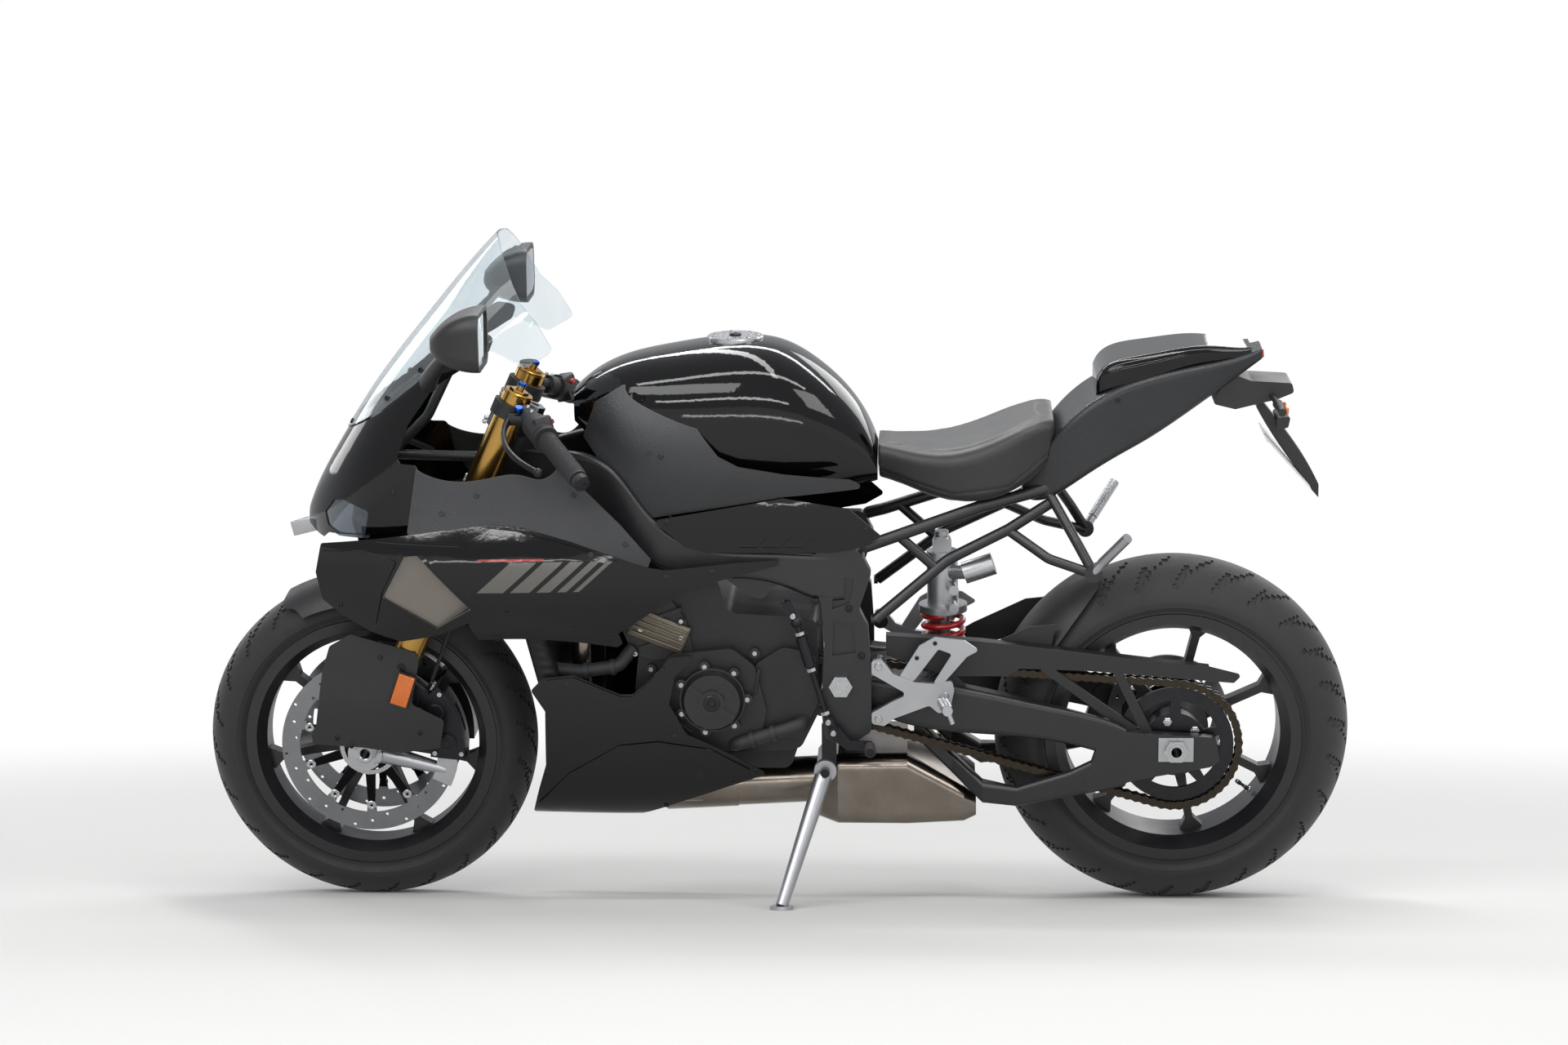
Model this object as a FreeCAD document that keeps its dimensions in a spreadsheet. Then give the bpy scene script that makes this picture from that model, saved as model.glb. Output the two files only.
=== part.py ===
"""A faired sport motorcycle, modelled upright and then leaned onto its side stand.

The bike's own frame has X to the rear, Y to the rider's right and Z up from the ground. Its zero
lies between the wheels, at a fixed distance behind the front axle. Every piece is made there, and
the last step leans them all. Sizes are millimetres and degrees and live on one sheet.
"""
import FreeCAD, Part
import math
import os
import Sketcher
from FreeCAD import Placement, Rotation, Vector

DOC = FreeCAD.newDocument("sport_bike")
SHEET = DOC.addObject("Spreadsheet::Sheet", "Sizes")
ALONG = Vector(1, 0, 0)
ACROSS = Vector(0, 1, 0)
UP = Vector(0, 0, 1)
CENTRE = Vector(0, 0, 0)
LEFT, RIGHT = -1, 1
SIDES = (("left", LEFT), ("right", RIGHT))
FULL_TURN = 360
PARTS = {}
ROWS = {}


class Measure(float):
    """A number that remembers the formula on the sheet that gives it."""

    def __new__(cls, value, formula):
        made = super().__new__(cls, value)
        made.formula = formula
        return made

    def __add__(self, other):
        return combine(self, "+", other, float(self) + float(other))

    def __radd__(self, other):
        return combine(other, "+", self, float(other) + float(self))

    def __sub__(self, other):
        return combine(self, "-", other, float(self) - float(other))

    def __rsub__(self, other):
        return combine(other, "-", self, float(other) - float(self))

    def __mul__(self, other):
        return combine(self, "*", other, float(self) * float(other))

    def __rmul__(self, other):
        return combine(other, "*", self, float(other) * float(self))

    def __truediv__(self, other):
        return combine(self, "/", other, float(self) / float(other))

    def __neg__(self):
        return Measure(-float(self), "(-" + self.formula + ")")


def formula_of(number):
    """The sheet formula of a number, or its digits when it has none."""
    return number.formula if isinstance(number, Measure) else "(%.9g)" % number


def combine(left, sign, right, value):
    """Two numbers joined by a sign, with the formula that joins theirs."""
    return Measure(value, "(" + formula_of(left) + " " + sign + " " + formula_of(right) + ")")


def sizes(rows):
    """Writes rows of alias, value and meaning to the sheet."""
    for alias, value, meaning in rows:
        row = len(ROWS) + 1
        SHEET.set("A%d" % row, alias)
        SHEET.set("B%d" % row, str(value))
        SHEET.setAlias("B%d" % row, alias)
        SHEET.set("C%d" % row, meaning)
        ROWS[alias] = float(value)


def size(alias):
    """One size of the sheet, with its formula."""
    return Measure(ROWS[alias], "Sizes." + alias)


def bind(piece, **values):
    """Ties properties of an object to the sheet."""
    for name, value in values.items():
        if isinstance(value, Measure):
            piece.setExpression(name, value.formula)
        else:
            setattr(piece, name, value)
    return piece


# Helpers for bodies with sketches

def origin_plane(body, role):
    """One of a body's own origin planes."""
    return [feature for feature in body.Origin.OriginFeatures if feature.Role == role][0]


def new_body(label):
    """An empty body under its own name."""
    body = DOC.addObject("PartDesign::Body", label)
    body.Label = label
    return body


def pin_point(sketch, edge, end, across, up):
    """Holds a sketch point at distances from the sketch's zero."""
    for kind, axis, value in (("DistanceX", -2, across), ("DistanceY", -1, up)):
        if value == 0 and not isinstance(value, Measure):
            sketch.addConstraint(Sketcher.Constraint("PointOnObject", edge, end, axis))
            continue
        row = sketch.addConstraint(Sketcher.Constraint(kind, -1, 1, edge, end, float(value)))
        if isinstance(value, Measure):
            sketch.setExpression("Constraints[%d]" % row, value.formula)


def sketch_on(body, role, outlines=(), circles=(), offset=0):
    """A sketch of closed outlines and circles on an origin plane, every point tied to the sheet."""
    sketch = body.newObject("Sketcher::SketchObject", body.Label + "_sketch")
    sketch.AttachmentSupport = [(origin_plane(body, role), "")]
    sketch.MapMode = "FlatFace"
    sketch.AttachmentOffset = Placement(Vector(0, 0, offset), Rotation())
    if isinstance(offset, Measure):
        sketch.setExpression(".AttachmentOffset.Base.z", offset.formula)
    for corners in outlines:
        count = len(corners)
        first = sketch.GeometryCount
        ends = [Vector(float(across), float(up), 0) for across, up in corners]
        for spot in range(count):
            sketch.addGeometry(Part.LineSegment(ends[spot], ends[(spot + 1) % count]), False)
        for spot in range(count):
            after = first + (spot + 1) % count
            sketch.addConstraint(Sketcher.Constraint("Coincident", first + spot, 2, after, 1))
        for spot, (across, up) in enumerate(corners):
            pin_point(sketch, first + spot, 1, across, up)
    for across, up, radius in circles:
        middle = Vector(float(across), float(up), 0)
        ring = sketch.addGeometry(Part.Circle(middle, UP, float(radius)), False)
        row = sketch.addConstraint(Sketcher.Constraint("Radius", ring, float(radius)))
        if isinstance(radius, Measure):
            sketch.setExpression("Constraints[%d]" % row, radius.formula)
        pin_point(sketch, ring, 3, across, up)
    return sketch


def pad(body, sketch, length, midplane=False):
    """Grows a sketch by a length along its normal, or half each way."""
    made = body.newObject("PartDesign::Pad", body.Label + "_pad")
    made.Profile = sketch
    made.Midplane = midplane
    return bind(made, Length=length)


def pocket(body, sketch, length, reverse=False):
    """Cuts a sketch half its length to each side."""
    made = body.newObject("PartDesign::Pocket", body.Label + "_pocket")
    made.Profile = sketch
    made.Midplane = True
    made.Reversed = reverse
    return bind(made, Length=length)


def revolve(body, sketch, axis):
    """Turns a sketch once round one of its axes."""
    made = body.newObject("PartDesign::Revolution", body.Label + "_turn")
    made.Profile = sketch
    made.ReferenceAxis = (sketch, [axis])
    made.Angle = FULL_TURN
    return made


def polar(body, features, sketch, count):
    """Repeats features round the normal of a sketch."""
    made = body.newObject("PartDesign::PolarPattern", body.Label + "_pattern")
    made.Originals = features
    made.Axis = (sketch, ["N_Axis"])
    made.Angle = FULL_TURN
    made.Occurrences = count
    body.Tip = made
    return made


# Helpers for primitives and booleans

def cylinder(label, radius, height, base, way):
    """A cylinder from its base along a way."""
    made = DOC.addObject("Part::Cylinder", label)
    bind(made, Radius=radius, Height=height)
    made.Placement = Placement(base, Rotation(UP, way))
    return made


def drum_about(label, radius, length, middle, bore=0):
    """A cylinder across the bike about its middle, hollow when it has a bore."""
    start = middle - ACROSS * (length / 2)
    outer = cylinder(label, radius, length, start, ACROSS)
    if not bore:
        return outer
    return cut(label + "_hollow", outer, [cylinder(label + "_bore", bore, length, start, ACROSS)])


def cut(label, base, tools):
    """A piece less its tools."""
    for number, tool in enumerate(tools):
        made = DOC.addObject("Part::Cut", label if number == len(tools) - 1 else label + "_step")
        made.Base = base
        made.Tool = tool
        base = made
    return base


def join(label, pieces):
    """Pieces that meet, as one solid."""
    made = DOC.addObject("Part::MultiFuse", label)
    made.Shapes = pieces
    made.Refine = True
    return made


def group(label, pieces):
    """Separate solids kept under one name."""
    made = DOC.addObject("Part::Compound", label)
    made.Links = pieces
    return made


def mirrored(label, piece):
    """The mirror image of a piece in the bike's centre plane."""
    made = DOC.addObject("Part::Mirroring", label)
    made.Source = piece
    made.Base = CENTRE
    made.Normal = ACROSS
    return made


def keep(label, piece):
    """Names a finished piece and keeps it."""
    piece.Label = label
    PARTS[label] = piece
    return piece


def add(label, shape):
    """Keeps a shape made with Part's own functions as a piece."""
    piece = DOC.addObject("Part::Feature", label)
    piece.Shape = shape
    return keep(label, piece)


def form(label, shape):
    """A shape made with Part's own functions, for use in a boolean."""
    piece = DOC.addObject("Part::Feature", label)
    piece.Shape = shape
    return piece


def shape_of(piece):
    """A finished object's shape after a recompute."""
    piece.recompute(True)
    return piece.Shape


# Helpers for shapes

def both_sides(shape):
    """The shape and its mirror image in the bike's centre plane."""
    return [shape, shape.mirror(CENTRE, ACROSS)]


def pair(label, shape):
    """A left piece and its mirrored right piece under one name."""
    add(label, compound(both_sides(shape)))


def outline_of(name, shares):
    """Side view points from shares of the length and height named after a piece."""
    front, length = size(name + "_front"), size(name + "_length")
    low, height = size(name + "_low"), size(name + "_height")
    return [(front + share_x * length, low + share_z * height) for share_x, share_z in shares]


def rounded_wire(corners, radius, closed=True):
    """Straight runs joined by tangent arcs, each arc no larger than its runs allow."""
    count = len(corners)
    edges = []
    last = None if closed else corners[0]
    first = None
    run_share = 0.45
    for spot in range(count) if closed else range(1, count - 1):
        here = corners[spot]
        before = corners[spot - 1] - here
        after = corners[(spot + 1) % count] - here
        turn = math.pi - before.getAngle(after)
        if turn < math.radians(1):
            continue
        reach = min(radius * math.tan(turn / 2), run_share * before.Length, run_share * after.Length)
        start = here + before.normalize() * reach
        end = here + after.normalize() * reach
        bend = reach / math.tan(turn / 2)
        middle = here + (before + after).normalize() * (bend / math.cos(turn / 2) - bend)
        if last is None:
            first = start
        else:
            edges.append(Part.LineSegment(last, start).toShape())
        edges.append(Part.Arc(start, middle, end).toShape())
        last = end
    edges.append(Part.LineSegment(last, first if closed else corners[-1]).toShape())
    return Part.Wire(edges)


def closed_wire(corners, radius=0):
    """A closed outline, its corners rounded when a radius is given."""
    return rounded_wire(corners, radius) if radius else Part.makePolygon(corners + corners[:1])


def plate(points, near, far, radius=0):
    """A plate with an outline seen from the side, between two distances from the centre plane."""
    corners = [Vector(float(px), float(near), float(pz)) for px, pz in points]
    return Part.Face(closed_wire(corners, radius)).extrude(Vector(0, far - near, 0))


def tube(points, radius, bend=0, bore=0):
    """A round tube along a route of straight runs and tangent arcs."""
    path = rounded_wire(points, bend, closed=False) if len(points) > 2 else Part.makePolygon(points)
    way = points[1] - points[0]
    rings = [Part.Wire(Part.Circle(points[0], way, ring).toShape()) for ring in (radius, bore) if ring]
    outer = path.makePipeShell([rings[0]], True, True)
    return outer.cut(path.makePipeShell([rings[1]], True, True)) if bore else outer


def taper(points_and_radii):
    """A round bar whose radius changes from point to point."""
    wires = []
    for spot, (point, radius) in enumerate(points_and_radii):
        before = points_and_radii[max(spot - 1, 0)][0]
        after = points_and_radii[min(spot + 1, len(points_and_radii) - 1)][0]
        wires.append(Part.Wire(Part.Circle(point, after - before, radius).toShape()))
    return Part.makeLoft(wires, True, len(wires) == 2)


def drum(middle, way, radius, length, bore=0):
    """A cylinder about a middle point."""
    base = middle - Vector(way).normalize() * (length / 2)
    body = Part.makeCylinder(radius, length, base, way)
    return body.cut(Part.makeCylinder(bore, length, base, way)) if bore else body


def box_section(at_x, y_range, z_range, radius):
    """A rounded rectangle across the bike."""
    near, far = y_range
    low, high = z_range
    corners = [Vector(at_x, near, low), Vector(at_x, far, low), Vector(at_x, far, high), Vector(at_x, near, high)]
    return rounded_wire(corners, radius)


def curve_through(points):
    """A smooth open curve through points."""
    curve = Part.BSplineCurve()
    curve.interpolate(points)
    return curve.toShape()


def bow_section(at_x, half, low, high, shares):
    """A closed section symmetrical about the centre plane, straight along its foot."""
    rise = high - low
    right = [Vector(at_x, share_y * half, low + share_z * rise) for share_y, share_z in shares]
    left = [Vector(at_x, -point.y, point.z) for point in reversed(right[:-1])]
    return Part.Wire([curve_through(right + left), Part.LineSegment(left[-1], right[0]).toShape()])


def bow_shell(stations, shares, wall):
    """A lofted hood open below, its wall measured inwards from the sections."""
    outer = Part.makeLoft([bow_section(at_x, half, low, high, shares) for at_x, half, low, high in stations], True)
    inner = Part.makeLoft([bow_section(at_x, half - wall, low, high - wall, shares)
                           for at_x, half, low, high in stations], True)
    return outer.cut(inner)


def skin_section(at_x, half, low, high, shares, wall):
    """A closed strip down the left side, bulging by shares of its distance from the centre."""
    curves = []
    ends = []
    for inward in (0, wall):
        points = [Vector(at_x, inward - half * share_y, low + (high - low) * share_z) for share_y, share_z in shares]
        curves.append(curve_through(points))
        ends.append((points[0], points[-1]))
    joints = [Part.LineSegment(ends[0][1], ends[1][1]).toShape(), Part.LineSegment(ends[1][0], ends[0][0]).toShape()]
    return Part.Wire([curves[0], joints[0], curves[1], joints[1]])


def side_skin(stations, shares, wall):
    """A curved panel down the left side through stations of x, half width, low and high."""
    return Part.makeLoft([skin_section(at_x, half, low, high, shares, wall) for at_x, half, low, high in stations], True)


def fuse(shapes):
    """One solid from shapes that meet."""
    return shapes[0].multiFuse(shapes[1:]).removeSplitter()


def compound(shapes):
    """Several separate solids kept as one piece."""
    return Part.makeCompound(shapes)


# Stance: where the axles and the steering axis lie

sizes([
    ("wheelbase", 1457, "between the axles"),
    ("front_axle_back", 728.5, "front axle ahead of the bike's zero"),
    ("lean_angle", 13, "onto the side stand"),
    ("rake_angle", 24, "steering axis from upright"),
    ("trail", 99.8, "of the front wheel"),
    ("steer_limit", 25, "to each lock"),
    ("front_tyre_radius", 300, "over the crown"),
    ("front_tyre_width", 120, "between the shoulders"),
    ("front_crown_radius", 64, "across the tread"),
    ("rear_tyre_radius", 320.4, "over the crown"),
    ("rear_tyre_width", 190, "between the shoulders"),
    ("rear_crown_radius", 104, "across the tread"),
    ("cut_over", 20, "cuts run past their piece"),
    ("moving_gap", 5, "between moving pieces"),
    ("seat_gap", 0.3, "between curved pieces that seat on each other"),
    ("skin", 3, "wall of the plastic panels"),
])

LEAN = math.radians(size("lean_angle"))
RAKE = math.radians(size("rake_angle"))
FRONT_X = -size("front_axle_back")
REAR_X = size("wheelbase") - size("front_axle_back")


def axle_height(radius, crown):
    """Height at which a leaned tyre of rounded crown just meets the ground."""
    return (radius - crown) + crown / math.cos(LEAN)


FRONT_Z = axle_height(size("front_tyre_radius"), size("front_crown_radius"))
REAR_Z = axle_height(size("rear_tyre_radius"), size("rear_crown_radius"))
FORK_OFFSET = FRONT_Z * math.sin(RAKE) - size("trail") * math.cos(RAKE)
AXIS_UP = Vector(math.sin(RAKE), 0, math.cos(RAKE))
AXIS_FORWARD = Vector(-math.cos(RAKE), 0, math.sin(RAKE))
FRONT_AXLE = Vector(FRONT_X, 0, FRONT_Z)
REAR_AXLE = Vector(REAR_X, 0, REAR_Z)
STEER_BASE = FRONT_AXLE - AXIS_FORWARD * FORK_OFFSET


def on_fork(distance, side=0, forward=0):
    """A point at a distance up the fork from the axle, to the side and forward of the legs."""
    return FRONT_AXLE + AXIS_UP * distance + ACROSS * side + AXIS_FORWARD * forward


def round_wheel(centre, radius, degrees, side=0):
    """A point at a radius and an angle above the rearward level of a wheel's centre."""
    angle = math.radians(degrees)
    return centre + Vector(radius * math.cos(angle), side, radius * math.sin(angle))


# Wheels

sizes([
    ("rim_radius", 230, "over the flange"),
    ("rim_seat_radius", 216, "under the tyre bead"),
    ("rim_wall", 5, "of the rim bed"),
    ("rim_well_drop", 21, "from the bead seat to the inside of the rim"),
    ("front_rim_width", 96, "over the flanges"),
    ("rear_rim_width", 162, "over the flanges"),
    ("spoke_count", 7, "of each wheel"),
    ("spoke_depth", 26, "across the wheel"),
    ("spoke_root_width", 26, "of a spoke at the hub"),
    ("spoke_waist_width", 15, "of a spoke half way out"),
    ("spoke_toe_width", 46, "of a spoke where it meets the rim"),
    ("front_spoke_phase", -51, "turn of the front spokes from upright"),
    ("rear_spoke_phase", 14, "turn of the rear spokes from upright"),
    ("front_hub_radius", 34, "of the hub barrel"),
    ("front_hub_width", 92, "of the hub barrel"),
    ("rear_hub_radius", 46, "of the hub barrel"),
    ("rear_hub_width", 128, "of the hub barrel"),
    ("hub_flange_extra", 22, "of the spoke root ring over the barrel"),
    ("carcass_wall", 11, "of a tyre"),
    ("bead_gap", 0.3, "tyre clear of the rim"),
    ("front_axle_radius", 12.5, "of the front spindle"),
    ("front_axle_bore", 9, "radius of its hollow"),
    ("front_axle_length", 244, "over both fork feet"),
    ("rear_axle_radius", 14, "of the rear spindle"),
    ("rear_axle_bore", 9.5, "radius of its hollow"),
    ("rear_axle_length", 344, "over both nuts"),
    ("rear_nut_radius", 22, "over its corners"),
    ("rear_nut_depth", 14, "along the spindle"),
    ("axle_clearance", 0.05, "wheel bore round its axle"),
    ("front_disc_radius", 160, "outside of the brake ring"),
    ("front_disc_inner", 127, "inside of the brake ring"),
    ("front_disc_offset", 68, "middle from the centre plane"),
    ("front_disc_thickness", 4.5, "of the brake ring"),
    ("front_carrier_radius", 106, "reach of the disc carrier's arms"),
    ("front_disc_tabs", 10, "held by one bobbin each"),
    ("rear_disc_radius", 110, "outside of the brake ring"),
    ("rear_disc_inner", 84, "inside of the brake ring"),
    ("rear_disc_offset", 84, "middle from the centre plane"),
    ("rear_disc_thickness", 5, "of the brake ring"),
    ("rear_carrier_radius", 72, "reach of the disc carrier's arms"),
    ("rear_disc_tabs", 5, "held by one bolt each"),
    ("disc_hole_radius", 3, "cooling holes in a brake ring"),
    ("carrier_thickness", 6, "of the disc carriers"),
    ("carrier_arm_width", 20, "of a carrier arm"),
])


def build_rim(label, centre, width, hub_radius, hub_width, bore, phase):
    """A cast wheel: turned rim and hub, and spokes that flare where they meet the rim."""
    half, wall = width / 2, size("rim_wall")
    top, seat = size("rim_radius"), size("rim_seat_radius")
    well = seat - size("rim_well_drop")
    body = new_body(label)
    bed_share, bed_top_share = 0.55, 0.45
    ring = [(half, top), (half, seat - wall), (half * bed_share, well), (-half * bed_share, well),
            (-half, seat - wall), (-half, top), (wall - half, top), (wall - half, seat),
            (-half * bed_top_share, well + wall), (half * bed_top_share, well + wall), (half - wall, seat),
            (half - wall, top)]
    revolve(body, sketch_on(body, "YZ_Plane", [ring]), "H_Axis")
    flange = hub_radius + size("hub_flange_extra")
    flat = size("spoke_depth") / 2
    end = hub_width / 2
    hub = [(-end, 0), (-end, hub_radius), (-flat * 2, hub_radius), (-flat, flange), (flat, flange),
           (flat * 2, hub_radius), (end, hub_radius), (end, 0)]
    revolve(body, sketch_on(body, "YZ_Plane", [hub]), "H_Axis")
    root, waist, toe = size("spoke_root_width") / 2, size("spoke_waist_width") / 2, size("spoke_toe_width") / 2
    start_share, waist_share, flare_share = 0.8, 0.62, 0.9
    start = flange * start_share
    spoke = [(-root, start), (-waist, well * waist_share), (-waist, well * flare_share), (-toe, well + wall / 2),
             (toe, well + wall / 2), (waist, well * flare_share), (waist, well * waist_share), (root, start)]
    outline = sketch_on(body, "XZ_Plane", [spoke])
    arm = pad(body, outline, size("spoke_depth"), midplane=True)
    polar(body, [arm], outline, int(size("spoke_count")))
    pocket(body, sketch_on(body, "XZ_Plane", circles=[(0, 0, bore)]), hub_width * 2)
    body.Placement = Placement(centre, Rotation(ACROSS, phase))
    return keep(label, body)


def build_tyre(label, centre, radius, width, crown, rim_width):
    """A tyre with a round crown, bulging sides and beads that sit in the rim, hollow inside."""
    gap, carcass = size("bead_gap"), size("carcass_wall")
    bead, rim_top = size("rim_seat_radius") + gap, size("rim_radius") + gap
    half, foot = width / 2, rim_width / 2 - size("rim_wall") - gap
    shoulder = radius - crown + math.sqrt(crown * crown - half * half)
    bulge_share, lip_share = 0.5, 0.3
    bulge = rim_top + (shoulder - rim_top) * bulge_share

    def crown_arc(reach, height, top):
        return Part.Arc(Vector(0, -reach, height), Vector(0, 0, top), Vector(0, reach, height)).toShape()

    def flank(side):
        outer = [Vector(0, side * half, shoulder), Vector(0, side * half, bulge), Vector(0, side * foot, rim_top)]
        lip = Vector(0, side * (foot - carcass * lip_share), bead)
        wall_top = Vector(0, side * (half - carcass), shoulder)
        toe = Vector(0, side * (foot - carcass), bead)
        ease = Vector(0, side * (half - carcass), bulge)
        return [curve_through(outer), Part.LineSegment(outer[-1], lip).toShape(), Part.LineSegment(lip, toe).toShape(),
                Part.LineSegment(toe, ease).toShape(), Part.LineSegment(ease, wall_top).toShape()]

    edges = [crown_arc(half, shoulder, radius), crown_arc(half - carcass, shoulder, radius - carcass)]
    wire = Part.Wire(Part.__sortEdges__(edges + flank(LEFT) + flank(RIGHT)))
    solid = Part.Face(wire).revolve(CENTRE, ACROSS, FULL_TURN)
    solid.translate(centre)
    return add(label, solid)


def build_disc(label, radius, inner, offset, thickness, reach, tabs, hub_radius, hub_end, bore):
    """A drilled brake ring with inward tabs, on a star shaped carrier that meets the hub's end."""
    body = new_body(label)
    depth = size("carrier_thickness")
    side = offset / abs(offset)
    width, hole = size("carrier_arm_width"), size("disc_hole_radius")
    shift = -offset
    rings = sketch_on(body, "XZ_Plane", circles=[(0, 0, radius), (0, 0, inner)], offset=shift)
    pad(body, rings, thickness, midplane=True)
    tab = [(-width / 2, inner + hole), (-width / 4, reach - hole), (width / 4, reach - hole), (width / 2, inner + hole)]
    outline = sketch_on(body, "XZ_Plane", [tab], offset=shift)
    polar(body, [pad(body, outline, thickness, midplane=True)], outline, int(tabs))
    arm = [(-width / 2, hub_radius), (-width / 3, reach), (width / 3, reach), (width / 2, hub_radius)]
    outline = sketch_on(body, "XZ_Plane", [arm], offset=shift)
    polar(body, [pad(body, outline, depth, midplane=True)], outline, int(tabs))
    ring_width = width / 2
    flange = sketch_on(body, "XZ_Plane", circles=[(0, 0, hub_radius + ring_width)], offset=shift)
    pad(body, flange, depth, midplane=True)
    boss_length = abs(offset) - hub_end
    boss = sketch_on(body, "XZ_Plane", circles=[(0, 0, hub_radius)], offset=-side * (hub_end + boss_length / 2))
    pad(body, boss, boss_length, midplane=True)
    band = radius - inner
    low_share, mid_share, high_share = 0.2, 0.5, 0.8
    turn = math.radians(FULL_TURN / tabs / 3)
    holes = []
    for step, share in ((-1, low_share), (0, mid_share), (1, high_share)):
        spot = inner + band * share
        holes.append((spot * math.sin(turn * step), spot * math.cos(turn * step), hole))
    drilled = sketch_on(body, "XZ_Plane", circles=holes, offset=shift)
    polar(body, [pocket(body, drilled, thickness * 2)], drilled, int(tabs))
    pocket(body, sketch_on(body, "XZ_Plane", circles=[(0, 0, bore)]), abs(offset) * 4)
    return body


def build_wheels():
    """Rims, tyres, brake discs and axles."""
    front_bore = size("front_axle_radius") + size("axle_clearance")
    rear_bore = size("rear_axle_radius") + size("axle_clearance")
    build_rim("front_rim", FRONT_AXLE, size("front_rim_width"), size("front_hub_radius"), size("front_hub_width"),
              front_bore, size("front_spoke_phase"))
    build_rim("rear_rim", REAR_AXLE, size("rear_rim_width"), size("rear_hub_radius"), size("rear_hub_width"),
              rear_bore, size("rear_spoke_phase"))
    build_tyre("front_tyre", FRONT_AXLE, size("front_tyre_radius"), size("front_tyre_width"),
               size("front_crown_radius"), size("front_rim_width"))
    build_tyre("rear_tyre", REAR_AXLE, size("rear_tyre_radius"), size("rear_tyre_width"),
               size("rear_crown_radius"), size("rear_rim_width"))
    discs = []
    for name, side in SIDES:
        disc = build_disc("front_disc_" + name, size("front_disc_radius"), size("front_disc_inner"),
                          side * size("front_disc_offset"), size("front_disc_thickness"),
                          size("front_carrier_radius"), size("front_disc_tabs"), size("front_hub_radius"),
                          size("front_hub_width") / 2, front_bore)
        disc.Placement = Placement(FRONT_AXLE, Rotation())
        discs.append(disc)
    keep("front_discs", group("front_discs", discs))
    disc = build_disc("rear_disc", size("rear_disc_radius"), size("rear_disc_inner"), size("rear_disc_offset"),
                      size("rear_disc_thickness"), size("rear_carrier_radius"), size("rear_disc_tabs"),
                      size("rear_hub_radius"), size("rear_hub_width") / 2, rear_bore)
    disc.Placement = Placement(REAR_AXLE, Rotation())
    keep("rear_disc", disc)
    keep("front_axle", drum_about("front_axle", size("front_axle_radius"), size("front_axle_length"), FRONT_AXLE,
                                  size("front_axle_bore")))
    length, depth = size("rear_axle_length"), size("rear_nut_depth")
    spindle = drum_about("rear_spindle", size("rear_axle_radius"), length, REAR_AXLE)
    nuts = []
    for name, side in SIDES:
        middle = REAR_AXLE + ACROSS * side * (size("arm_outer") + size("skin") + size("seat_gap") * 2 + depth / 2)
        prism = DOC.addObject("Part::Prism", "rear_nut_" + name)
        bind(prism, Circumradius=size("rear_nut_radius"), Height=depth)
        prism.Polygon = 6
        prism.Placement = Placement(middle - ACROSS * (depth / 2), Rotation(UP, ACROSS))
        nuts.append(prism)
    solid = join("rear_axle_solid", [spindle] + nuts)
    hollow = drum_about("rear_axle_hollow", size("rear_axle_bore"), length * 2, REAR_AXLE)
    keep("rear_axle", cut("rear_axle", solid, [hollow]))


# Chain and sprockets

sizes([
    ("chain_pitch", 15.875, "between pins"),
    ("chain_line", 116, "middle from the centre plane"),
    ("chain_width", 21, "over the side plates"),
    ("chain_plate_thickness", 4.5, "of a pair of side plates"),
    ("chain_plate_height", 15, "of a side plate at its pins"),
    ("chain_waist_height", 10, "of a side plate between its pins"),
    ("chain_roller_radius", 5, "of a roller"),
    ("rear_sprocket_radius", 114, "pitch circle"),
    ("front_sprocket_radius", 43, "pitch circle"),
    ("front_sprocket_x", 60, "behind the bike's zero"),
    ("front_sprocket_z", 438, "above the ground"),
    ("sprocket_thickness", 7, "of both sprockets"),
    ("sprocket_clearance", 9, "under the chain's pitch line"),
    ("sprocket_ring_width", 24, "of the rear sprocket's toothed ring"),
    ("sprocket_arms", 5, "of the rear sprocket"),
    ("sprocket_arm_width", 24, "of an arm"),
    ("sprocket_hub_radius", 58, "of the rear sprocket's centre"),
    ("drive_boss_radius", 52, "of the cush drive between hub and sprocket"),
    ("output_shaft_radius", 14, "of the gearbox shaft"),
])


def chain_ends():
    """Middles and pitch radii of both sprockets, and the angles where the runs leave them."""
    side = ACROSS * -size("chain_line")
    front = Vector(size("front_sprocket_x"), 0, size("front_sprocket_z")) + side
    rear = REAR_AXLE + side
    small, large = float(size("front_sprocket_radius")), float(size("rear_sprocket_radius"))
    gap = rear - front
    tilt = math.asin((large - small) / gap.Length)
    line = math.atan2(gap.z, gap.x)
    return front, rear, small, large, line, tilt


def chain_path(grow):
    """Two straight runs and two arcs round the sprockets, moved outwards by grow."""
    front, rear, small, large, line, tilt = chain_ends()
    small, large = small + grow, large + grow

    def ring_point(centre, radius, angle):
        return centre + Vector(radius * math.cos(angle), 0, radius * math.sin(angle))

    top, low = line + math.pi / 2 + tilt, line - math.pi / 2 - tilt
    points = [ring_point(front, small, top), ring_point(rear, large, top), ring_point(rear, large, line),
              ring_point(rear, large, low), ring_point(front, small, low), ring_point(front, small, line + math.pi)]
    return Part.Wire([Part.LineSegment(points[0], points[1]).toShape(),
                      Part.Arc(points[1], points[2], points[3]).toShape(),
                      Part.LineSegment(points[3], points[4]).toShape(),
                      Part.Arc(points[4], points[5], points[0]).toShape()])


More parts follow.
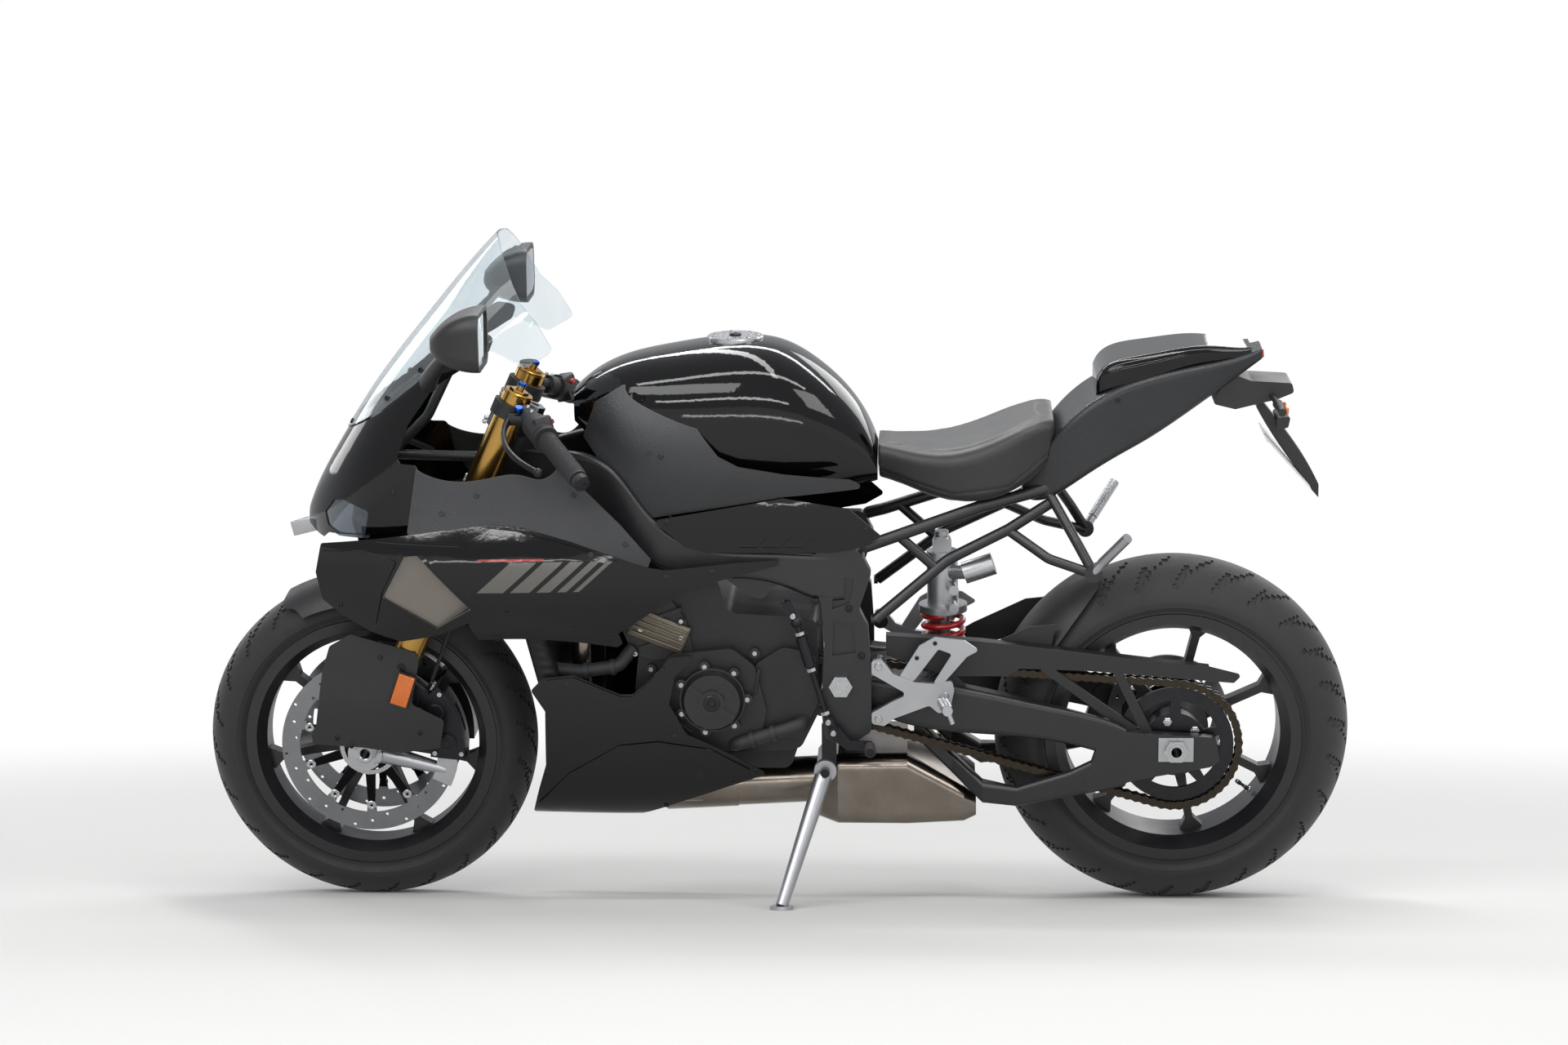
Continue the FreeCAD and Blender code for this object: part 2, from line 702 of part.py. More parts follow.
def chain_spots():
    """Evenly spaced pin places round the chain's path, twice as many as links, with outward ways."""
    path = chain_path(0)
    links = round(path.Length / size("chain_pitch"))
    spots = []
    for point in path.discretize(Number=2 * links + 1)[:-1]:
        spots.append(point)
    ways = []
    for number, point in enumerate(spots):
        along = spots[(number + 1) % len(spots)] - spots[number - 1]
        outward = Vector(-along.z, 0, along.x).normalize()
        ways.append(outward)
    middle = Vector()
    for point in spots:
        middle += point
    middle = middle / len(spots)
    sign = 1 if ways[0].dot(spots[0] - middle) > 0 else -1
    return spots, [way * sign for way in ways]


def build_chain():
    """The drive chain: waisted side plates both sides of a row of rollers, closed round both sprockets."""
    spots, ways = chain_spots()
    tall, low = size("chain_plate_height") / 2, size("chain_waist_height") / 2
    half, plate_depth = size("chain_width") / 2, size("chain_plate_thickness")
    outer, inner = [], []
    for number, (point, way) in enumerate(zip(spots, ways)):
        reach = tall if number % 2 == 0 else low
        outer.append(point + way * reach)
        inner.append(point - way * reach)
    bands = []
    for start in (-half, half - plate_depth):
        outside = Part.Face(Part.makePolygon(outer + outer[:1])).extrude(ACROSS * plate_depth)
        inside = Part.Face(Part.makePolygon(inner + inner[:1])).extrude(ACROSS * plate_depth)
        band = outside.cut(inside)
        band.translate(ACROSS * start)
        bands.append(band)
    roller_length = 2 * (half - plate_depth)
    corners = 6
    rollers = []
    for point in spots[::2]:
        ring = []
        for corner in range(corners):
            angle = 2 * math.pi * corner / corners
            radius = size("chain_roller_radius")
            ring.append(point + Vector(radius * math.cos(angle), -roller_length / 2, radius * math.sin(angle)))
        rollers.append(Part.Face(Part.makePolygon(ring + ring[:1])).extrude(ACROSS * roller_length))
    add("chain", bands[0].multiFuse(bands[1:] + rollers))


def build_sprockets():
    """The rear sprocket on its cush drive, and the front sprocket on the gearbox shaft."""
    cover = size("rear_sprocket_radius") - size("sprocket_clearance")
    line, depth = size("chain_line"), size("sprocket_thickness")
    body = new_body("rear_sprocket")
    ring = sketch_on(body, "XZ_Plane", circles=[(0, 0, cover), (0, 0, cover - size("sprocket_ring_width"))],
                     offset=line)
    pad(body, ring, depth, midplane=True)
    half, start = size("sprocket_arm_width") / 2, size("sprocket_hub_radius") - size("sprocket_arm_width") / 2
    reach = cover - size("sprocket_ring_width") / 2
    arm = [(-half, start), (-half / 2, reach), (half / 2, reach), (half, start)]
    outline = sketch_on(body, "XZ_Plane", [arm], offset=line)
    polar(body, [pad(body, outline, depth, midplane=True)], outline, int(size("sprocket_arms")))
    pad(body, sketch_on(body, "XZ_Plane", circles=[(0, 0, size("sprocket_hub_radius"))], offset=line), depth,
        midplane=True)
    hub_end = size("rear_hub_width") / 2
    boss_length = line - hub_end
    boss = sketch_on(body, "XZ_Plane", circles=[(0, 0, size("drive_boss_radius"))],
                     offset=hub_end + boss_length / 2)
    pad(body, boss, boss_length, midplane=True)
    bore = size("rear_axle_radius") + size("axle_clearance")
    pocket(body, sketch_on(body, "XZ_Plane", circles=[(0, 0, bore)]), line * 4)
    body.Placement = Placement(REAR_AXLE, Rotation())
    keep("rear_sprocket", body)
    middle = Vector(size("front_sprocket_x"), -line, size("front_sprocket_z"))
    wheel = drum_about("front_sprocket_ring", size("front_sprocket_radius") - size("sprocket_clearance"), depth, middle)
    shaft_end = size("chain_width")
    shaft = cylinder("output_shaft", size("output_shaft_radius"), shaft_end, middle, ACROSS)
    keep("front_sprocket", join("front_sprocket", [wheel, shaft]))


# Fork, clamps and front brake

sizes([
    ("fork_spread", 105, "of each leg from the centre"),
    ("fork_tube_radius", 27, "outer upper tube"),
    ("fork_slider_radius", 21.5, "lower tube"),
    ("fork_top", 720, "above the axle along the leg"),
    ("fork_tube_low", 200, "lower end of the gold tube"),
    ("fork_foot_radius", 31, "clamp round the axle"),
    ("fork_foot_width", 34, "of the axle clamp"),
    ("fork_foot_height", 74, "of the casting along the leg"),
    ("fork_foot_wall", 5, "of the casting round the slider"),
    ("fork_arm_radius", 10, "of the arm from the foot to the brake caliper"),
    ("fork_cap_radius", 18, "over its corners"),
    ("fork_cap_depth", 9, "above the tube"),
    ("adjuster_radius", 7, "of the knob in each fork cap"),
    ("lower_clamp_low", 463, "along the leg"),
    ("lower_clamp_depth", 32, "along the leg"),
    ("upper_clamp_low", 650, "along the leg"),
    ("upper_clamp_depth", 22, "along the leg"),
    ("clamp_wall", 9, "round the fork tubes"),
    ("stem_radius", 15, "steering stem"),
    ("stem_bore", 9, "radius of the hollow stem"),
    ("stem_top", 692, "along the leg"),
    ("stem_nut_radius", 21, "over its corners"),
    ("caliper_inner_radius", 116, "from the axle"),
    ("caliper_outer_radius", 178, "from the axle"),
    ("caliper_bridge_radius", 168, "of the slot over the brake ring"),
    ("caliper_low_angle", -6, "above the rearward level"),
    ("caliper_high_angle", 42, "above the rearward level"),
    ("caliper_half_width", 32, "to each side of the brake ring"),
    ("caliper_slot", 16, "for the brake ring"),
    ("piston_cap_radius", 17, "of the round caps on the caliper"),
    ("piston_cap_depth", 5, "proud of the caliper"),
    ("lug_depth", 18, "of the caliper lugs across the bike"),
    ("fender_gap", 9, "over the front tyre's crown"),
    ("fender_half_width", 77.7, "up against the fork tubes"),
    ("fender_drop", 46, "of its sides below its crown"),
    ("fender_front", -890, "front end of its outline"),
    ("fender_length", 330, "of its outline"),
    ("fender_low", 470, "lower end of its outline"),
    ("fender_height", 160, "of its outline"),
    ("duct_front", -822, "front end of the brake duct cover"),
    ("duct_length", 241, "of the brake duct cover"),
    ("duct_low", 307, "lower end of the brake duct cover"),
    ("duct_height", 221, "of the brake duct cover"),
    ("duct_half_width", 140, "of the cover from the centre"),
    ("duct_boss_radius", 9, "of the two bosses that carry it"),
    ("hose_radius", 3.5, "of a brake hose"),
])

FENDER_SHARES = [(0.01, 0.52), (0.06, 0.74), (0.18, 1.10), (0.90, 1.10), (0.95, 0.62), (0.80, 0.20), (0.58, 0.03),
                 (0.31, 0.24), (0.18, 0.41), (0.10, 0.55)]
DUCT_SHARES = [(0.16, 0.90), (0.32, 1.00), (0.74, 0.87), (0.83, 0.83), (0.80, 0.62), (0.76, 0.42), (1.00, 0.28),
               (0.96, 0.04), (0.66, 0.00), (0.35, 0.05), (0.01, 0.07), (0.00, 0.14), (0.04, 0.25), (0.10, 0.69)]
DUCT_PROFILE_SHARES = [(0.95, 0.0), (0.985, 0.22), (1.0, 0.45), (0.985, 0.62), (0.975, 0.80), (0.96, 1.0)]
DUCT_BOSS_SHARES = (0.50, 0.85)


def sector(centre, radii, angles, sides):
    """A block between two radii and two angles round an axle, between two distances across."""
    near, far = sides
    points = []
    for radius, turns in ((radii[0], (0, 0.5, 1)), (radii[1], (1, 0.5, 0))):
        points.append([round_wheel(centre, radius, angles[0] + (angles[1] - angles[0]) * turn, near)
                       for turn in turns])
    edges = [Part.Arc(*points[0]).toShape(), Part.LineSegment(points[0][2], points[1][0]).toShape(),
             Part.Arc(*points[1]).toShape(), Part.LineSegment(points[1][2], points[0][0]).toShape()]
    return Part.Face(Part.Wire(edges)).extrude(Vector(0, far - near, 0))


def clamp(low, depth):
    """A triple clamp round both fork tubes and the stem."""
    wall, reach = size("clamp_wall"), size("fork_spread")
    ring, stem = size("fork_tube_radius") + wall, size("stem_radius") + wall
    waist_share = 0.5
    corners = [on_fork(low, -reach, ring), on_fork(low, -reach - ring, 0), on_fork(low, -reach, -ring * waist_share * 2),
               on_fork(low, -stem, -FORK_OFFSET - stem), on_fork(low, stem, -FORK_OFFSET - stem),
               on_fork(low, reach, -ring * waist_share * 2), on_fork(low, reach + ring, 0), on_fork(low, reach, ring),
               on_fork(low, stem, ring * waist_share), on_fork(low, -stem, ring * waist_share)]
    slab = Part.Face(rounded_wire(corners, ring)).extrude(AXIS_UP * depth)
    for side in (LEFT, RIGHT):
        slab = slab.cut(Part.makeCylinder(size("fork_tube_radius"), depth, on_fork(low, side * reach), AXIS_UP))
    return slab.cut(Part.makeCylinder(size("stem_radius"), depth, on_fork(low, 0, -FORK_OFFSET), AXIS_UP))


def build_fork_legs():
    """Sliders, cast feet with their caliper arms, upper tubes and caps."""
    sliders, feet, tubes = [], [], []
    slider, spread = size("fork_slider_radius"), size("fork_spread")
    foot_top, tube_low = size("fork_foot_height"), size("fork_tube_low")
    lug_depth = size("lug_depth")
    ring_radius = (size("caliper_inner_radius") + size("caliper_outer_radius")) / 2
    cover_inside = size("duct_half_width") - size("skin") - size("seat_gap")
    for name, side in SIDES:
        across = side * spread
        core = Part.makeCylinder(slider, tube_low - foot_top, on_fork(foot_top, across), AXIS_UP)
        parts = [core]
        for share in DUCT_BOSS_SHARES:
            start = on_fork(foot_top + (tube_low - foot_top) * share, across)
            boss_length = cover_inside - spread
            parts.append(Part.makeCylinder(size("duct_boss_radius"), boss_length, start, ACROSS * side))
        lug_near = spread - slider
        low_edge, high_edge = size("caliper_high_angle"), size("caliper_high_angle") + size("cut_over")
        lug = sector(FRONT_AXLE, (ring_radius - lug_depth / 2, ring_radius + lug_depth / 2), (low_edge, high_edge),
                     (side * lug_near, side * (lug_near + lug_depth)))
        parts.append(lug)
        sliders.append(fuse(parts))
        shell = Part.makeCylinder(slider + size("fork_foot_wall"), foot_top, on_fork(0, across), AXIS_UP)
        foot = drum(on_fork(0, across), ACROSS, size("fork_foot_radius"), size("fork_foot_width"))
        tip_angle = size("caliper_low_angle")
        arm_side = side * (lug_near + lug_depth / 2)
        tip = round_wheel(FRONT_AXLE, ring_radius, tip_angle - lug_depth / 2, arm_side)
        arm = taper([(on_fork(0, arm_side), size("fork_arm_radius") * 2), (tip, size("fork_arm_radius"))])
        end = sector(FRONT_AXLE, (ring_radius - lug_depth, ring_radius + lug_depth), (tip_angle - lug_depth, tip_angle),
                     (side * lug_near, side * (lug_near + lug_depth)))
        casting = fuse([shell, foot, arm, end])
        feet.append(casting.cut(drum(FRONT_AXLE, ACROSS, size("front_axle_radius"), size("front_axle_length") * 2)))
        leg = cylinder("fork_leg_" + name, size("fork_tube_radius"), size("fork_top") - tube_low,
                       on_fork(tube_low, across), AXIS_UP)
        cap = DOC.addObject("Part::Prism", "fork_cap_" + name)
        bind(cap, Circumradius=size("fork_cap_radius"), Height=size("fork_cap_depth"))
        cap.Polygon = 6
        cap.Placement = Placement(on_fork(size("fork_top"), across), Rotation(UP, AXIS_UP))
        knob = cylinder("fork_knob_" + name, size("adjuster_radius"), size("fork_cap_depth") * 2,
                        on_fork(size("fork_top"), across), AXIS_UP)
        tubes.append(join("fork_tube_" + name, [leg, cap, knob]))
    add("fork_sliders", compound(sliders))
    add("fork_feet", compound(feet))
    keep("fork_tubes", group("fork_tubes", tubes))


def build_clamps():
    """Both triple clamps and the hollow stem with its nut."""
    add("upper_clamp", clamp(size("upper_clamp_low"), size("upper_clamp_depth")))
    add("lower_clamp", clamp(size("lower_clamp_low"), size("lower_clamp_depth")))
    low, top = size("lower_clamp_low"), size("stem_top")
    base = on_fork(low, 0, -FORK_OFFSET)
    stem = cylinder("stem_bar", size("stem_radius"), top - low, base, AXIS_UP)
    nut = DOC.addObject("Part::Prism", "stem_nut")
    nut_low = size("upper_clamp_low") + size("upper_clamp_depth")
    bind(nut, Circumradius=size("stem_nut_radius"), Height=top - nut_low)
    nut.Polygon = 6
    nut.Placement = Placement(on_fork(nut_low, 0, -FORK_OFFSET), Rotation(UP, AXIS_UP))
    bore = cylinder("stem_hollow", size("stem_bore"), top - low, base, AXIS_UP)
    keep("steering_stem", cut("steering_stem", join("stem_whole", [stem, nut]), [bore]))


def build_front_brake():
    """Radial calipers astride the brake rings, and their hoses up to the lower clamp."""
    calipers, hoses = [], []
    inner, outer = size("caliper_inner_radius"), size("caliper_outer_radius")
    angles = (size("caliper_low_angle"), size("caliper_high_angle"))
    middle, half = size("front_disc_offset"), size("caliper_half_width")
    slot = size("caliper_slot") / 2
    for side in (LEFT, RIGHT):
        block = sector(FRONT_AXLE, (inner, outer), angles, (side * (middle - half), side * (middle + half)))
        gap = sector(FRONT_AXLE, (inner - size("cut_over"), size("caliper_bridge_radius")),
                     (angles[0] - size("cut_over"), angles[1] + size("cut_over")),
                     (side * (middle - slot), side * (middle + slot)))
        window_share = 0.18
        reach = (angles[1] - angles[0]) * window_share
        centre_angle = (angles[0] + angles[1]) / 2
        window = sector(FRONT_AXLE, (size("caliper_bridge_radius") - slot, outer + size("cut_over")),
                        (centre_angle - reach, centre_angle + reach), (side * (middle - slot), side * (middle + slot)))
        block = block.cut(gap).cut(window)
        caps = []
        for share in (0.25, 0.75):
            spot = round_wheel(FRONT_AXLE, (inner + outer) / 2, angles[0] + (angles[1] - angles[0]) * share,
                               side * (middle + half))
            caps.append(drum(spot, ACROSS, size("piston_cap_radius"), size("piston_cap_depth") * 2))
        calipers.append(fuse([block] + caps))
        hose_side = side * 90
        route = [on_fork(distance, hose_side, forward) for distance, forward in
                 ((167, -58), (205, -56), (262, -52), (330, -48), (398, -46), (462.7, -46))]
        hoses.append(tube(route, size("hose_radius"), 400))
    add("front_calipers", compound(calipers))
    whole = calipers[0].multiFuse(calipers[1:])
    add("brake_hoses", compound([hose.cut(whole) for hose in hoses]))


def build_front_guard():
    """The fender over the tyre and the brake duct covers outside the fork legs."""
    wall = size("skin")
    inside = size("front_tyre_radius") + size("fender_gap")
    drop = size("fender_drop")
    shells = []
    for radius, half in ((inside + wall, size("fender_half_width")), (inside, size("fender_half_width") - wall)):
        low, high = Vector(0, -half, radius - drop), Vector(0, half, radius - drop)
        arc = Part.Arc(low, Vector(0, 0, radius), high).toShape()
        face = Part.Face(Part.Wire([arc, Part.LineSegment(high, low).toShape()]))
        face.rotate(CENTRE, ACROSS, -FULL_TURN / 8)
        shells.append(face.revolve(CENTRE, ACROSS, FULL_TURN / 4))
    shell = shells[0].cut(shells[1])
    shell.translate(FRONT_AXLE)
    far = size("fender_half_width") * 2
    fender = shell.common(plate(outline_of("fender", FENDER_SHARES), -far, far, size("cut_over")))
    add("front_fender", fender)
    half = size("duct_half_width")
    low, high = size("duct_low"), size("duct_low") + size("duct_height")
    front, back = size("duct_front") - wall, size("duct_front") + size("duct_length") + wall
    sag_share = 0.975
    stations = [(front, half * sag_share, low, high), ((front + back) / 2, half, low, high),
                (back, half * sag_share, low, high)]
    skin = side_skin(stations, DUCT_PROFILE_SHARES, wall)
    cover = skin.common(plate(outline_of("duct", DUCT_SHARES), -half * 2, 0, size("duct_boss_radius")))
    pair("fork_covers", cover)


# Bars and controls

sizes([
    ("bar_radius", 11, "of the bar tube"),
    ("grip_radius", 16.5, "of the rubber grip"),
    ("bar_inner_x", -425, "inner end"),
    ("bar_inner_y", 132, "inner end"),
    ("bar_inner_z", 936, "inner end"),
    ("bar_end_x", -301, "outer end"),
    ("bar_end_y", 350, "outer end"),
    ("bar_end_z", 853, "outer end"),
    ("clip_wall", 8, "of the clip round the fork tube"),
    ("clip_depth", 26, "along the fork tube"),
    ("clip_gap", 4, "over the upper clamp"),
    ("switch_extra", 6, "of the switch block over the grip"),
    ("flange_extra", 7, "of the grip's inner flange"),
    ("lever_radius", 5.5, "of a lever blade"),
    ("lever_ball_radius", 8, "at a lever's tip"),
    ("lever_reach", 60, "ahead of the grip"),
    ("reservoir_radius", 16, "of the brake fluid cup"),
    ("reservoir_height", 36, "of the brake fluid cup"),
])


def build_bars():
    """Clip-on bars with grips, switch blocks, levers and the brake fluid cup on the right."""
    ring_low = size("upper_clamp_low") + size("upper_clamp_depth") + size("clip_gap")
    tube_radius, grip = size("fork_tube_radius"), size("grip_radius")
    levers = []
    for name, side in SIDES:
        across = side * size("fork_spread")
        inner = Vector(size("bar_inner_x"), side * size("bar_inner_y"), size("bar_inner_z"))
        outer = Vector(size("bar_end_x"), side * size("bar_end_y"), size("bar_end_z"))
        way = outer - inner

        def along(share):
            return inner + way * share

        ring = Part.makeCylinder(tube_radius + size("clip_wall"), size("clip_depth"), on_fork(ring_low, across), AXIS_UP)
        pieces = [ring, tube([inner, outer], size("bar_radius"))]
        for start_share, end_share, radius in ((0.40, 0.95, grip), (0.38, 0.41, grip + size("flange_extra")),
                                               (0.20, 0.37, grip + size("switch_extra")), (0.09, 0.18, grip + 1),
                                               (0.96, 1.0, grip - 2)):
            pieces.append(tube([along(start_share), along(end_share)], radius))
        bar = fuse(pieces)
        bar = bar.cut(Part.makeCylinder(tube_radius, size("fork_top"), on_fork(0, across), AXIS_UP))
        add("handlebar_" + name, bar)
        forward = Vector(-size("lever_reach"), 0, 0)
        root = along(0.13) + forward * 0.62
        knee = along(0.30) + forward * 1.05
        tip = along(0.86) + forward
        blade = taper([(root, size("lever_radius") * 1.3), (knee, size("lever_radius")), (tip, size("lever_radius"))])
        perch = taper([(along(0.13) + forward * 0.25, size("lever_radius") * 1.9), (root, size("lever_radius") * 1.9)])
        lever = [blade, perch, Part.makeSphere(size("lever_ball_radius"), tip)]
        if side == RIGHT:
            cup_foot = root + UP * size("lever_radius")
            lever.append(Part.makeCylinder(size("reservoir_radius"), size("reservoir_height"), cup_foot, UP))
            lever.append(tube([root, root + UP * size("reservoir_radius")], size("lever_radius") * 1.4))
        levers.append(fuse(lever).cut(bar))
    add("levers", compound(levers))


# Grid of the bodywork: outlines and sections below are shares of these three lengths

sizes([
    ("body_length", 1000, "unit of the outlines along the bike"),
    ("body_width", 1000, "unit of the outlines across the bike"),
    ("body_height", 1000, "unit of the outlines upwards"),
    ("edge_radius", 5, "of small panel corners"),
])


def spot(share_x, share_y, share_z):
    """A point from shares of the body's length, width and height."""
    return Vector(share_x * size("body_length"), share_y * size("body_width"), share_z * size("body_height"))


def outline(shares):
    """Side view points from shares of the body's length and height."""
    return [(share_x * size("body_length"), share_z * size("body_height")) for share_x, share_z in shares]


def slab(shares, side_shares, radius=0):
    """A plate from a side view outline, between two shares of the body's width."""
    near_share, far_share = side_shares
    width = size("body_width")
    return plate(outline(shares), near_share * width, far_share * width, radius)


def rail(rows, ruled=False, start_x=0, length=0):
    """A lofted bar through rounded boxes; x counts from start_x over a length, or over the body's length."""
    wires = []
    for share_x, side_shares, up_shares, radius_share in rows:
        at_x = start_x + share_x * (length or size("body_length"))
        across = [share * size("body_width") for share in side_shares]
        up = [share * size("body_height") for share in up_shares]
        wires.append(box_section(at_x, across, up, radius_share * size("body_width")))
    return Part.makeLoft(wires, True, ruled)


def pipe(shares, radius, bend_share=0, bore=0):
    """A tube through points given as shares of the body."""
    return tube([spot(*share) for share in shares], radius, bend_share * size("body_length"), bore)


def ball(share, radius):
    """A sphere at a point given as shares of the body."""
    return Part.makeSphere(radius, spot(*share))


# Frame, swingarm and subframe

sizes([
    ("head_radius", 38, "of the steering head"),
    ("head_gap", 5, "between head and clamps"),
    ("bearing_clearance", 5, "round the stem"),
    ("plate_inner", 142, "inner face of the pivot plates"),
    ("plate_outer", 170, "outer face of the pivot plates"),
    ("plate_corner", 14, "radius of the pivot plate's corners"),
    ("cross_tube_radius", 22, "upper cross tube of the frame"),
    ("low_tube_radius", 9, "lower cross tube of the frame"),
    ("ear_radius", 14, "of the footrest bosses on the pivot plates"),
    ("pivot_x", 133, "swingarm pivot"),
    ("pivot_z", 446, "swingarm pivot"),
    ("pivot_bolt_radius", 12, "of the swingarm bolt"),
    ("pivot_nut_radius", 21, "over its corners"),
    ("pivot_nut_depth", 14, "of each end of the bolt"),
    ("pivot_clearance", 0.1, "round the swingarm bolt"),
    ("pivot_tube_radius", 34, "of the swingarm's cross tube"),
    ("pivot_tube_length", 196, "of the swingarm's cross tube"),
    ("pivot_ear_radius", 20, "of the swingarm's outer ears"),
    ("pivot_ear_length", 272, "over the swingarm's ears"),
    ("arm_outer", 152, "outer face of the swingarm"),
    ("arm_inner", 131, "inner face of the swingarm's axle plates"),
    ("arm_slot", 54, "length of the axle's adjusting slot"),
    ("adjuster_length", 62, "of the silver axle plate"),
    ("adjuster_height", 44, "of the silver axle plate"),
    ("subframe_upper_radius", 11, "of the upper rails"),
    ("subframe_lower_radius", 10, "of the lower rails"),
    ("peg_radius", 9, "of a footrest peg"),
])

PIVOT = Vector(size("pivot_x"), 0, size("pivot_z"))
ARM_LENGTH = REAR_X - size("pivot_x")


def build_frame():
    """Steering head, twin spars and pivot plates in one welded frame."""
    head_low = size("lower_clamp_low") + size("lower_clamp_depth") + size("head_gap")
    head_high = size("upper_clamp_low") - size("head_gap")
    base = on_fork(head_low, 0, -FORK_OFFSET)
    head = Part.makeCylinder(size("head_radius"), head_high - head_low, base, AXIS_UP)
    spar = rail([(-0.452, (-0.034, -0.006), (0.784, 0.846), 0.008), (-0.400, (-0.062, -0.034), (0.770, 0.850), 0.01),
                 (-0.330, (-0.124, -0.096), (0.757, 0.856), 0.01), (-0.285, (-0.150, -0.124), (0.738, 0.846), 0.01),
                 (-0.240, (-0.168, -0.144), (0.705, 0.806), 0.01), (-0.180, (-0.174, -0.148), (0.655, 0.735), 0.01),
                 (-0.100, (-0.174, -0.150), (0.640, 0.698), 0.01), (0.0, (-0.174, -0.150), (0.635, 0.690), 0.01),
                 (0.140, (-0.170, -0.142), (0.600, 0.688), 0.01)])
    inner_share, outer_share = -0.142, -0.170
    wing = slab([(0.104, 0.347), (0.098, 0.400), (0.104, 0.520), (0.100, 0.590), (0.086, 0.632), (0.086, 0.690),
                 (0.168, 0.690), (0.188, 0.650), (0.166, 0.585), (0.182, 0.552), (0.187, 0.470), (0.187, 0.360),
                 (0.150, 0.335)], (inner_share, outer_share), size("plate_corner"))
    wing = wing.cut(slab([(0.118, 0.585), (0.150, 0.596), (0.158, 0.640), (0.122, 0.648)], (-0.30, -0.164), 0.008))
    wing = wing.cut(slab([(0.118, 0.500), (0.160, 0.505), (0.158, 0.560), (0.120, 0.565)], (-0.30, -0.164), 0.008))
    hanger = slab([(-0.085, 0.690), (-0.085, 0.650), (-0.030, 0.606), (-0.004, 0.600), (0.012, 0.622), (0.060, 0.640),
                   (0.100, 0.640), (0.100, 0.690)], (-0.142, -0.158), size("plate_corner"))
    sides = []
    for shape in (spar, wing, hanger):
        sides += both_sides(shape)
    for share_x, share_z in ((0.199, 0.481), (0.199, 0.389)):
        for side in (LEFT, RIGHT):
            ear = Part.makeCylinder(size("ear_radius"), size("plate_outer") - size("plate_inner"),
                                    spot(share_x, side * 0.142, share_z), ACROSS * side)
            sides.append(ear)
    width = 2 * size("plate_inner") + size("edge_radius")
    top_cross = drum(spot(0.150, 0, 0.632), ACROSS, size("cross_tube_radius"), width)
    low_cross = drum(spot(0.116, 0, 0.400), ACROSS, size("low_tube_radius"), width)
    frame = fuse([head] + sides + [top_cross, low_cross])
    room = size("stem_radius") + size("bearing_clearance")
    frame = frame.cut(Part.makeCylinder(room, head_high - head_low + 2 * size("cut_over"),
                                        on_fork(head_low - size("cut_over"), 0, -FORK_OFFSET), AXIS_UP))
    frame = frame.cut(drum(PIVOT, ACROSS, size("pivot_bolt_radius") + size("pivot_clearance"), size("body_width")))
    add("main_frame", frame)
    length = 2 * size("plate_outer")
    depth = size("pivot_nut_depth")
    bolt = drum_about("pivot_bolt", size("pivot_bolt_radius"), length + size("seat_gap"), PIVOT)
    nuts = []
    for name, side in SIDES:
        nut = DOC.addObject("Part::Prism", "pivot_nut_" + name)
        bind(nut, Circumradius=size("pivot_nut_radius"), Height=depth)
        nut.Polygon = 6
        nut.Placement = Placement(PIVOT + ACROSS * side * (length / 2), Rotation(UP, ACROSS * side))
        nuts.append(nut)
    keep("swingarm_pivot", join("swingarm_pivot", [bolt] + nuts))


def build_swingarm():
    """Banana swingarm with a lower brace each side, its axle plates and a cross box."""
    start, length = size("pivot_x"), ARM_LENGTH
    beam = rail([(0.030, (-0.134, -0.072), (0.412, 0.462), 0.014), (0.196, (-0.140, -0.084), (0.362, 0.444), 0.014),
                 (0.366, (-0.151, -0.104), (0.350, 0.434), 0.012), (0.537, (-0.151, -0.112), (0.343, 0.412), 0.01),
                 (0.734, (-0.151, -0.132), (0.322, 0.386), 0.008), (0.851, (-0.151, -0.132), (0.300, 0.360), 0.006)],
                False, start, length)
    brace = rail([(0.217, (-0.100, -0.066), (0.330, 0.372), 0.01), (0.331, (-0.103, -0.070), (0.262, 0.300), 0.01),
                  (0.423, (-0.138, -0.104), (0.216, 0.256), 0.01), (0.524, (-0.1505, -0.1325), (0.214, 0.250), 0.008),
                  (0.684, (-0.1505, -0.1325), (0.232, 0.280), 0.008), (0.851, (-0.1505, -0.1325), (0.252, 0.330), 0.008)],
                 True, start, length)
    back, out = -size("arm_inner"), -size("arm_outer")
    height = size("body_height")
    end_shares = [(0.717, 0.240), (0.784, 0.360), (0.905, 0.352), (1.120, 0.345), (1.130, 0.300), (1.103, 0.290),
                  (0.902, 0.268)]
    end = plate([(start + length * share_x, share_z * height) for share_x, share_z in end_shares], back, out,
                size("edge_radius") * 2)
    sides = []
    for shape in (beam, brace, end):
        sides += both_sides(shape)
    box_shares = [(0.062, 0.376), (0.062, 0.442), (0.264, 0.442), (0.264, 0.376)]
    reach = size("pivot_tube_length") / 2
    cross = plate([(start + length * share_x, share_z * height) for share_x, share_z in box_shares], -reach, reach,
                  size("edge_radius"))
    arm = fuse(sides + [cross, drum(PIVOT, ACROSS, size("pivot_tube_radius"), size("pivot_tube_length")),
                        drum(PIVOT, ACROSS, size("pivot_ear_radius"), size("pivot_ear_length"))])
    arm = arm.cut(drum(PIVOT, ACROSS, size("pivot_bolt_radius") + size("pivot_clearance"), size("body_width")))
    radius, slot, offset_share = size("rear_axle_radius"), size("arm_slot"), 0.42
    low = Vector(REAR_X - slot * (1 - offset_share), -size("body_width") / 2, REAR_Z - radius)
    arm = arm.cut(Part.makeBox(slot, size("body_width"), radius * 2, low))
    add("swingarm", arm)


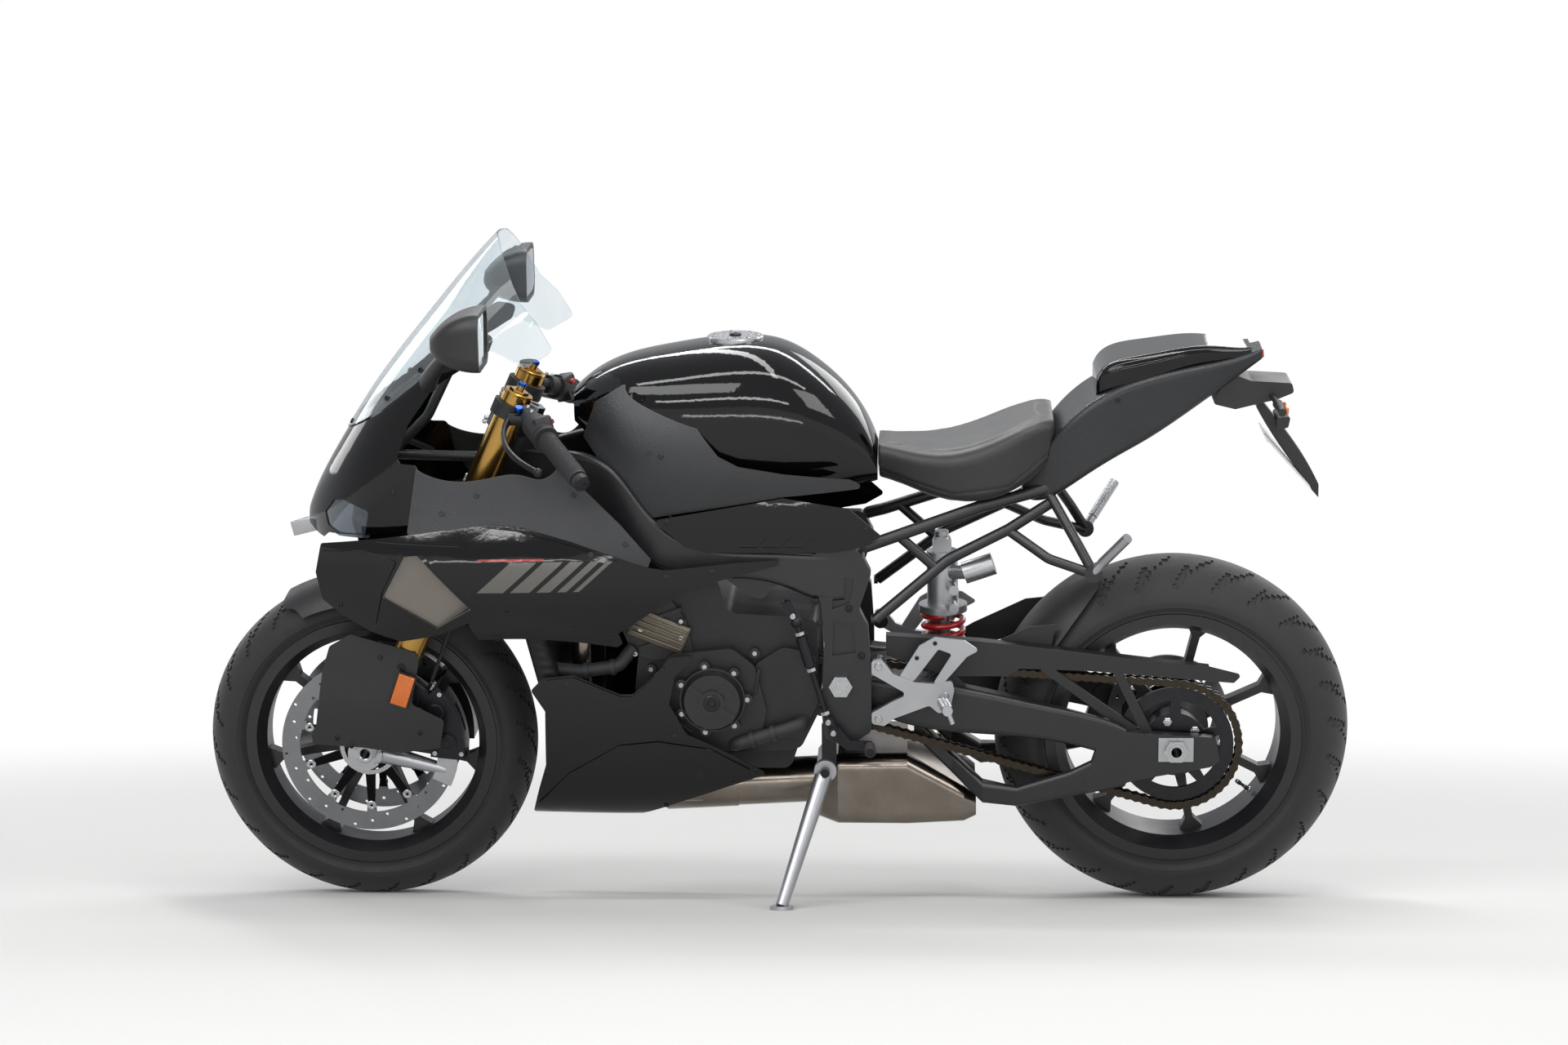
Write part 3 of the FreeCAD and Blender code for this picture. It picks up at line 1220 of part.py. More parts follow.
def build_subframe():
    """Two rails each side from the frame to the tail, with a cross strut and the passenger's peg brackets."""
    rails = []
    for side in (LEFT, RIGHT):
        upper = [(0.176, side * 0.135, 0.690), (0.206, side * 0.128, 0.699), (0.380, side * 0.112, 0.758),
                 (0.520, side * 0.092, 0.792)]
        lower = [(0.194, side * 0.148, 0.560), (0.322, side * 0.120, 0.663), (0.430, side * 0.110, 0.716),
                 (0.512, side * 0.096, 0.766)]
        strut = [(0.235, side * 0.123, 0.708), (0.300, side * 0.123, 0.650)]
        bracket = [(0.432, side * 0.108, 0.712), (0.500, side * 0.150, 0.672), (0.576, side * 0.170, 0.650)]
        stay = [(0.503, side * 0.096, 0.776), (0.550, side * 0.150, 0.700), (0.576, side * 0.170, 0.655)]
        top, low, thin = size("subframe_upper_radius"), size("subframe_lower_radius"), size("peg_radius")
        eye = [(0.176, side * 0.128, 0.690), (0.176, side * 0.1417, 0.690)]
        foot = [(0.194, side * 0.146, 0.560), (0.187, side * 0.146, 0.560)]
        ring = drum(spot(0.578, side * 0.172, 0.652), ACROSS, top * 1.4, top * 1.6)
        rails.append(fuse([pipe(upper, top, 0.06), pipe(lower, low, 0.06), pipe(strut, thin), pipe(bracket, thin, 0.04),
                           pipe(stay, thin, 0.04), pipe(eye, thin), pipe(foot, thin * 0.9), ring]))
    return rails


def build_passenger_pegs(rails):
    """Folding pegs on the ends of the passenger brackets, clear of the tail and the wheel."""
    pegs = []
    for side in (LEFT, RIGHT):
        fold = [(0.578, side * 0.172, 0.652), (0.592, side * 0.182, 0.672), (0.634, side * 0.226, 0.728)]
        pegs.append(fuse([pipe(fold[:2], size("peg_radius") * 0.9), pipe(fold[1:], size("peg_radius"))]))
    whole = compound(rails)
    add("passenger_footrests", compound([peg.cut(whole) for peg in pegs]))


def build_guards():
    """Chain guard with its struts, rear hugger and the silver axle plates."""
    seat = size("seat_gap")
    height, start, length = size("body_height"), size("pivot_x"), ARM_LENGTH
    near = -(size("arm_inner") - seat)
    far = near + size("skin")

    def beside(shares):
        """Points by shares of the swingarm's length and the body's height."""
        return [(start + length * share_x, share_z * height) for share_x, share_z in shares]

    blade = plate(beside([(0.134, 0.527), (0.415, 0.516), (0.660, 0.500), (0.903, 0.482), (1.098, 0.470),
                          (1.197, 0.455), (1.172, 0.440), (0.734, 0.462), (0.535, 0.466), (0.495, 0.452),
                          (0.320, 0.452), (0.134, 0.490)]), near, far, size("edge_radius"))
    top = rail([(0.134, (-0.1307, -0.1045), (0.523, 0.527), 0.0012), (0.415, (-0.1307, -0.1045), (0.512, 0.516), 0.0012),
                (0.660, (-0.1307, -0.1045), (0.496, 0.500), 0.0012), (0.903, (-0.1307, -0.1045), (0.478, 0.482), 0.0012),
                (1.098, (-0.1307, -0.110), (0.466, 0.470), 0.0012)], True, start, length)
    struts = [plate(beside(shares), near, far) for shares in
              ([(0.590, 0.466), (0.625, 0.470), (0.890, 0.356), (0.850, 0.350)],
               [(0.810, 0.462), (0.840, 0.462), (0.935, 0.345), (0.900, 0.345)],
               [(0.300, 0.455), (0.340, 0.455), (0.420, 0.405), (0.370, 0.405)])]
    guard = fuse([blade, top] + struts)
    add("chain_guard", guard)
    wall = size("skin")
    inside = size("rear_tyre_radius") + size("fender_gap")
    half = size("rear_tyre_width") / 2 + size("moving_gap")
    shells = []
    for radius, reach in ((inside + wall, half + wall), (inside, half)):
        drop_share = 0.19
        low = Vector(0, -reach, radius * (1 - drop_share))
        high = Vector(0, reach, radius * (1 - drop_share))
        arc = Part.Arc(low, Vector(0, 0, radius), high).toShape()
        face = Part.Face(Part.Wire([arc, Part.LineSegment(high, low).toShape()]))
        face.rotate(CENTRE, ACROSS, -FULL_TURN / 4)
        shells.append(face.revolve(CENTRE, ACROSS, FULL_TURN / 4))
    shell = shells[0].cut(shells[1])
    shell.translate(REAR_AXLE)
    mask = plate(beside([(0.455, 0.500), (0.475, 0.600), (0.560, 0.650), (0.650, 0.655), (0.780, 0.690),
                         (0.770, 0.600), (0.700, 0.545), (0.640, 0.495), (0.590, 0.470), (0.520, 0.440)]),
                 -size("body_width") / 4, size("body_width") / 4, size("edge_radius"))
    leg_shares = [(0.262, 0.4423), (0.340, 0.4423), (0.520, 0.462), (0.630, 0.500), (0.640, 0.540), (0.560, 0.535),
                  (0.400, 0.490)]
    hugger = [shell.common(mask)]
    room = shells[1]
    room.translate(REAR_AXLE)
    near, far = half + seat, half + wall
    for side in (LEFT, RIGHT):
        hugger.append(plate(beside(leg_shares), side * far, side * near).cut(room))
    add("rear_hugger", fuse(hugger))
    plates = []
    radius = size("rear_axle_radius") + seat
    for side in (LEFT, RIGHT):
        middle = REAR_AXLE + ACROSS * side * (size("arm_outer") + seat)
        base = middle - Vector(size("adjuster_length") / 2, 0, size("adjuster_height") / 2)
        block = Part.makeBox(size("adjuster_length"), wall, size("adjuster_height"), base - ACROSS * (0 if side > 0 else wall))
        plates.append(block.cut(drum(middle, ACROSS, radius, wall * 4)))
    add("axle_plates", compound(plates))


sizes([
    ("stand_pivot_x", 104, "side stand's hinge"),
    ("stand_pivot_y", 150, "side stand's hinge"),
    ("stand_pivot_z", 282, "side stand's hinge"),
    ("stand_foot_x", 29, "side stand's foot"),
    ("stand_foot_y", 280, "side stand's foot"),
    ("stand_top_radius", 16, "of the leg at the hinge"),
    ("stand_low_radius", 11, "of the leg at the foot"),
    ("stand_foot_radius", 21, "of the foot's pad"),
    ("stand_foot_thickness", 7, "of the foot's pad"),
    ("stand_eye_radius", 20, "of the leg's eye"),
    ("stand_eye_depth", 14, "of the leg's eye"),
    ("stand_pin_radius", 8, "of the hinge pin"),
    ("stand_pin_length", 40, "of the hinge pin"),
    ("stand_lug_radius", 16, "of the bracket's eye"),
    ("stand_lug_depth", 17, "of the bracket's eye"),
    ("stand_lug_height", 74, "of the bracket up to the pivot plate"),
    ("stand_lug_width", 26, "of the bracket"),
    ("stand_clearance", 0.1, "round the hinge pin"),
])


def build_stand():
    """The folding side stand and the bracket that holds its pin."""
    pivot = Vector(size("stand_pivot_x"), -size("stand_pivot_y"), size("stand_pivot_z"))
    foot_z = size("stand_foot_y") * math.tan(LEAN)
    thick = size("stand_foot_thickness")
    foot = Vector(size("stand_foot_x"), -size("stand_foot_y"), foot_z + thick)
    ground_up = Vector(0, math.sin(LEAN), math.cos(LEAN))
    shoe = Part.makeCylinder(size("stand_foot_radius"), thick,
                             Vector(size("stand_foot_x"), -size("stand_foot_y"), foot_z), ground_up)
    start_share = 0.05
    leg = taper([(pivot + (foot - pivot) * start_share, size("stand_top_radius")),
                 (foot, size("stand_low_radius"))])
    eye = drum(pivot, ACROSS, size("stand_eye_radius"), size("stand_eye_depth"))
    peg_spot_share = 0.22
    peg_start = pivot + (foot - pivot) * peg_spot_share
    peg = taper([(peg_start, size("stand_low_radius") / 2), (peg_start + Vector(-thick * 4, 0, -thick), thick / 2)])
    stand = fuse([leg, shoe, eye, peg])
    stand = stand.cut(drum(pivot, ACROSS, size("stand_pin_radius") + size("stand_clearance"), size("body_width")))
    add("side_stand", stand)
    depth = size("stand_lug_depth")
    near = pivot.y + size("stand_eye_depth") / 2 + 1
    lug_foot = Vector(pivot.x - size("stand_lug_width") / 4, near, pivot.z + thick)
    lug = fuse([drum(Vector(pivot.x, near + depth / 2, pivot.z), ACROSS, size("stand_lug_radius"), depth),
                Part.makeBox(size("stand_lug_width"), depth, size("stand_lug_height"), lug_foot),
                drum(pivot, ACROSS, size("stand_pin_radius"), size("stand_pin_length"))])
    add("stand_bracket", lug)


def build_footrests():
    """Forged heel plates with their pegs, and the shift and brake levers."""
    seat = size("seat_gap") / size("body_width")
    near_share, far_share = 0.170 + seat, 0.182
    rests, linkage = [], []
    for side in (LEFT, RIGHT):
        bracket = slab([(0.188, 0.494), (0.206, 0.496), (0.226, 0.470), (0.262, 0.455), (0.300, 0.452), (0.330, 0.458),
                        (0.334, 0.440), (0.326, 0.402), (0.306, 0.398), (0.290, 0.412), (0.228, 0.388), (0.210, 0.374),
                        (0.188, 0.378), (0.188, 0.398), (0.226, 0.420), (0.252, 0.432), (0.212, 0.456), (0.188, 0.470)],
                       (side * near_share, side * far_share), 0.006 * size("body_length"))
        guard = slab([(0.236, 0.462), (0.272, 0.520), (0.300, 0.536), (0.352, 0.530), (0.378, 0.512), (0.356, 0.500),
                      (0.312, 0.448), (0.296, 0.450), (0.330, 0.505), (0.306, 0.514), (0.262, 0.455)],
                     (side * 0.172, side * 0.177), 0.004 * size("body_length"))
        peg = pipe([(0.312, side * 0.176, 0.418), (0.322, side * 0.252, 0.422)], size("peg_radius"))
        tip = pipe([(0.322, side * 0.246, 0.422), (0.331, side * 0.248, 0.398)], size("peg_radius") / 2)
        rests.append(fuse([bracket, guard, peg, tip]))
    add("footrests", compound(rests))
    side = LEFT
    rod_radius = size("peg_radius") * 0.55
    boss = pipe([(0.120, side * (0.170 + seat), 0.366), (0.120, side * 0.200, 0.366)], size("peg_radius"))
    lever = slab([(0.112, 0.374), (0.128, 0.376), (0.150, 0.350), (0.190, 0.348), (0.190, 0.334), (0.144, 0.334),
                  (0.114, 0.356)], (side * 0.188, side * 0.196), 0.004 * size("body_length"))
    toe = pipe([(0.184, side * 0.190, 0.341), (0.186, side * 0.238, 0.341)], size("peg_radius") * 0.8)
    horn = slab([(0.112, 0.370), (0.128, 0.366), (0.118, 0.392), (0.104, 0.392)], (side * 0.188, side * 0.196))
    rod = pipe([(0.110, side * 0.192, 0.388), (0.058, side * 0.188, 0.560)], rod_radius)
    sensor = pipe([(0.0797, side * 0.190, 0.488), (0.0640, side * 0.1885, 0.540)], rod_radius * 2.1)
    joint = ball((0.056, side * 0.188, 0.566), rod_radius * 2)
    arm = slab([(0.050, 0.560), (0.066, 0.566), (0.046, 0.606), (0.028, 0.600)], (side * 0.184, side * 0.192))
    shaft = pipe([(0.038, side * 0.192, 0.592), (0.038, side * (0.158 + seat), 0.592)], rod_radius * 1.6)
    linkage.append(fuse([boss, lever, toe, horn, rod, sensor, joint, arm, shaft]))
    side = RIGHT
    boss = pipe([(0.130, side * (0.170 + seat), 0.362), (0.130, side * 0.198, 0.362)], size("peg_radius"))
    pedal = slab([(0.120, 0.370), (0.140, 0.370), (0.144, 0.352), (0.100, 0.322), (0.034, 0.320), (0.034, 0.334),
                  (0.092, 0.336), (0.118, 0.356)], (side * 0.186, side * 0.196), 0.004 * size("body_length"))
    toe = pipe([(0.042, side * 0.190, 0.327), (0.042, side * 0.236, 0.327)], size("peg_radius") * 0.8)
    linkage.append(fuse([boss, pedal, toe]))
    add("foot_levers", compound(linkage))


# Engine with its open sides, sprocket, exhaust, radiator and shock

sizes([
    ("engine_half_width", 141, "of the block from the centre"),
    ("case_half_width", 168, "of the crankcase from the centre"),
    ("engine_corner", 20, "radius of the block's corners"),
    ("corridor_grow", 20, "room round the chain"),
    ("corridor_near", 95, "room beside the chain from the centre"),
    ("corridor_width", 42, "room across the chain"),
    ("generator_radius", 58, "of the left cover"),
    ("generator_depth", 24, "of the left cover's skirt"),
    ("generator_face_radius", 49, "of its raised face"),
    ("generator_face_depth", 14, "of its raised face"),
    ("generator_boss_radius", 22, "of its middle disc"),
    ("generator_boss_depth", 6, "of its middle disc"),
    ("cover_rib", 7, "width of a rib"),
    ("cover_ear_radius", 9, "of each bolt ear round a cover"),
    ("clutch_radius", 84, "of the right cover"),
    ("clutch_depth", 34, "of the right cover's skirt"),
    ("clutch_face_radius", 60, "of its raised face"),
    ("clutch_face_depth", 12, "of its raised face"),
    ("cylinder_fin", 5, "of a rib on the cylinders"),
    ("coolant_radius", 12, "of the coolant hoses"),
    ("clamp_radius", 14.5, "of a hose clamp"),
    ("clamp_length", 8, "of a hose clamp"),
    ("header_radius", 22, "of an exhaust header"),
    ("collector_radius", 42, "of the collector"),
    ("silencer_corner", 26, "radius of the silencer's edges"),
    ("exhaust_wall", 2.5, "of the outlet"),
    ("outlet_radius", 34, "of the outlet"),
    ("radiator_width", 340, "of the core"),
    ("radiator_height", 250, "of the core"),
    ("radiator_depth", 34, "of the core"),
    ("radiator_tilt", 14, "forward from upright"),
    ("shock_radius", 28, "of the shock's body"),
    ("spring_radius", 36, "of the spring's coils"),
    ("spring_wire", 5.5, "radius of the spring's wire"),
    ("spring_pitch", 19, "from coil to coil"),
    ("spring_height", 66, "of the spring"),
    ("reservoir_can_radius", 20, "of the shock's gas can"),
    ("knob_radius", 9, "of an adjuster knob"),
])

GENERATOR_SHARE = (-0.094, 0, 0.424)
CLUTCH_SHARE = (-0.062, 0, 0.428)


def round_cover(side, middle, face, skirt_radius, skirt_depth, face_radius, face_depth, ears):
    """A stepped round cover with bolt ears on a face of the engine."""
    start = middle + ACROSS * side * face
    pieces = [Part.makeCylinder(skirt_radius, skirt_depth, start, ACROSS * side)]
    cone = Part.makeCone(face_radius + size("cover_rib"), face_radius, face_depth,
                         start + ACROSS * side * skirt_depth, ACROSS * side)
    pieces.append(cone)
    for number in range(ears):
        place = start + round_wheel(CENTRE, skirt_radius + size("cover_rib") / 2, FULL_TURN * number / ears)
        pieces.append(Part.makeCylinder(size("cover_ear_radius"), skirt_depth - size("cover_rib"), place, ACROSS * side))
    return fuse(pieces)


def build_engine():
    """Block, crankcase, cylinder head and sump in one mass, with ribs and bosses on the open left side."""
    half, case_half = size("engine_half_width"), size("case_half_width")
    wide = half / size("body_width")
    case_wide = case_half / size("body_width")
    corner = size("engine_corner")
    block = slab([(-0.215, 0.330), (-0.235, 0.430), (-0.225, 0.520), (-0.300, 0.620), (-0.290, 0.700), (-0.165, 0.735),
                  (-0.105, 0.690), (-0.066, 0.570), (0.092, 0.560), (0.094, 0.390), (0.060, 0.320), (-0.150, 0.305)],
                 (-wide, wide), corner)
    case = slab([(-0.185, 0.345), (-0.200, 0.430), (-0.175, 0.500), (-0.060, 0.512), (-0.020, 0.480), (0.000, 0.400),
                 (-0.010, 0.345), (-0.080, 0.318)], (-case_wide, case_wide), corner)
    shelf = slab([(-0.010, 0.345), (-0.020, 0.480), (0.030, 0.512), (0.088, 0.500), (0.092, 0.410), (0.060, 0.345)],
                 (-0.158, 0.158), corner)
    sump = slab([(-0.150, 0.330), (0.060, 0.330), (0.040, 0.268), (-0.120, 0.268)], (-0.090, 0.090), corner)
    head = slab([(-0.266, 0.566), (-0.170, 0.600), (-0.142, 0.560), (-0.130, 0.500), (-0.200, 0.486), (-0.238, 0.500)],
                (-0.150, 0.150), corner / 2)
    pieces = [block, case, shelf, sump, head]
    rib = size("cylinder_fin")
    for share_x, share_z, far_x, far_z in ((-0.226, 0.505, -0.140, 0.535), (-0.236, 0.524, -0.142, 0.556),
                                           (-0.246, 0.544, -0.150, 0.578)):
        bar = plate(outline([(share_x, share_z), (far_x, far_z), (far_x, far_z + 0.006), (share_x, share_z + 0.006)]),
                    -(half + rib * 3), half + rib * 3)
        pieces.append(bar)
    for share_x, share_z in ((-0.205, 0.470), (-0.190, 0.365), (-0.030, 0.350), (0.060, 0.470), (0.070, 0.390),
                             (-0.020, 0.500), (0.020, 0.360)):
        for side in (LEFT, RIGHT):
            boss = Part.makeCylinder(size("cover_ear_radius"), rib * 3, spot(share_x, side * (wide - 0.002), share_z),
                                     ACROSS * side)
            pieces.append(boss)
    engine = fuse(pieces)
    corridor = Part.Face(chain_path(size("corridor_grow"))).extrude(-ACROSS * size("corridor_width"))
    corridor.translate(ACROSS * (size("chain_line") - size("corridor_near")))
    add("engine_block", engine.cut(corridor))
    left, right = spot(*GENERATOR_SHARE), spot(*CLUTCH_SHARE)
    seat = size("seat_gap")
    cover = round_cover(LEFT, left, case_half + seat, size("generator_radius"), size("generator_depth"),
                        size("generator_face_radius"), size("generator_face_depth"), 7)
    top = case_half + seat + size("generator_depth") + size("generator_face_depth")
    middle = Part.makeCylinder(size("generator_boss_radius"), size("generator_boss_depth"),
                               left - ACROSS * top, ACROSS * LEFT)
    ribs = []
    rib_width = size("cover_rib")
    for turn_share in (0.10, 0.35, 0.60, 0.85):
        bar = Part.makeBox(size("generator_face_radius"), rib_width / 2, rib_width,
                           left - ACROSS * (top + rib_width / 3) - UP * rib_width / 2)
        bar.rotate(left, ACROSS, FULL_TURN * turn_share)
        ribs.append(bar)
    other = round_cover(RIGHT, right, case_half + seat, size("clutch_radius"), size("clutch_depth"),
                        size("clutch_face_radius"), size("clutch_face_depth"), 9)
    left_cover = fuse([cover, middle] + ribs)
    clear = Part.makeBox(size("body_length"), size("case_half_width") * 2, size("body_height"),
                         Vector(-size("body_length") / 2, -size("case_half_width"), 0))
    add("engine_covers", compound([left_cover.cut(clear), other.cut(clear)]))
    front = drum(Vector(size("front_sprocket_x"), -size("chain_line"), size("front_sprocket_z")), ACROSS,
                 size("front_sprocket_radius") - size("sprocket_clearance"), size("sprocket_thickness"))
    return front


def build_coolant():
    """Coolant hoses of the left side, each with its two clamps."""
    radius = size("coolant_radius")
    hoses = []
    for route, clamp_shares in (
            ([(-0.060, -0.150, 0.330), (-0.054, -0.176, 0.338), (0.030, -0.176, 0.364), (0.062, -0.172, 0.374),
              (0.066, -0.1583, 0.376)], (0.35, 0.8)),
            ([(-0.402, -0.142, 0.470), (-0.330, -0.160, 0.468), (-0.262, -0.162, 0.478), (-0.236, -0.1503, 0.510)],
             (0.15, 0.85))):
        line = pipe(route, radius, 0.03)
        pieces = [line]
        start, end = spot(*route[1]), spot(*route[-3] if len(route) > 4 else route[-2])
        way = end - start
        for share in clamp_shares:
            pieces.append(drum(start + way * share, way, size("clamp_radius"), size("clamp_length")))
        hoses.append(fuse(pieces))
    return hoses


def build_exhaust():
    """Four headers into a collector, the flat silencer under the bike and its short outlet on the right."""
    header, collector = size("header_radius"), size("collector_radius")
    pieces = []
    for share_y in (-0.096, -0.034, 0.034, 0.096):
        pull_share = 0.42
        route = [(-0.2853, share_y, 0.585), (-0.330, share_y, 0.560), (-0.330, share_y, 0.300),
                 (-0.255, share_y * pull_share * 1.3, 0.214), (-0.125, share_y * pull_share, 0.212)]
        pieces.append(pipe(route, header, 0.07))
    pieces.append(taper([(spot(-0.190, 0, 0.212), collector * 1.18), (spot(-0.060, 0, 0.212), collector * 1.03)]))
    pieces.append(pipe([(-0.074, 0, 0.212), (0.120, 0, 0.222)], collector))
    box = rail([(0.085, (-0.075, 0.075), (0.168, 0.262), 0.024), (0.125, (-0.118, 0.128), (0.166, 0.296), 0.026),
                (0.250, (-0.120, 0.132), (0.166, 0.298), 0.026), (0.352, (-0.112, 0.126), (0.170, 0.236), 0.022),
                (0.374, (-0.104, 0.118), (0.180, 0.218), 0.016)], True)
    pieces.append(box)
    outlet = pipe([(0.190, 0.100, 0.215), (0.262, 0.170, 0.225), (0.345, 0.188, 0.240)], size("outlet_radius"), 0.04)
    pieces.append(outlet)
    pieces.append(slab([(0.106, 0.286), (0.106, 0.3907), (0.126, 0.3907), (0.140, 0.286)], (0.044, 0.052)))
    whole = fuse(pieces)
    bore = pipe([(0.295, 0.17716, 0.23096), (0.355, 0.19017, 0.24181)], size("outlet_radius") - size("exhaust_wall"))
    add("exhaust", whole.cut(bore))


def build_radiator():
    """The radiator with its end tanks and the stays that hold it on the engine."""
    width, height, depth = size("radiator_width"), size("radiator_height"), size("radiator_depth")
    core = Part.makeBox(depth, width, height)
    core.translate(Vector(0, -width / 2, 0))
    tanks = []
    for side in (LEFT, RIGHT):
        tanks.append(Part.makeCylinder(depth * 0.62, height, Vector(depth / 2, side * (width / 2 - depth * 0.3), 0), UP))
    whole = fuse([core] + tanks)
    whole.rotate(CENTRE, ACROSS, -size("radiator_tilt"))
    whole.translate(spot(-0.396, 0, 0.420))
    stays = [pipe([(-0.430, side * 0.100, 0.660), (-0.2953, side * 0.100, 0.660)], size("peg_radius")) for side in SIGNS]
    add("radiator", fuse([whole] + stays))


SIGNS = (LEFT, RIGHT)


def build_shock():
    """The rear shock: body, gas can and knobs, and its red spring as a real coil."""
    foot, top = spot(0.3165, 0, 0.4423), spot(0.3120, 0, 0.688)
    way = (top - foot).normalize()
    spring_foot = foot + way * size("spring_radius") * 0.9
    height = size("spring_height")
    radius = size("shock_radius")
    rod = tube([foot, top], radius * 0.45)
    cup = drum(spring_foot - way * size("spring_wire"), way, size("spring_radius") + size("spring_wire"),
               size("spring_wire") * 2)
    body_foot = spring_foot + way * height
    body = tube([body_foot, top - way * radius * 1.3], radius)
    collar = drum(body_foot + way * size("spring_wire"), way, size("spring_radius") + size("spring_wire") * 1.4,
                  size("spring_wire") * 2.4)
    eye = drum(top - way * radius * 0.9, ACROSS, radius * 0.62, radius * 1.5)
    foot_eye = drum(foot + way * radius * 0.66, ACROSS, radius * 0.62, radius * 1.4)
    can = pipe([(0.352, -0.030, 0.616), (0.405, -0.030, 0.634)], size("reservoir_can_radius"))
    neck = pipe([(0.320, -0.010, 0.612), (0.356, -0.030, 0.618)], size("knob_radius") * 1.4)
    knobs = [pipe([(0.330, -0.020, share_z), (0.334, -0.056, share_z)], size("knob_radius")) for share_z in
             (0.556, 0.590)]
    shock = fuse([rod, cup, body, collar, eye, foot_eye, can, neck] + knobs)
    add("shock_absorber", shock)
    gap = size("spring_wire") * 2 + size("seat_gap")
    helix = Part.makeLongHelix(size("spring_pitch"), height - gap * 1.2, size("spring_radius"))
    ring = Part.Wire(Part.Circle(Vector(size("spring_radius"), 0, 0), ACROSS, size("spring_wire")).toShape())
    coil = Part.Wire(helix.Edges).makePipeShell([ring], True, True)
    coil.Placement = Placement(spring_foot + way * (size("spring_wire") * 1.6), Rotation(UP, way))
    add("shock_spring", coil.cut(shock))


# Tank, seats and tail

sizes([
    ("seam", 0.5, "between tank and covers"),
    ("cover_wall", 3.5, "of the tank side covers"),
    ("fuel_cap_radius", 50, "of the filler cap"),
    ("fuel_cap_height", 9, "of the filler cap"),
    ("plate_thickness", 3, "of the licence plate"),
    ("plate_width", 180, "of the licence plate"),
    ("plate_height", 122, "of the licence plate"),
    ("plate_lean", 41, "of the licence plate from upright"),
])

TANK_SIDE_SHARES = [(0.84, 0.0), (0.97, 0.20), (1.0, 0.46), (0.93, 0.70), (0.74, 0.88), (0.40, 0.98), (0.0, 1.0)]
TANK_SHARES = [(-0.342, 0.056, 0.900, 0.955), (-0.306, 0.086, 0.872, 0.984), (-0.256, 0.116, 0.842, 1.008),
               (-0.173, 0.144, 0.812, 1.027), (-0.056, 0.156, 0.800, 1.042), (0.031, 0.150, 0.798, 1.032),
               (0.096, 0.132, 0.796, 0.994), (0.150, 0.106, 0.794, 0.942), (0.182, 0.088, 0.794, 0.892),
               (0.198, 0.078, 0.796, 0.850)]


def tank_form(grow=0):
    """The tank's outer form, moved outwards by grow."""
    length, width, height = size("body_length"), size("body_width"), size("body_height")
    return Part.makeLoft([bow_section(share_x * length, half * width + grow, low * height - grow, top * height + grow,
                                      TANK_SIDE_SHARES) for share_x, half, low, top in TANK_SHARES], True)


def body_stations(rows, inward=0, drop=0):
    """Stations of x, half width, low and high from shares of the body, moved inwards and down."""
    length, width, height = size("body_length"), size("body_width"), size("body_height")
    return [(share_x * length, half * width - inward, low * height, high * height - drop)
            for share_x, half, low, high in rows]


def build_tank():
    """Fuel tank on its air box, its filler cap and the satin side covers."""
    tank = tank_form()
    box = slab([(-0.185, 0.7335), (-0.185, 0.850), (0.060, 0.850), (0.060, 0.7335)], (-0.118, 0.118), 0.010)
    whole = fuse([tank, box])
    rim_height = 0.012
    top = spot(-0.056, 0, 1.042)
    dish = Part.makeCylinder(size("fuel_cap_radius") + size("seam"), size("fuel_cap_height") * 2,
                             top - UP * rim_height * size("body_height") * 0.4, UP)
    whole = whole.cut(dish)
    add("fuel_tank", whole)
    cap = Part.makeCylinder(size("fuel_cap_radius"), size("fuel_cap_height"),
                            top - UP * rim_height * size("body_height") * 0.4, UP)
    cap = cap.makeChamfer(size("seam") * 3, [cap.Edges[0]])
    add("fuel_cap", cap)
    skin = side_skin(body_stations([(-0.335, 0.096, 0.745, 0.985), (-0.300, 0.128, 0.745, 0.990),
                                    (-0.250, 0.154, 0.745, 0.992), (-0.180, 0.168, 0.745, 0.992),
                                    (-0.080, 0.172, 0.745, 0.985), (0.036, 0.170, 0.745, 0.980),
                                    (0.150, 0.156, 0.745, 0.960), (0.200, 0.140, 0.745, 0.930)]),
                     [(0.985, 0.0), (1.0, 0.22), (0.98, 0.45), (0.90, 0.66), (0.76, 0.84), (0.60, 1.0)],
                     size("cover_wall"))
    edge = slab([(-0.322, 0.884), (-0.300, 0.945), (-0.250, 0.976), (-0.186, 0.981), (-0.152, 0.960), (-0.108, 0.895),
                 (-0.080, 0.860), (-0.045, 0.842), (0.036, 0.828), (0.150, 0.816), (0.179, 0.800), (0.036, 0.788),
                 (-0.195, 0.750), (-0.255, 0.802)], (-0.3, -0.02), 0.006 * size("body_length"))
    posts = [pipe([(share_x, -0.110, share_z), (share_x, -share_y, share_z)], size("peg_radius"))
             for share_x, share_y, share_z in ((-0.200, 0.162, 0.860), (0.020, 0.166, 0.812))]
    cover = fuse([skin.common(edge)] + posts).cut(tank_form(size("seam")))
    cover = max(cover.Solids, key=lambda solid: solid.Volume)
    add("tank_covers", compound(both_sides(cover)))


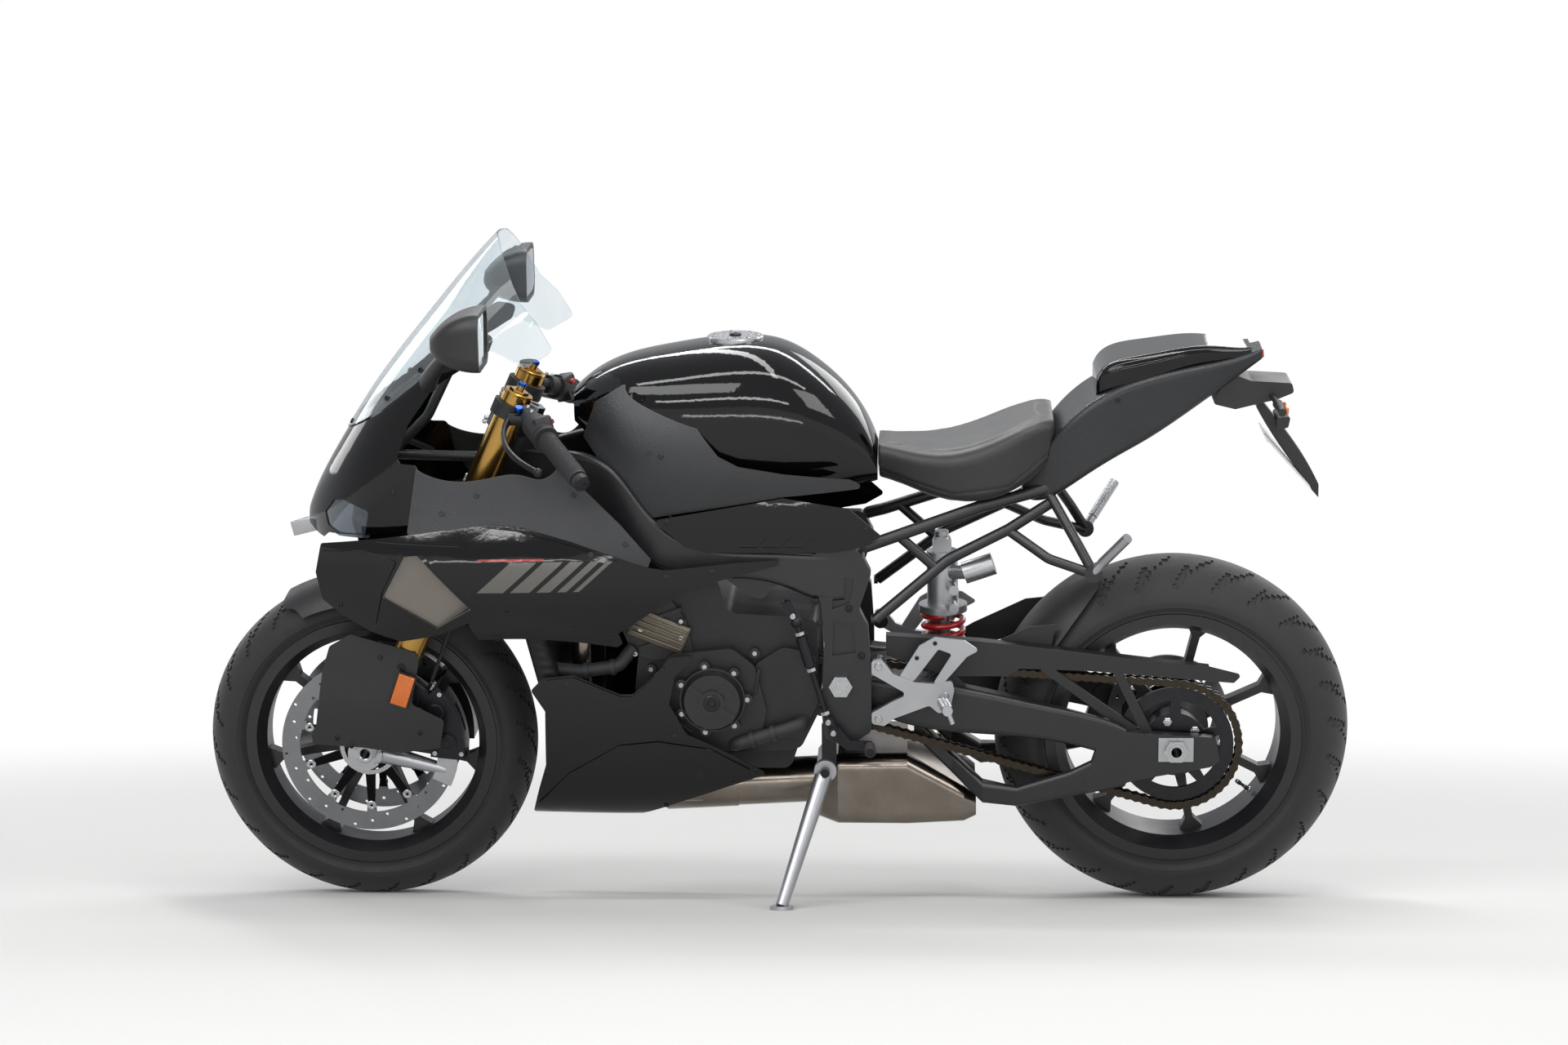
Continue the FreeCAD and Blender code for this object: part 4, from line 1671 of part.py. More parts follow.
def build_seats(rails):
    """Rider's seat on the rails, the tail cowl and the passenger's pad."""
    rail_shape = compound(rails)
    tail = rail([(0.455, (-0.085, 0.085), (0.770, 0.806), 0.010), (0.523, (-0.112, 0.112), (0.782, 0.900), 0.014),
                 (0.600, (-0.115, 0.115), (0.834, 0.960), 0.014), (0.669, (-0.104, 0.104), (0.872, 0.985), 0.014),
                 (0.760, (-0.085, 0.085), (0.930, 1.004), 0.014), (0.850, (-0.054, 0.054), (0.990, 1.020), 0.010),
                 (0.877, (-0.040, 0.040), (1.008, 1.028), 0.006)])
    tail = tail.cut(rail_shape)
    seat = rail([(0.1983, (-0.074, 0.074), (0.800, 0.864), 0.022), (0.250, (-0.098, 0.098), (0.785, 0.857), 0.024),
                 (0.330, (-0.130, 0.130), (0.766, 0.857), 0.026), (0.430, (-0.137, 0.137), (0.781, 0.892), 0.026),
                 (0.512, (-0.104, 0.104), (0.846, 0.912), 0.022)])
    add("rider_seat", seat.cut(tail).cut(rail_shape).Solids[0])
    pad_shape = rail([(0.584, (-0.078, 0.078), (0.948, 0.982), 0.010), (0.602, (-0.092, 0.092), (0.952, 1.006), 0.016),
                      (0.640, (-0.096, 0.096), (0.960, 1.020), 0.018), (0.714, (-0.086, 0.086), (0.985, 1.032), 0.016),
                      (0.800, (-0.066, 0.066), (1.004, 1.035), 0.012), (0.858, (-0.045, 0.045), (1.016, 1.031), 0.006)])
    pad_piece = max(pad_shape.cut(tail).Solids, key=lambda solid: solid.Volume)
    add("pillion_seat", pad_piece)
    add("tail_fairing", tail)
    add("subframe", rail_shape)
    shelf = slab([(0.790, 0.930), (0.831, 0.920), (0.905, 0.938), (0.934, 0.950), (0.930, 0.967), (0.859, 0.971),
                  (0.820, 0.985)], (-0.050, 0.050), 0.006 * size("body_length"))
    stalk = rail([(0.872, (-0.018, 0.018), (0.915, 0.940), 0.004), (0.9, (-0.018, 0.018), (0.868, 0.905), 0.004),
                  (0.955, (-0.018, 0.018), (0.790, 0.830), 0.004), (0.985, (-0.014, 0.014), (0.746, 0.776), 0.004)])
    lamp = slab([(0.905, 0.902), (0.930, 0.905), (0.926, 0.885), (0.908, 0.880)], (-0.040, 0.040), 0.004 * size("body_length"))
    holder = fuse([shelf, stalk, lamp]).cut(tail)
    winkers = []
    for side in SIGNS:
        arm = pipe([(0.895, side * 0.048, 0.945), (0.900, side * 0.110, 0.940)], size("peg_radius") * 0.6)
        blade = taper([(spot(0.900, side * 0.104, 0.940), size("peg_radius")),
                       (spot(0.903, side * 0.160, 0.936), size("peg_radius") * 0.8)])
        winkers += [arm, blade]
    holder = fuse([holder] + winkers)
    height, thick, width = size("plate_height"), size("plate_thickness"), size("plate_width")
    flat = Part.makeBox(thick, width, height)
    flat.translate(Vector(0, -width / 2, -height))
    flat.rotate(CENTRE, ACROSS, -size("plate_lean"))
    flat.translate(spot(0.885, 0, 0.867))
    clear = Part.makeBox(thick * 20, width * 2, height * 2)
    clear.translate(Vector(-thick * 20, -width, -height * 1.5))
    clear.rotate(CENTRE, ACROSS, -size("plate_lean"))
    clear.translate(spot(0.885, 0, 0.867))
    add("plate_bracket", max(holder.cut(clear).cut(flat).Solids, key=lambda solid: solid.Volume))
    add("licence_plate", flat)


# Nose, screen, fairings and mirrors

sizes([
    ("screen_wall", 3, "of the clear screen"),
    ("screen_lap", 12, "of the screen over the cowl"),
    ("duct_depth", 36, "of the side duct at its rear edge"),
    ("layer", 4, "wall of the raised panel layers"),
    ("mirror_reach", 424, "outer edge from the centre"),
    ("mirror_corner", 20, "radius of a mirror's corners"),
    ("stalk_root_radius", 16, "of a mirror's stalk at the cowl"),
    ("stalk_tip_radius", 10, "of a mirror's stalk at its head"),
    ("dash_width", 156, "of the instrument panel"),
    ("dash_height", 92, "of the instrument panel"),
    ("dash_depth", 22, "of the instrument panel"),
    ("dash_tilt", 34, "of the instrument panel back from upright"),
    ("stay_radius", 9, "of the nose's carrying tubes"),
])

HOOD_SIDE_SHARES = [(0.97, 0.0), (1.0, 0.25), (0.93, 0.52), (0.74, 0.78), (0.40, 0.95), (0.0, 1.0)]
HOOD_ROWS = [(-0.829, 0.026, 0.708, 0.742), (-0.815, 0.060, 0.706, 0.776), (-0.790, 0.102, 0.700, 0.824),
             (-0.755, 0.142, 0.700, 0.882), (-0.700, 0.180, 0.700, 0.966), (-0.642, 0.198, 0.700, 1.041),
             (-0.590, 0.204, 0.700, 1.104), (-0.540, 0.206, 0.700, 1.164), (-0.487, 0.204, 0.700, 1.222),
             (-0.420, 0.200, 0.700, 1.290), (-0.355, 0.192, 0.700, 1.345)]
FAIRING_SHARES = [(0.86, 0.0), (0.95, 0.15), (1.0, 0.32), (0.985, 0.50), (0.93, 0.62), (0.86, 0.78), (0.78, 1.0)]
FAIRING_ROWS = [(-0.800, 0.196, 0.520, 0.880), (-0.740, 0.222, 0.520, 0.880), (-0.660, 0.242, 0.520, 0.880),
                (-0.560, 0.250, 0.520, 0.880), (-0.450, 0.248, 0.520, 0.880), (-0.330, 0.240, 0.520, 0.880),
                (-0.200, 0.226, 0.520, 0.880), (-0.080, 0.208, 0.520, 0.880), (0.090, 0.180, 0.520, 0.880)]
BELLY_SHARES = [(0.66, 0.0), (0.88, 0.10), (0.98, 0.30), (1.0, 0.55), (0.985, 0.80), (0.96, 1.0)]
BELLY_ROWS = [(-0.440, 0.196, 0.196, 0.520), (-0.330, 0.206, 0.196, 0.520), (-0.220, 0.208, 0.196, 0.520),
              (-0.100, 0.203, 0.205, 0.520), (0.020, 0.188, 0.235, 0.520)]


def hood(inset, wall):
    """The nose's own form, moved inwards, with a wall."""
    return bow_shell(body_stations(HOOD_ROWS, inset, inset), HOOD_SIDE_SHARES, wall)


def build_nose():
    """Cowl with lamp openings, the lamps and the screen."""
    corner = 0.010 * size("body_length")
    seam, wall = size("seam"), size("skin")
    shell = hood(0, wall)
    reach = (-0.30, 0.30)
    body = slab([(-0.860, 0.690), (-0.860, 0.750), (-0.815, 0.800), (-0.775, 0.868), (-0.745, 0.905), (-0.668, 0.955),
                 (-0.600, 1.008), (-0.560, 1.050), (-0.500, 1.082), (-0.466, 1.074), (-0.476, 1.048), (-0.574, 0.986),
                 (-0.621, 0.920), (-0.644, 0.853), (-0.606, 0.851), (-0.594, 0.790), (-0.560, 0.742), (-0.690, 0.724),
                 (-0.779, 0.712), (-0.800, 0.690)], reach, corner)
    lamp_share = [(-0.786, 0.748), (-0.766, 0.774), (-0.745, 0.779), (-0.696, 0.765), (-0.704, 0.722), (-0.758, 0.717),
                  (-0.780, 0.726)]
    lamp_hole = slab(lamp_share, reach, corner / 2)
    cowl = shell.common(body).cut(lamp_hole)
    cowl = max(cowl.Solids, key=lambda solid: solid.Volume)
    lamp_ring = slab([(-0.792, 0.744), (-0.770, 0.780), (-0.745, 0.786), (-0.688, 0.771), (-0.697, 0.715),
                      (-0.758, 0.7105), (-0.786, 0.7205)], reach, corner / 2)
    lens = hood(wall + seam / 2, wall).common(lamp_ring)
    add("headlamps", lens)
    lap = size("screen_wall") + seam / 2
    outer = hood(-lap, size("screen_wall"))
    glass = slab([(-0.786, 0.862), (-0.745, 0.893), (-0.668, 0.942), (-0.600, 0.996), (-0.560, 1.040),
                  (-0.520, 1.060), (-0.470, 1.050), (-0.412, 1.022), (-0.363, 1.050), (-0.392, 1.100),
                  (-0.420, 1.130), (-0.468, 1.232), (-0.494, 1.240), (-0.560, 1.190), (-0.700, 1.050),
                  (-0.800, 0.920)], reach, corner)
    screen = outer.common(glass)
    add("windscreen", max(screen.Solids, key=lambda solid: solid.Volume))
    return cowl


def build_dash(cowl):
    """The carrying tubes between steering head and nose, and the instrument panel on them."""
    radius = size("stay_radius")
    middle = (size("lower_clamp_low") + size("upper_clamp_low") + size("upper_clamp_depth")) / 2
    root = on_fork(middle, 0, size("head_radius") - FORK_OFFSET + size("seat_gap"))
    tip, cross = spot(-0.700, 0, 0.830), 0.205
    face = Part.makeCylinder(radius * 1.5, radius, root, AXIS_FORWARD)
    pieces = [face, tube([root + AXIS_FORWARD * radius / 2, tip], radius)]
    pieces.append(pipe([(-0.690, -cross, 0.832), (-0.690, cross, 0.832)], radius * 0.8))
    pieces.append(pipe([(-0.680, 0, 0.832), (-0.612, 0, 0.900), (-0.560, 0, 1.005)], radius, 0.05))
    panel = Part.makeBox(size("dash_depth"), size("dash_width"), size("dash_height"))
    panel.translate(Vector(-size("dash_depth"), -size("dash_width") / 2, -size("dash_height") / 2))
    panel = panel.makeFillet(radius * 0.6, panel.Edges)
    panel.rotate(CENTRE, ACROSS, size("dash_tilt"))
    panel.translate(spot(-0.535, 0, 1.030))
    pieces.append(panel)
    for side in SIGNS:
        pieces.append(pipe([(-0.690, side * 0.150, 0.832), (-0.600, side * 0.232, 0.770)], radius * 0.7))
    whole = fuse(pieces)
    whole = whole.cut(cowl)
    add("instrument_panel", max(whole.Solids, key=lambda solid: solid.Volume))


def build_mirrors(cowl):
    """Mirror heads on stalks from the cowl's horns."""
    reach = size("mirror_reach") / size("body_width")
    for side in (LEFT,):
        corner = size("mirror_corner") / size("body_width")
        head = rail([(-0.548, (side * 0.325, side * 0.385), (1.085, 1.112), corner * 0.5),
                     (-0.530, (side * 0.300, side * 0.408), (1.070, 1.130), corner),
                     (-0.492, (side * 0.288, side * (reach - 0.002)), (1.056, 1.150), corner * 1.3),
                     (-0.462, (side * 0.286, side * reach), (1.054, 1.154), corner * 1.3)], False)
        glass = rail([(-0.470, (side * 0.294, side * (reach - 0.008)), (1.062, 1.146), corner),
                      (-0.455, (side * 0.294, side * (reach - 0.008)), (1.062, 1.146), corner)], True)
        head = head.cut(glass)
        root, wide, tip = size("stalk_root_radius"), size("stalk_root_radius") * 0.9, size("stalk_tip_radius")
        stalk = taper([(spot(-0.585, side * 0.165, 0.990), root), (spot(-0.572, side * 0.200, 1.015), wide),
                       (spot(-0.535, side * 0.262, 1.062), tip), (spot(-0.510, side * 0.330, 1.090), tip)])
        stalk = stalk.cut(cowl)
        stalk = min(stalk.Solids, key=lambda solid: side * -solid.CenterOfMass.y)
        mirror = fuse([head, stalk])
    pair("mirrors", mirror)


def fairing_skin(inset=0, wall=None):
    """The left fairing's own form, moved inwards."""
    return side_skin(body_stations(FAIRING_ROWS, inset), FAIRING_SHARES, wall or size("skin"))


def build_fairings(frame):
    """Side fairings in layers with their ducts, cockpit panels and gloss panels beside the frame."""
    corner = 0.005 * size("body_length")
    seam, wall, layer = size("seam"), size("skin"), size("layer")
    side = (-0.30, -0.02)
    main = slab([(-0.779, 0.712), (-0.790, 0.660), (-0.779, 0.612), (-0.748, 0.588), (-0.692, 0.556), (-0.640, 0.538),
                 (-0.573, 0.552), (-0.503, 0.583), (-0.452, 0.603), (-0.338, 0.573), (-0.281, 0.547), (-0.259, 0.550),
                 (-0.190, 0.596), (-0.121, 0.636), (0.072, 0.680), (-0.060, 0.676), (-0.171, 0.668), (-0.207, 0.675),
                 (-0.334, 0.721), (-0.420, 0.746), (-0.474, 0.752), (-0.560, 0.742), (-0.690, 0.724)], side, corner)
    duct = slab([(-0.626, 0.698), (-0.603, 0.700), (-0.512, 0.603), (-0.573, 0.566), (-0.666, 0.624)], side, corner)
    skin = fairing_skin().common(main)
    deep = size("duct_depth") / size("body_width")
    plan = [spot(-0.690, -0.2385, 0.556), spot(-0.490, -0.2490 + deep, 0.556), spot(-0.490, -0.2490 + deep + 0.003, 0.556),
            spot(-0.690, -0.2355, 0.556)]
    liner = Part.Face(closed_wire(plan)).extrude(UP * 0.170 * size("body_height"))
    liner = liner.common(slab([(-0.690, 0.625), (-0.640, 0.712), (-0.590, 0.712), (-0.495, 0.600), (-0.573, 0.557)],
                              side, corner))
    lip = slab([(-0.634, 0.706), (-0.600, 0.708), (-0.502, 0.602), (-0.573, 0.557), (-0.676, 0.620)], side, corner)
    rim = fairing_skin(-seam / 2, deep * size("body_width") * 0.5).common(lip).cut(duct)
    skin = fuse([skin.cut(duct), rim, liner])
    skin = max(skin.Solids, key=lambda solid: solid.Volume)
    raised = fairing_skin(-layer - seam / 2, layer)
    front = raised.common(slab([(-0.776, 0.700), (-0.786, 0.660), (-0.776, 0.618), (-0.748, 0.598), (-0.684, 0.566),
                                (-0.668, 0.632), (-0.640, 0.690), (-0.700, 0.706)], side, corner))
    blade = raised.common(slab([(-0.690, 0.722), (-0.530, 0.716), (-0.474, 0.746), (-0.430, 0.741), (-0.334, 0.716),
                                (-0.220, 0.676), (-0.300, 0.690), (-0.420, 0.700), (-0.520, 0.694), (-0.600, 0.712),
                                (-0.660, 0.714)], side, corner))
    inner_shares = [(-0.520, 0.575), (-0.502, 0.540), (-0.395, 0.458), (-0.344, 0.462), (-0.250, 0.530), (-0.262, 0.562),
                    (-0.338, 0.590), (-0.452, 0.618)]
    low_rows = [(share_x, half - 0.0035, 0.450, 0.650) for share_x, half in
                ((-0.530, 0.2395), (-0.450, 0.2385), (-0.340, 0.2300), (-0.240, 0.2160))]
    low_skin = side_skin(body_stations(low_rows), [(0.86, 0.0), (0.93, 0.35), (0.975, 0.62), (0.992, 0.8), (1.0, 1.0)],
                         wall)
    lower = low_skin.common(slab(inner_shares, side, corner))
    lower = lower.cut(fairing_skin(-seam, wall + seam * 2))
    lower = max(lower.Solids, key=lambda solid: solid.Volume)
    pieces = [skin, front, blade, lower]
    add("side_fairings", compound(pieces + [piece.mirror(CENTRE, ACROSS) for piece in pieces]))
    cockpit = fairing_skin(wall + seam / 2).common(
        slab([(-0.606, 0.853), (-0.622, 0.735), (-0.560, 0.722), (-0.474, 0.735), (-0.420, 0.730), (-0.334, 0.706),
              (-0.207, 0.660), (-0.196, 0.688), (-0.250, 0.748), (-0.317, 0.812), (-0.362, 0.850), (-0.477, 0.842),
              (-0.591, 0.858)], side, corner))
    cockpit = cockpit.cut(hood(-seam / 2, size("duct_depth")))
    cockpit = max(cockpit.Solids, key=lambda solid: solid.Volume)
    add("cockpit_panels", compound(both_sides(cockpit)))
    width = size("body_width")
    panel = side_skin(body_stations([(-0.210, 0.1805, 0.685, 0.795), (0.000, 0.1810, 0.685, 0.795),
                                     (0.215, 0.1760, 0.685, 0.795)]),
                      [(0.982, 0.0), (0.995, 0.3), (1.0, 0.55), (0.99, 0.8), (0.965, 1.0)], wall)
    outline_shares = [(-0.195, 0.748), (0.035, 0.787), (0.150, 0.768), (0.207, 0.718), (0.172, 0.698), (0.120, 0.689),
                      (-0.100, 0.689), (-0.140, 0.700)]
    panel = panel.common(slab(outline_shares, side, corner))
    for shift in (0, 0.040, 0.080):
        panel = panel.cut(slab([(-0.045 + shift, 0.699), (-0.020 + shift, 0.716), (0.006 + shift, 0.718),
                                (-0.012 + shift, 0.699)], (-0.3, -0.1), corner / 4))
    grille = slab([(-0.060, 0.692), (-0.040, 0.726), (0.100, 0.730), (0.112, 0.692)], (-0.1765, -0.1745))
    backs = max(fuse([panel.cut(frame), grille.cut(frame)]).Solids, key=lambda solid: solid.Volume)
    add("frame_covers", compound(both_sides(backs)))


def build_belly(covers):
    """Belly pans with their raised edge bands, and stays to the sump."""
    corner = 0.005 * size("body_length")
    wall, seam = size("skin"), size("seam")
    side = (-0.30, -0.02)
    skin = side_skin(body_stations(BELLY_ROWS), BELLY_SHARES, wall)
    pan = slab([(-0.416, 0.442), (-0.394, 0.465), (-0.340, 0.472), (-0.256, 0.438), (-0.235, 0.438), (-0.202, 0.465),
                (-0.168, 0.503), (-0.120, 0.508), (-0.160, 0.470), (-0.170, 0.420), (-0.140, 0.365), (-0.100, 0.346),
                (-0.055, 0.322), (0.003, 0.285), (-0.070, 0.262), (-0.158, 0.231), (-0.225, 0.202), (-0.422, 0.202),
                (-0.406, 0.260), (-0.392, 0.306), (-0.391, 0.405)], side, corner)
    main = skin.common(pan)
    raised = side_skin(body_stations(BELLY_ROWS, -size("layer") - seam / 2), BELLY_SHARES, size("layer"))
    arch = slab([(-0.412, 0.225), (-0.352, 0.290), (-0.260, 0.345), (-0.190, 0.352), (-0.096, 0.336), (-0.020, 0.290),
                 (-0.052, 0.284), (-0.114, 0.308), (-0.190, 0.322), (-0.252, 0.314), (-0.330, 0.262), (-0.384, 0.205)],
                side, corner)
    vee = slab([(-0.390, 0.462), (-0.340, 0.469), (-0.256, 0.435), (-0.235, 0.435), (-0.202, 0.462), (-0.172, 0.497),
                (-0.182, 0.470), (-0.205, 0.440), (-0.232, 0.418), (-0.262, 0.416), (-0.340, 0.446), (-0.388, 0.440)],
               side, corner)
    prop = pipe([(-0.120, -0.0903, 0.290), (-0.120, -0.2000, 0.290)], size("stay_radius"))
    main = fuse([main, prop])
    bands = [raised.common(arch), raised.common(vee)]
    solids = [max(main.Solids, key=lambda solid: solid.Volume)] + [band for band in bands]
    clutch = drum(spot(*CLUTCH_SHARE) + ACROSS * size("body_width") / 2, ACROSS,
                  size("clutch_radius") + size("layer") * 3, size("body_width"))
    right = [piece.mirror(CENTRE, ACROSS).cut(clutch) for piece in solids]
    keep_right = [max(piece.Solids, key=lambda solid: solid.Volume) for piece in right]
    left = [piece.cut(covers) for piece in solids]
    keep_left = [max(piece.Solids, key=lambda solid: solid.Volume) for piece in left]
    add("belly_pans", compound(keep_left + keep_right))


build_wheels()
build_sprockets()
build_chain()
build_fork_legs()
build_clamps()
build_front_brake()
build_front_guard()
build_bars()
build_frame()
build_swingarm()
RAILS = build_subframe()
build_passenger_pegs(RAILS)
build_guards()
build_stand()
build_footrests()
build_engine()
add("coolant_hoses", compound(build_coolant()))
build_exhaust()
build_radiator()
build_shock()
build_tank()
build_seats(RAILS)
COWL = build_nose()
build_dash(COWL)
build_mirrors(COWL)
add("front_cowl", COWL)
build_fairings(PARTS["main_frame"].Shape)
build_belly(PARTS["engine_covers"].Shape)


def trim(label, *others):
    """Cuts a piece by the neighbours that it fits round, and keeps as many solids as it had."""
    piece = PARTS[label]
    count = len(piece.Shape.Solids)
    rest = piece.Shape.cut([PARTS[other].Shape for other in others])
    solids = sorted(rest.Solids, key=lambda solid: solid.Volume)[-count:]
    piece.Shape = compound(solids) if count > 1 else solids[0]


DOC.recompute()
trim("chain_guard", "swingarm", "rear_hugger")
trim("fork_covers", "fork_sliders", "fork_feet")
trim("tank_covers", "main_frame")
trim("cockpit_panels", "side_fairings")
trim("radiator", "engine_block")
trim("coolant_hoses", "engine_block", "radiator")


DOC.recompute()

# Lean everything onto the side stand, then put the zero at the middle of the box's bottom

HOME = {label: piece.Placement for label, piece in PARTS.items()}


def lean_pieces(placement):
    """Gives each piece its place in the leaned bike."""
    for label, piece in PARTS.items():
        piece.Placement = placement.multiply(HOME[label])


lean_pieces(Placement(CENTRE, Rotation(ALONG, size("lean_angle"))))
BOX = Part.makeCompound([piece.Shape for piece in PARTS.values()]).optimalBoundingBox(True, False)
ORIGIN_SHIFT = Vector(-(BOX.XMin + BOX.XMax) / 2, -(BOX.YMin + BOX.YMax) / 2, -BOX.ZMin)
lean_pieces(Placement(ORIGIN_SHIFT, Rotation(ALONG, size("lean_angle"))))

for thing in DOC.Objects:
    if "Invalid" in thing.State or "Error" in thing.State:
        raise ValueError("failed object: " + thing.Label)
for piece in PARTS.values():
    if piece.Shape.isNull() or not piece.Shape.isValid():
        raise ValueError("bad shape: " + piece.Label)

os.makedirs("parts", exist_ok=True)
for label, piece in PARTS.items():
    piece.Shape.exportStep("parts/" + label + ".step")
print("pieces", len(PARTS), "shift", ORIGIN_SHIFT)
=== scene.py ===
"""A faired sport motorcycle on its side stand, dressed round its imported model."""
import logging
import math
from dataclasses import dataclass
from enum import Enum
from typing import Callable, Optional, Sequence

import bmesh
import bpy
from mathutils import Matrix, Vector


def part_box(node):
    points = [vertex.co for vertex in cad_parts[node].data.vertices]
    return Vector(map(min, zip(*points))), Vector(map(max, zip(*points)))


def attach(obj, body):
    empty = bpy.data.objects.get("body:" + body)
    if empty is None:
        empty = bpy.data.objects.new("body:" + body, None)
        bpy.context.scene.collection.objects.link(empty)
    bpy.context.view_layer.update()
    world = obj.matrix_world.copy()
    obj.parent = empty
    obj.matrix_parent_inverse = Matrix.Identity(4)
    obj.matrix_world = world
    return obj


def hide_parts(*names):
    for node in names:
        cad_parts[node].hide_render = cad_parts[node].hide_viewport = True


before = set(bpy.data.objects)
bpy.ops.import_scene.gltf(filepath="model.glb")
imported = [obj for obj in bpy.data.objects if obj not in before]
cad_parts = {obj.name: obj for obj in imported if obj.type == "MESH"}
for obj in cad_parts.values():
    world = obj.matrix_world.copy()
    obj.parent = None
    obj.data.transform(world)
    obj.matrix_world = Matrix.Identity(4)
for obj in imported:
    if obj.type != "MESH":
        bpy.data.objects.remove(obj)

LOG = logging.getLogger("motorcycle")
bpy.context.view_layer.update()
MILLIMETRE = 0.001
LEAN = math.radians(13.0)
SIDES = (("left", -1), ("right", 1))

Triple = tuple[float, float, float]
Pairs = Sequence[tuple[float, float]]
Spot = tuple[Vector, Vector]


def mm(value: float) -> float:
    """Millimetres as metres."""
    return value * MILLIMETRE


def grain(millimetres: float) -> float:
    """The texture scale whose features are about this many millimetres wide."""
    return 1.0 / (millimetres * MILLIMETRE)


def colour(hex_code: str) -> tuple[float, float, float, float]:
    """Turns an sRGB hex value into linear colour.

    Args:
        hex_code: six hex digits, such as "1A1B1D".

    Returns:
        Red, green, blue and an opaque alpha.
    """
    def linear(value: float) -> float:
        """One channel from sRGB to linear."""
        return value / 12.92 if value <= 0.04045 else ((value + 0.055) / 1.055) ** 2.4

    red, green, blue = (linear(int(hex_code[spot:spot + 2], 16) / 255) for spot in (0, 2, 4))
    return red, green, blue, 1.0


# Materials


BLOTCH_DETAIL = 4.0
BLOTCH_ROUGHNESS = 0.6
BLOTCH_SPAN = (0.3, 0.7)
BUMP_DETAIL = 3.0
BUMP_ROUGHNESS = 0.55
BUMP_SHARE = 0.35
CELL_SMOOTHNESS = 0.4
BANDS_PER_SCALE = 20
# Painted highlight along sharp edges: its width, samples, fall-off and how much paler it is
EDGE_MM = 1.5
EDGE_SAMPLES = 4
EDGE_SPAN = (0.995, 0.85)
EDGE_GAIN = 2.2
EDGE_LIFT = 0.03


def add_node(tree: bpy.types.NodeTree, kind: str, settings: Optional[dict[str, object]] = None,
             **sockets: object) -> bpy.types.Node:
    """Adds a shader node.

    Args:
        tree: the node tree.
        kind: the node's type name without its "ShaderNode" start.
        settings: attributes of the node, such as its operation.
        sockets: input values or output sockets to link, by input name with _ for a space, or
            in0, in1 by place.

    Returns:
        The new node.
    """
    node = tree.nodes.new("ShaderNode" + kind)
    for name, value in (settings or {}).items():
        setattr(node, name, value)
    for name, value in sockets.items():
        by_place = name.startswith("in") and name[2:].isdigit()
        place = int(name[2:]) if by_place else name.replace("_", " ")
        if isinstance(value, bpy.types.NodeSocket):
            tree.links.new(value, node.inputs[place])
        else:
            node.inputs[place].default_value = value
    return node


class Relief(Enum):
    """The height patterns of a finish."""

    NOISE = "noise"
    CELLS = "cells"
    BANDS = "bands"


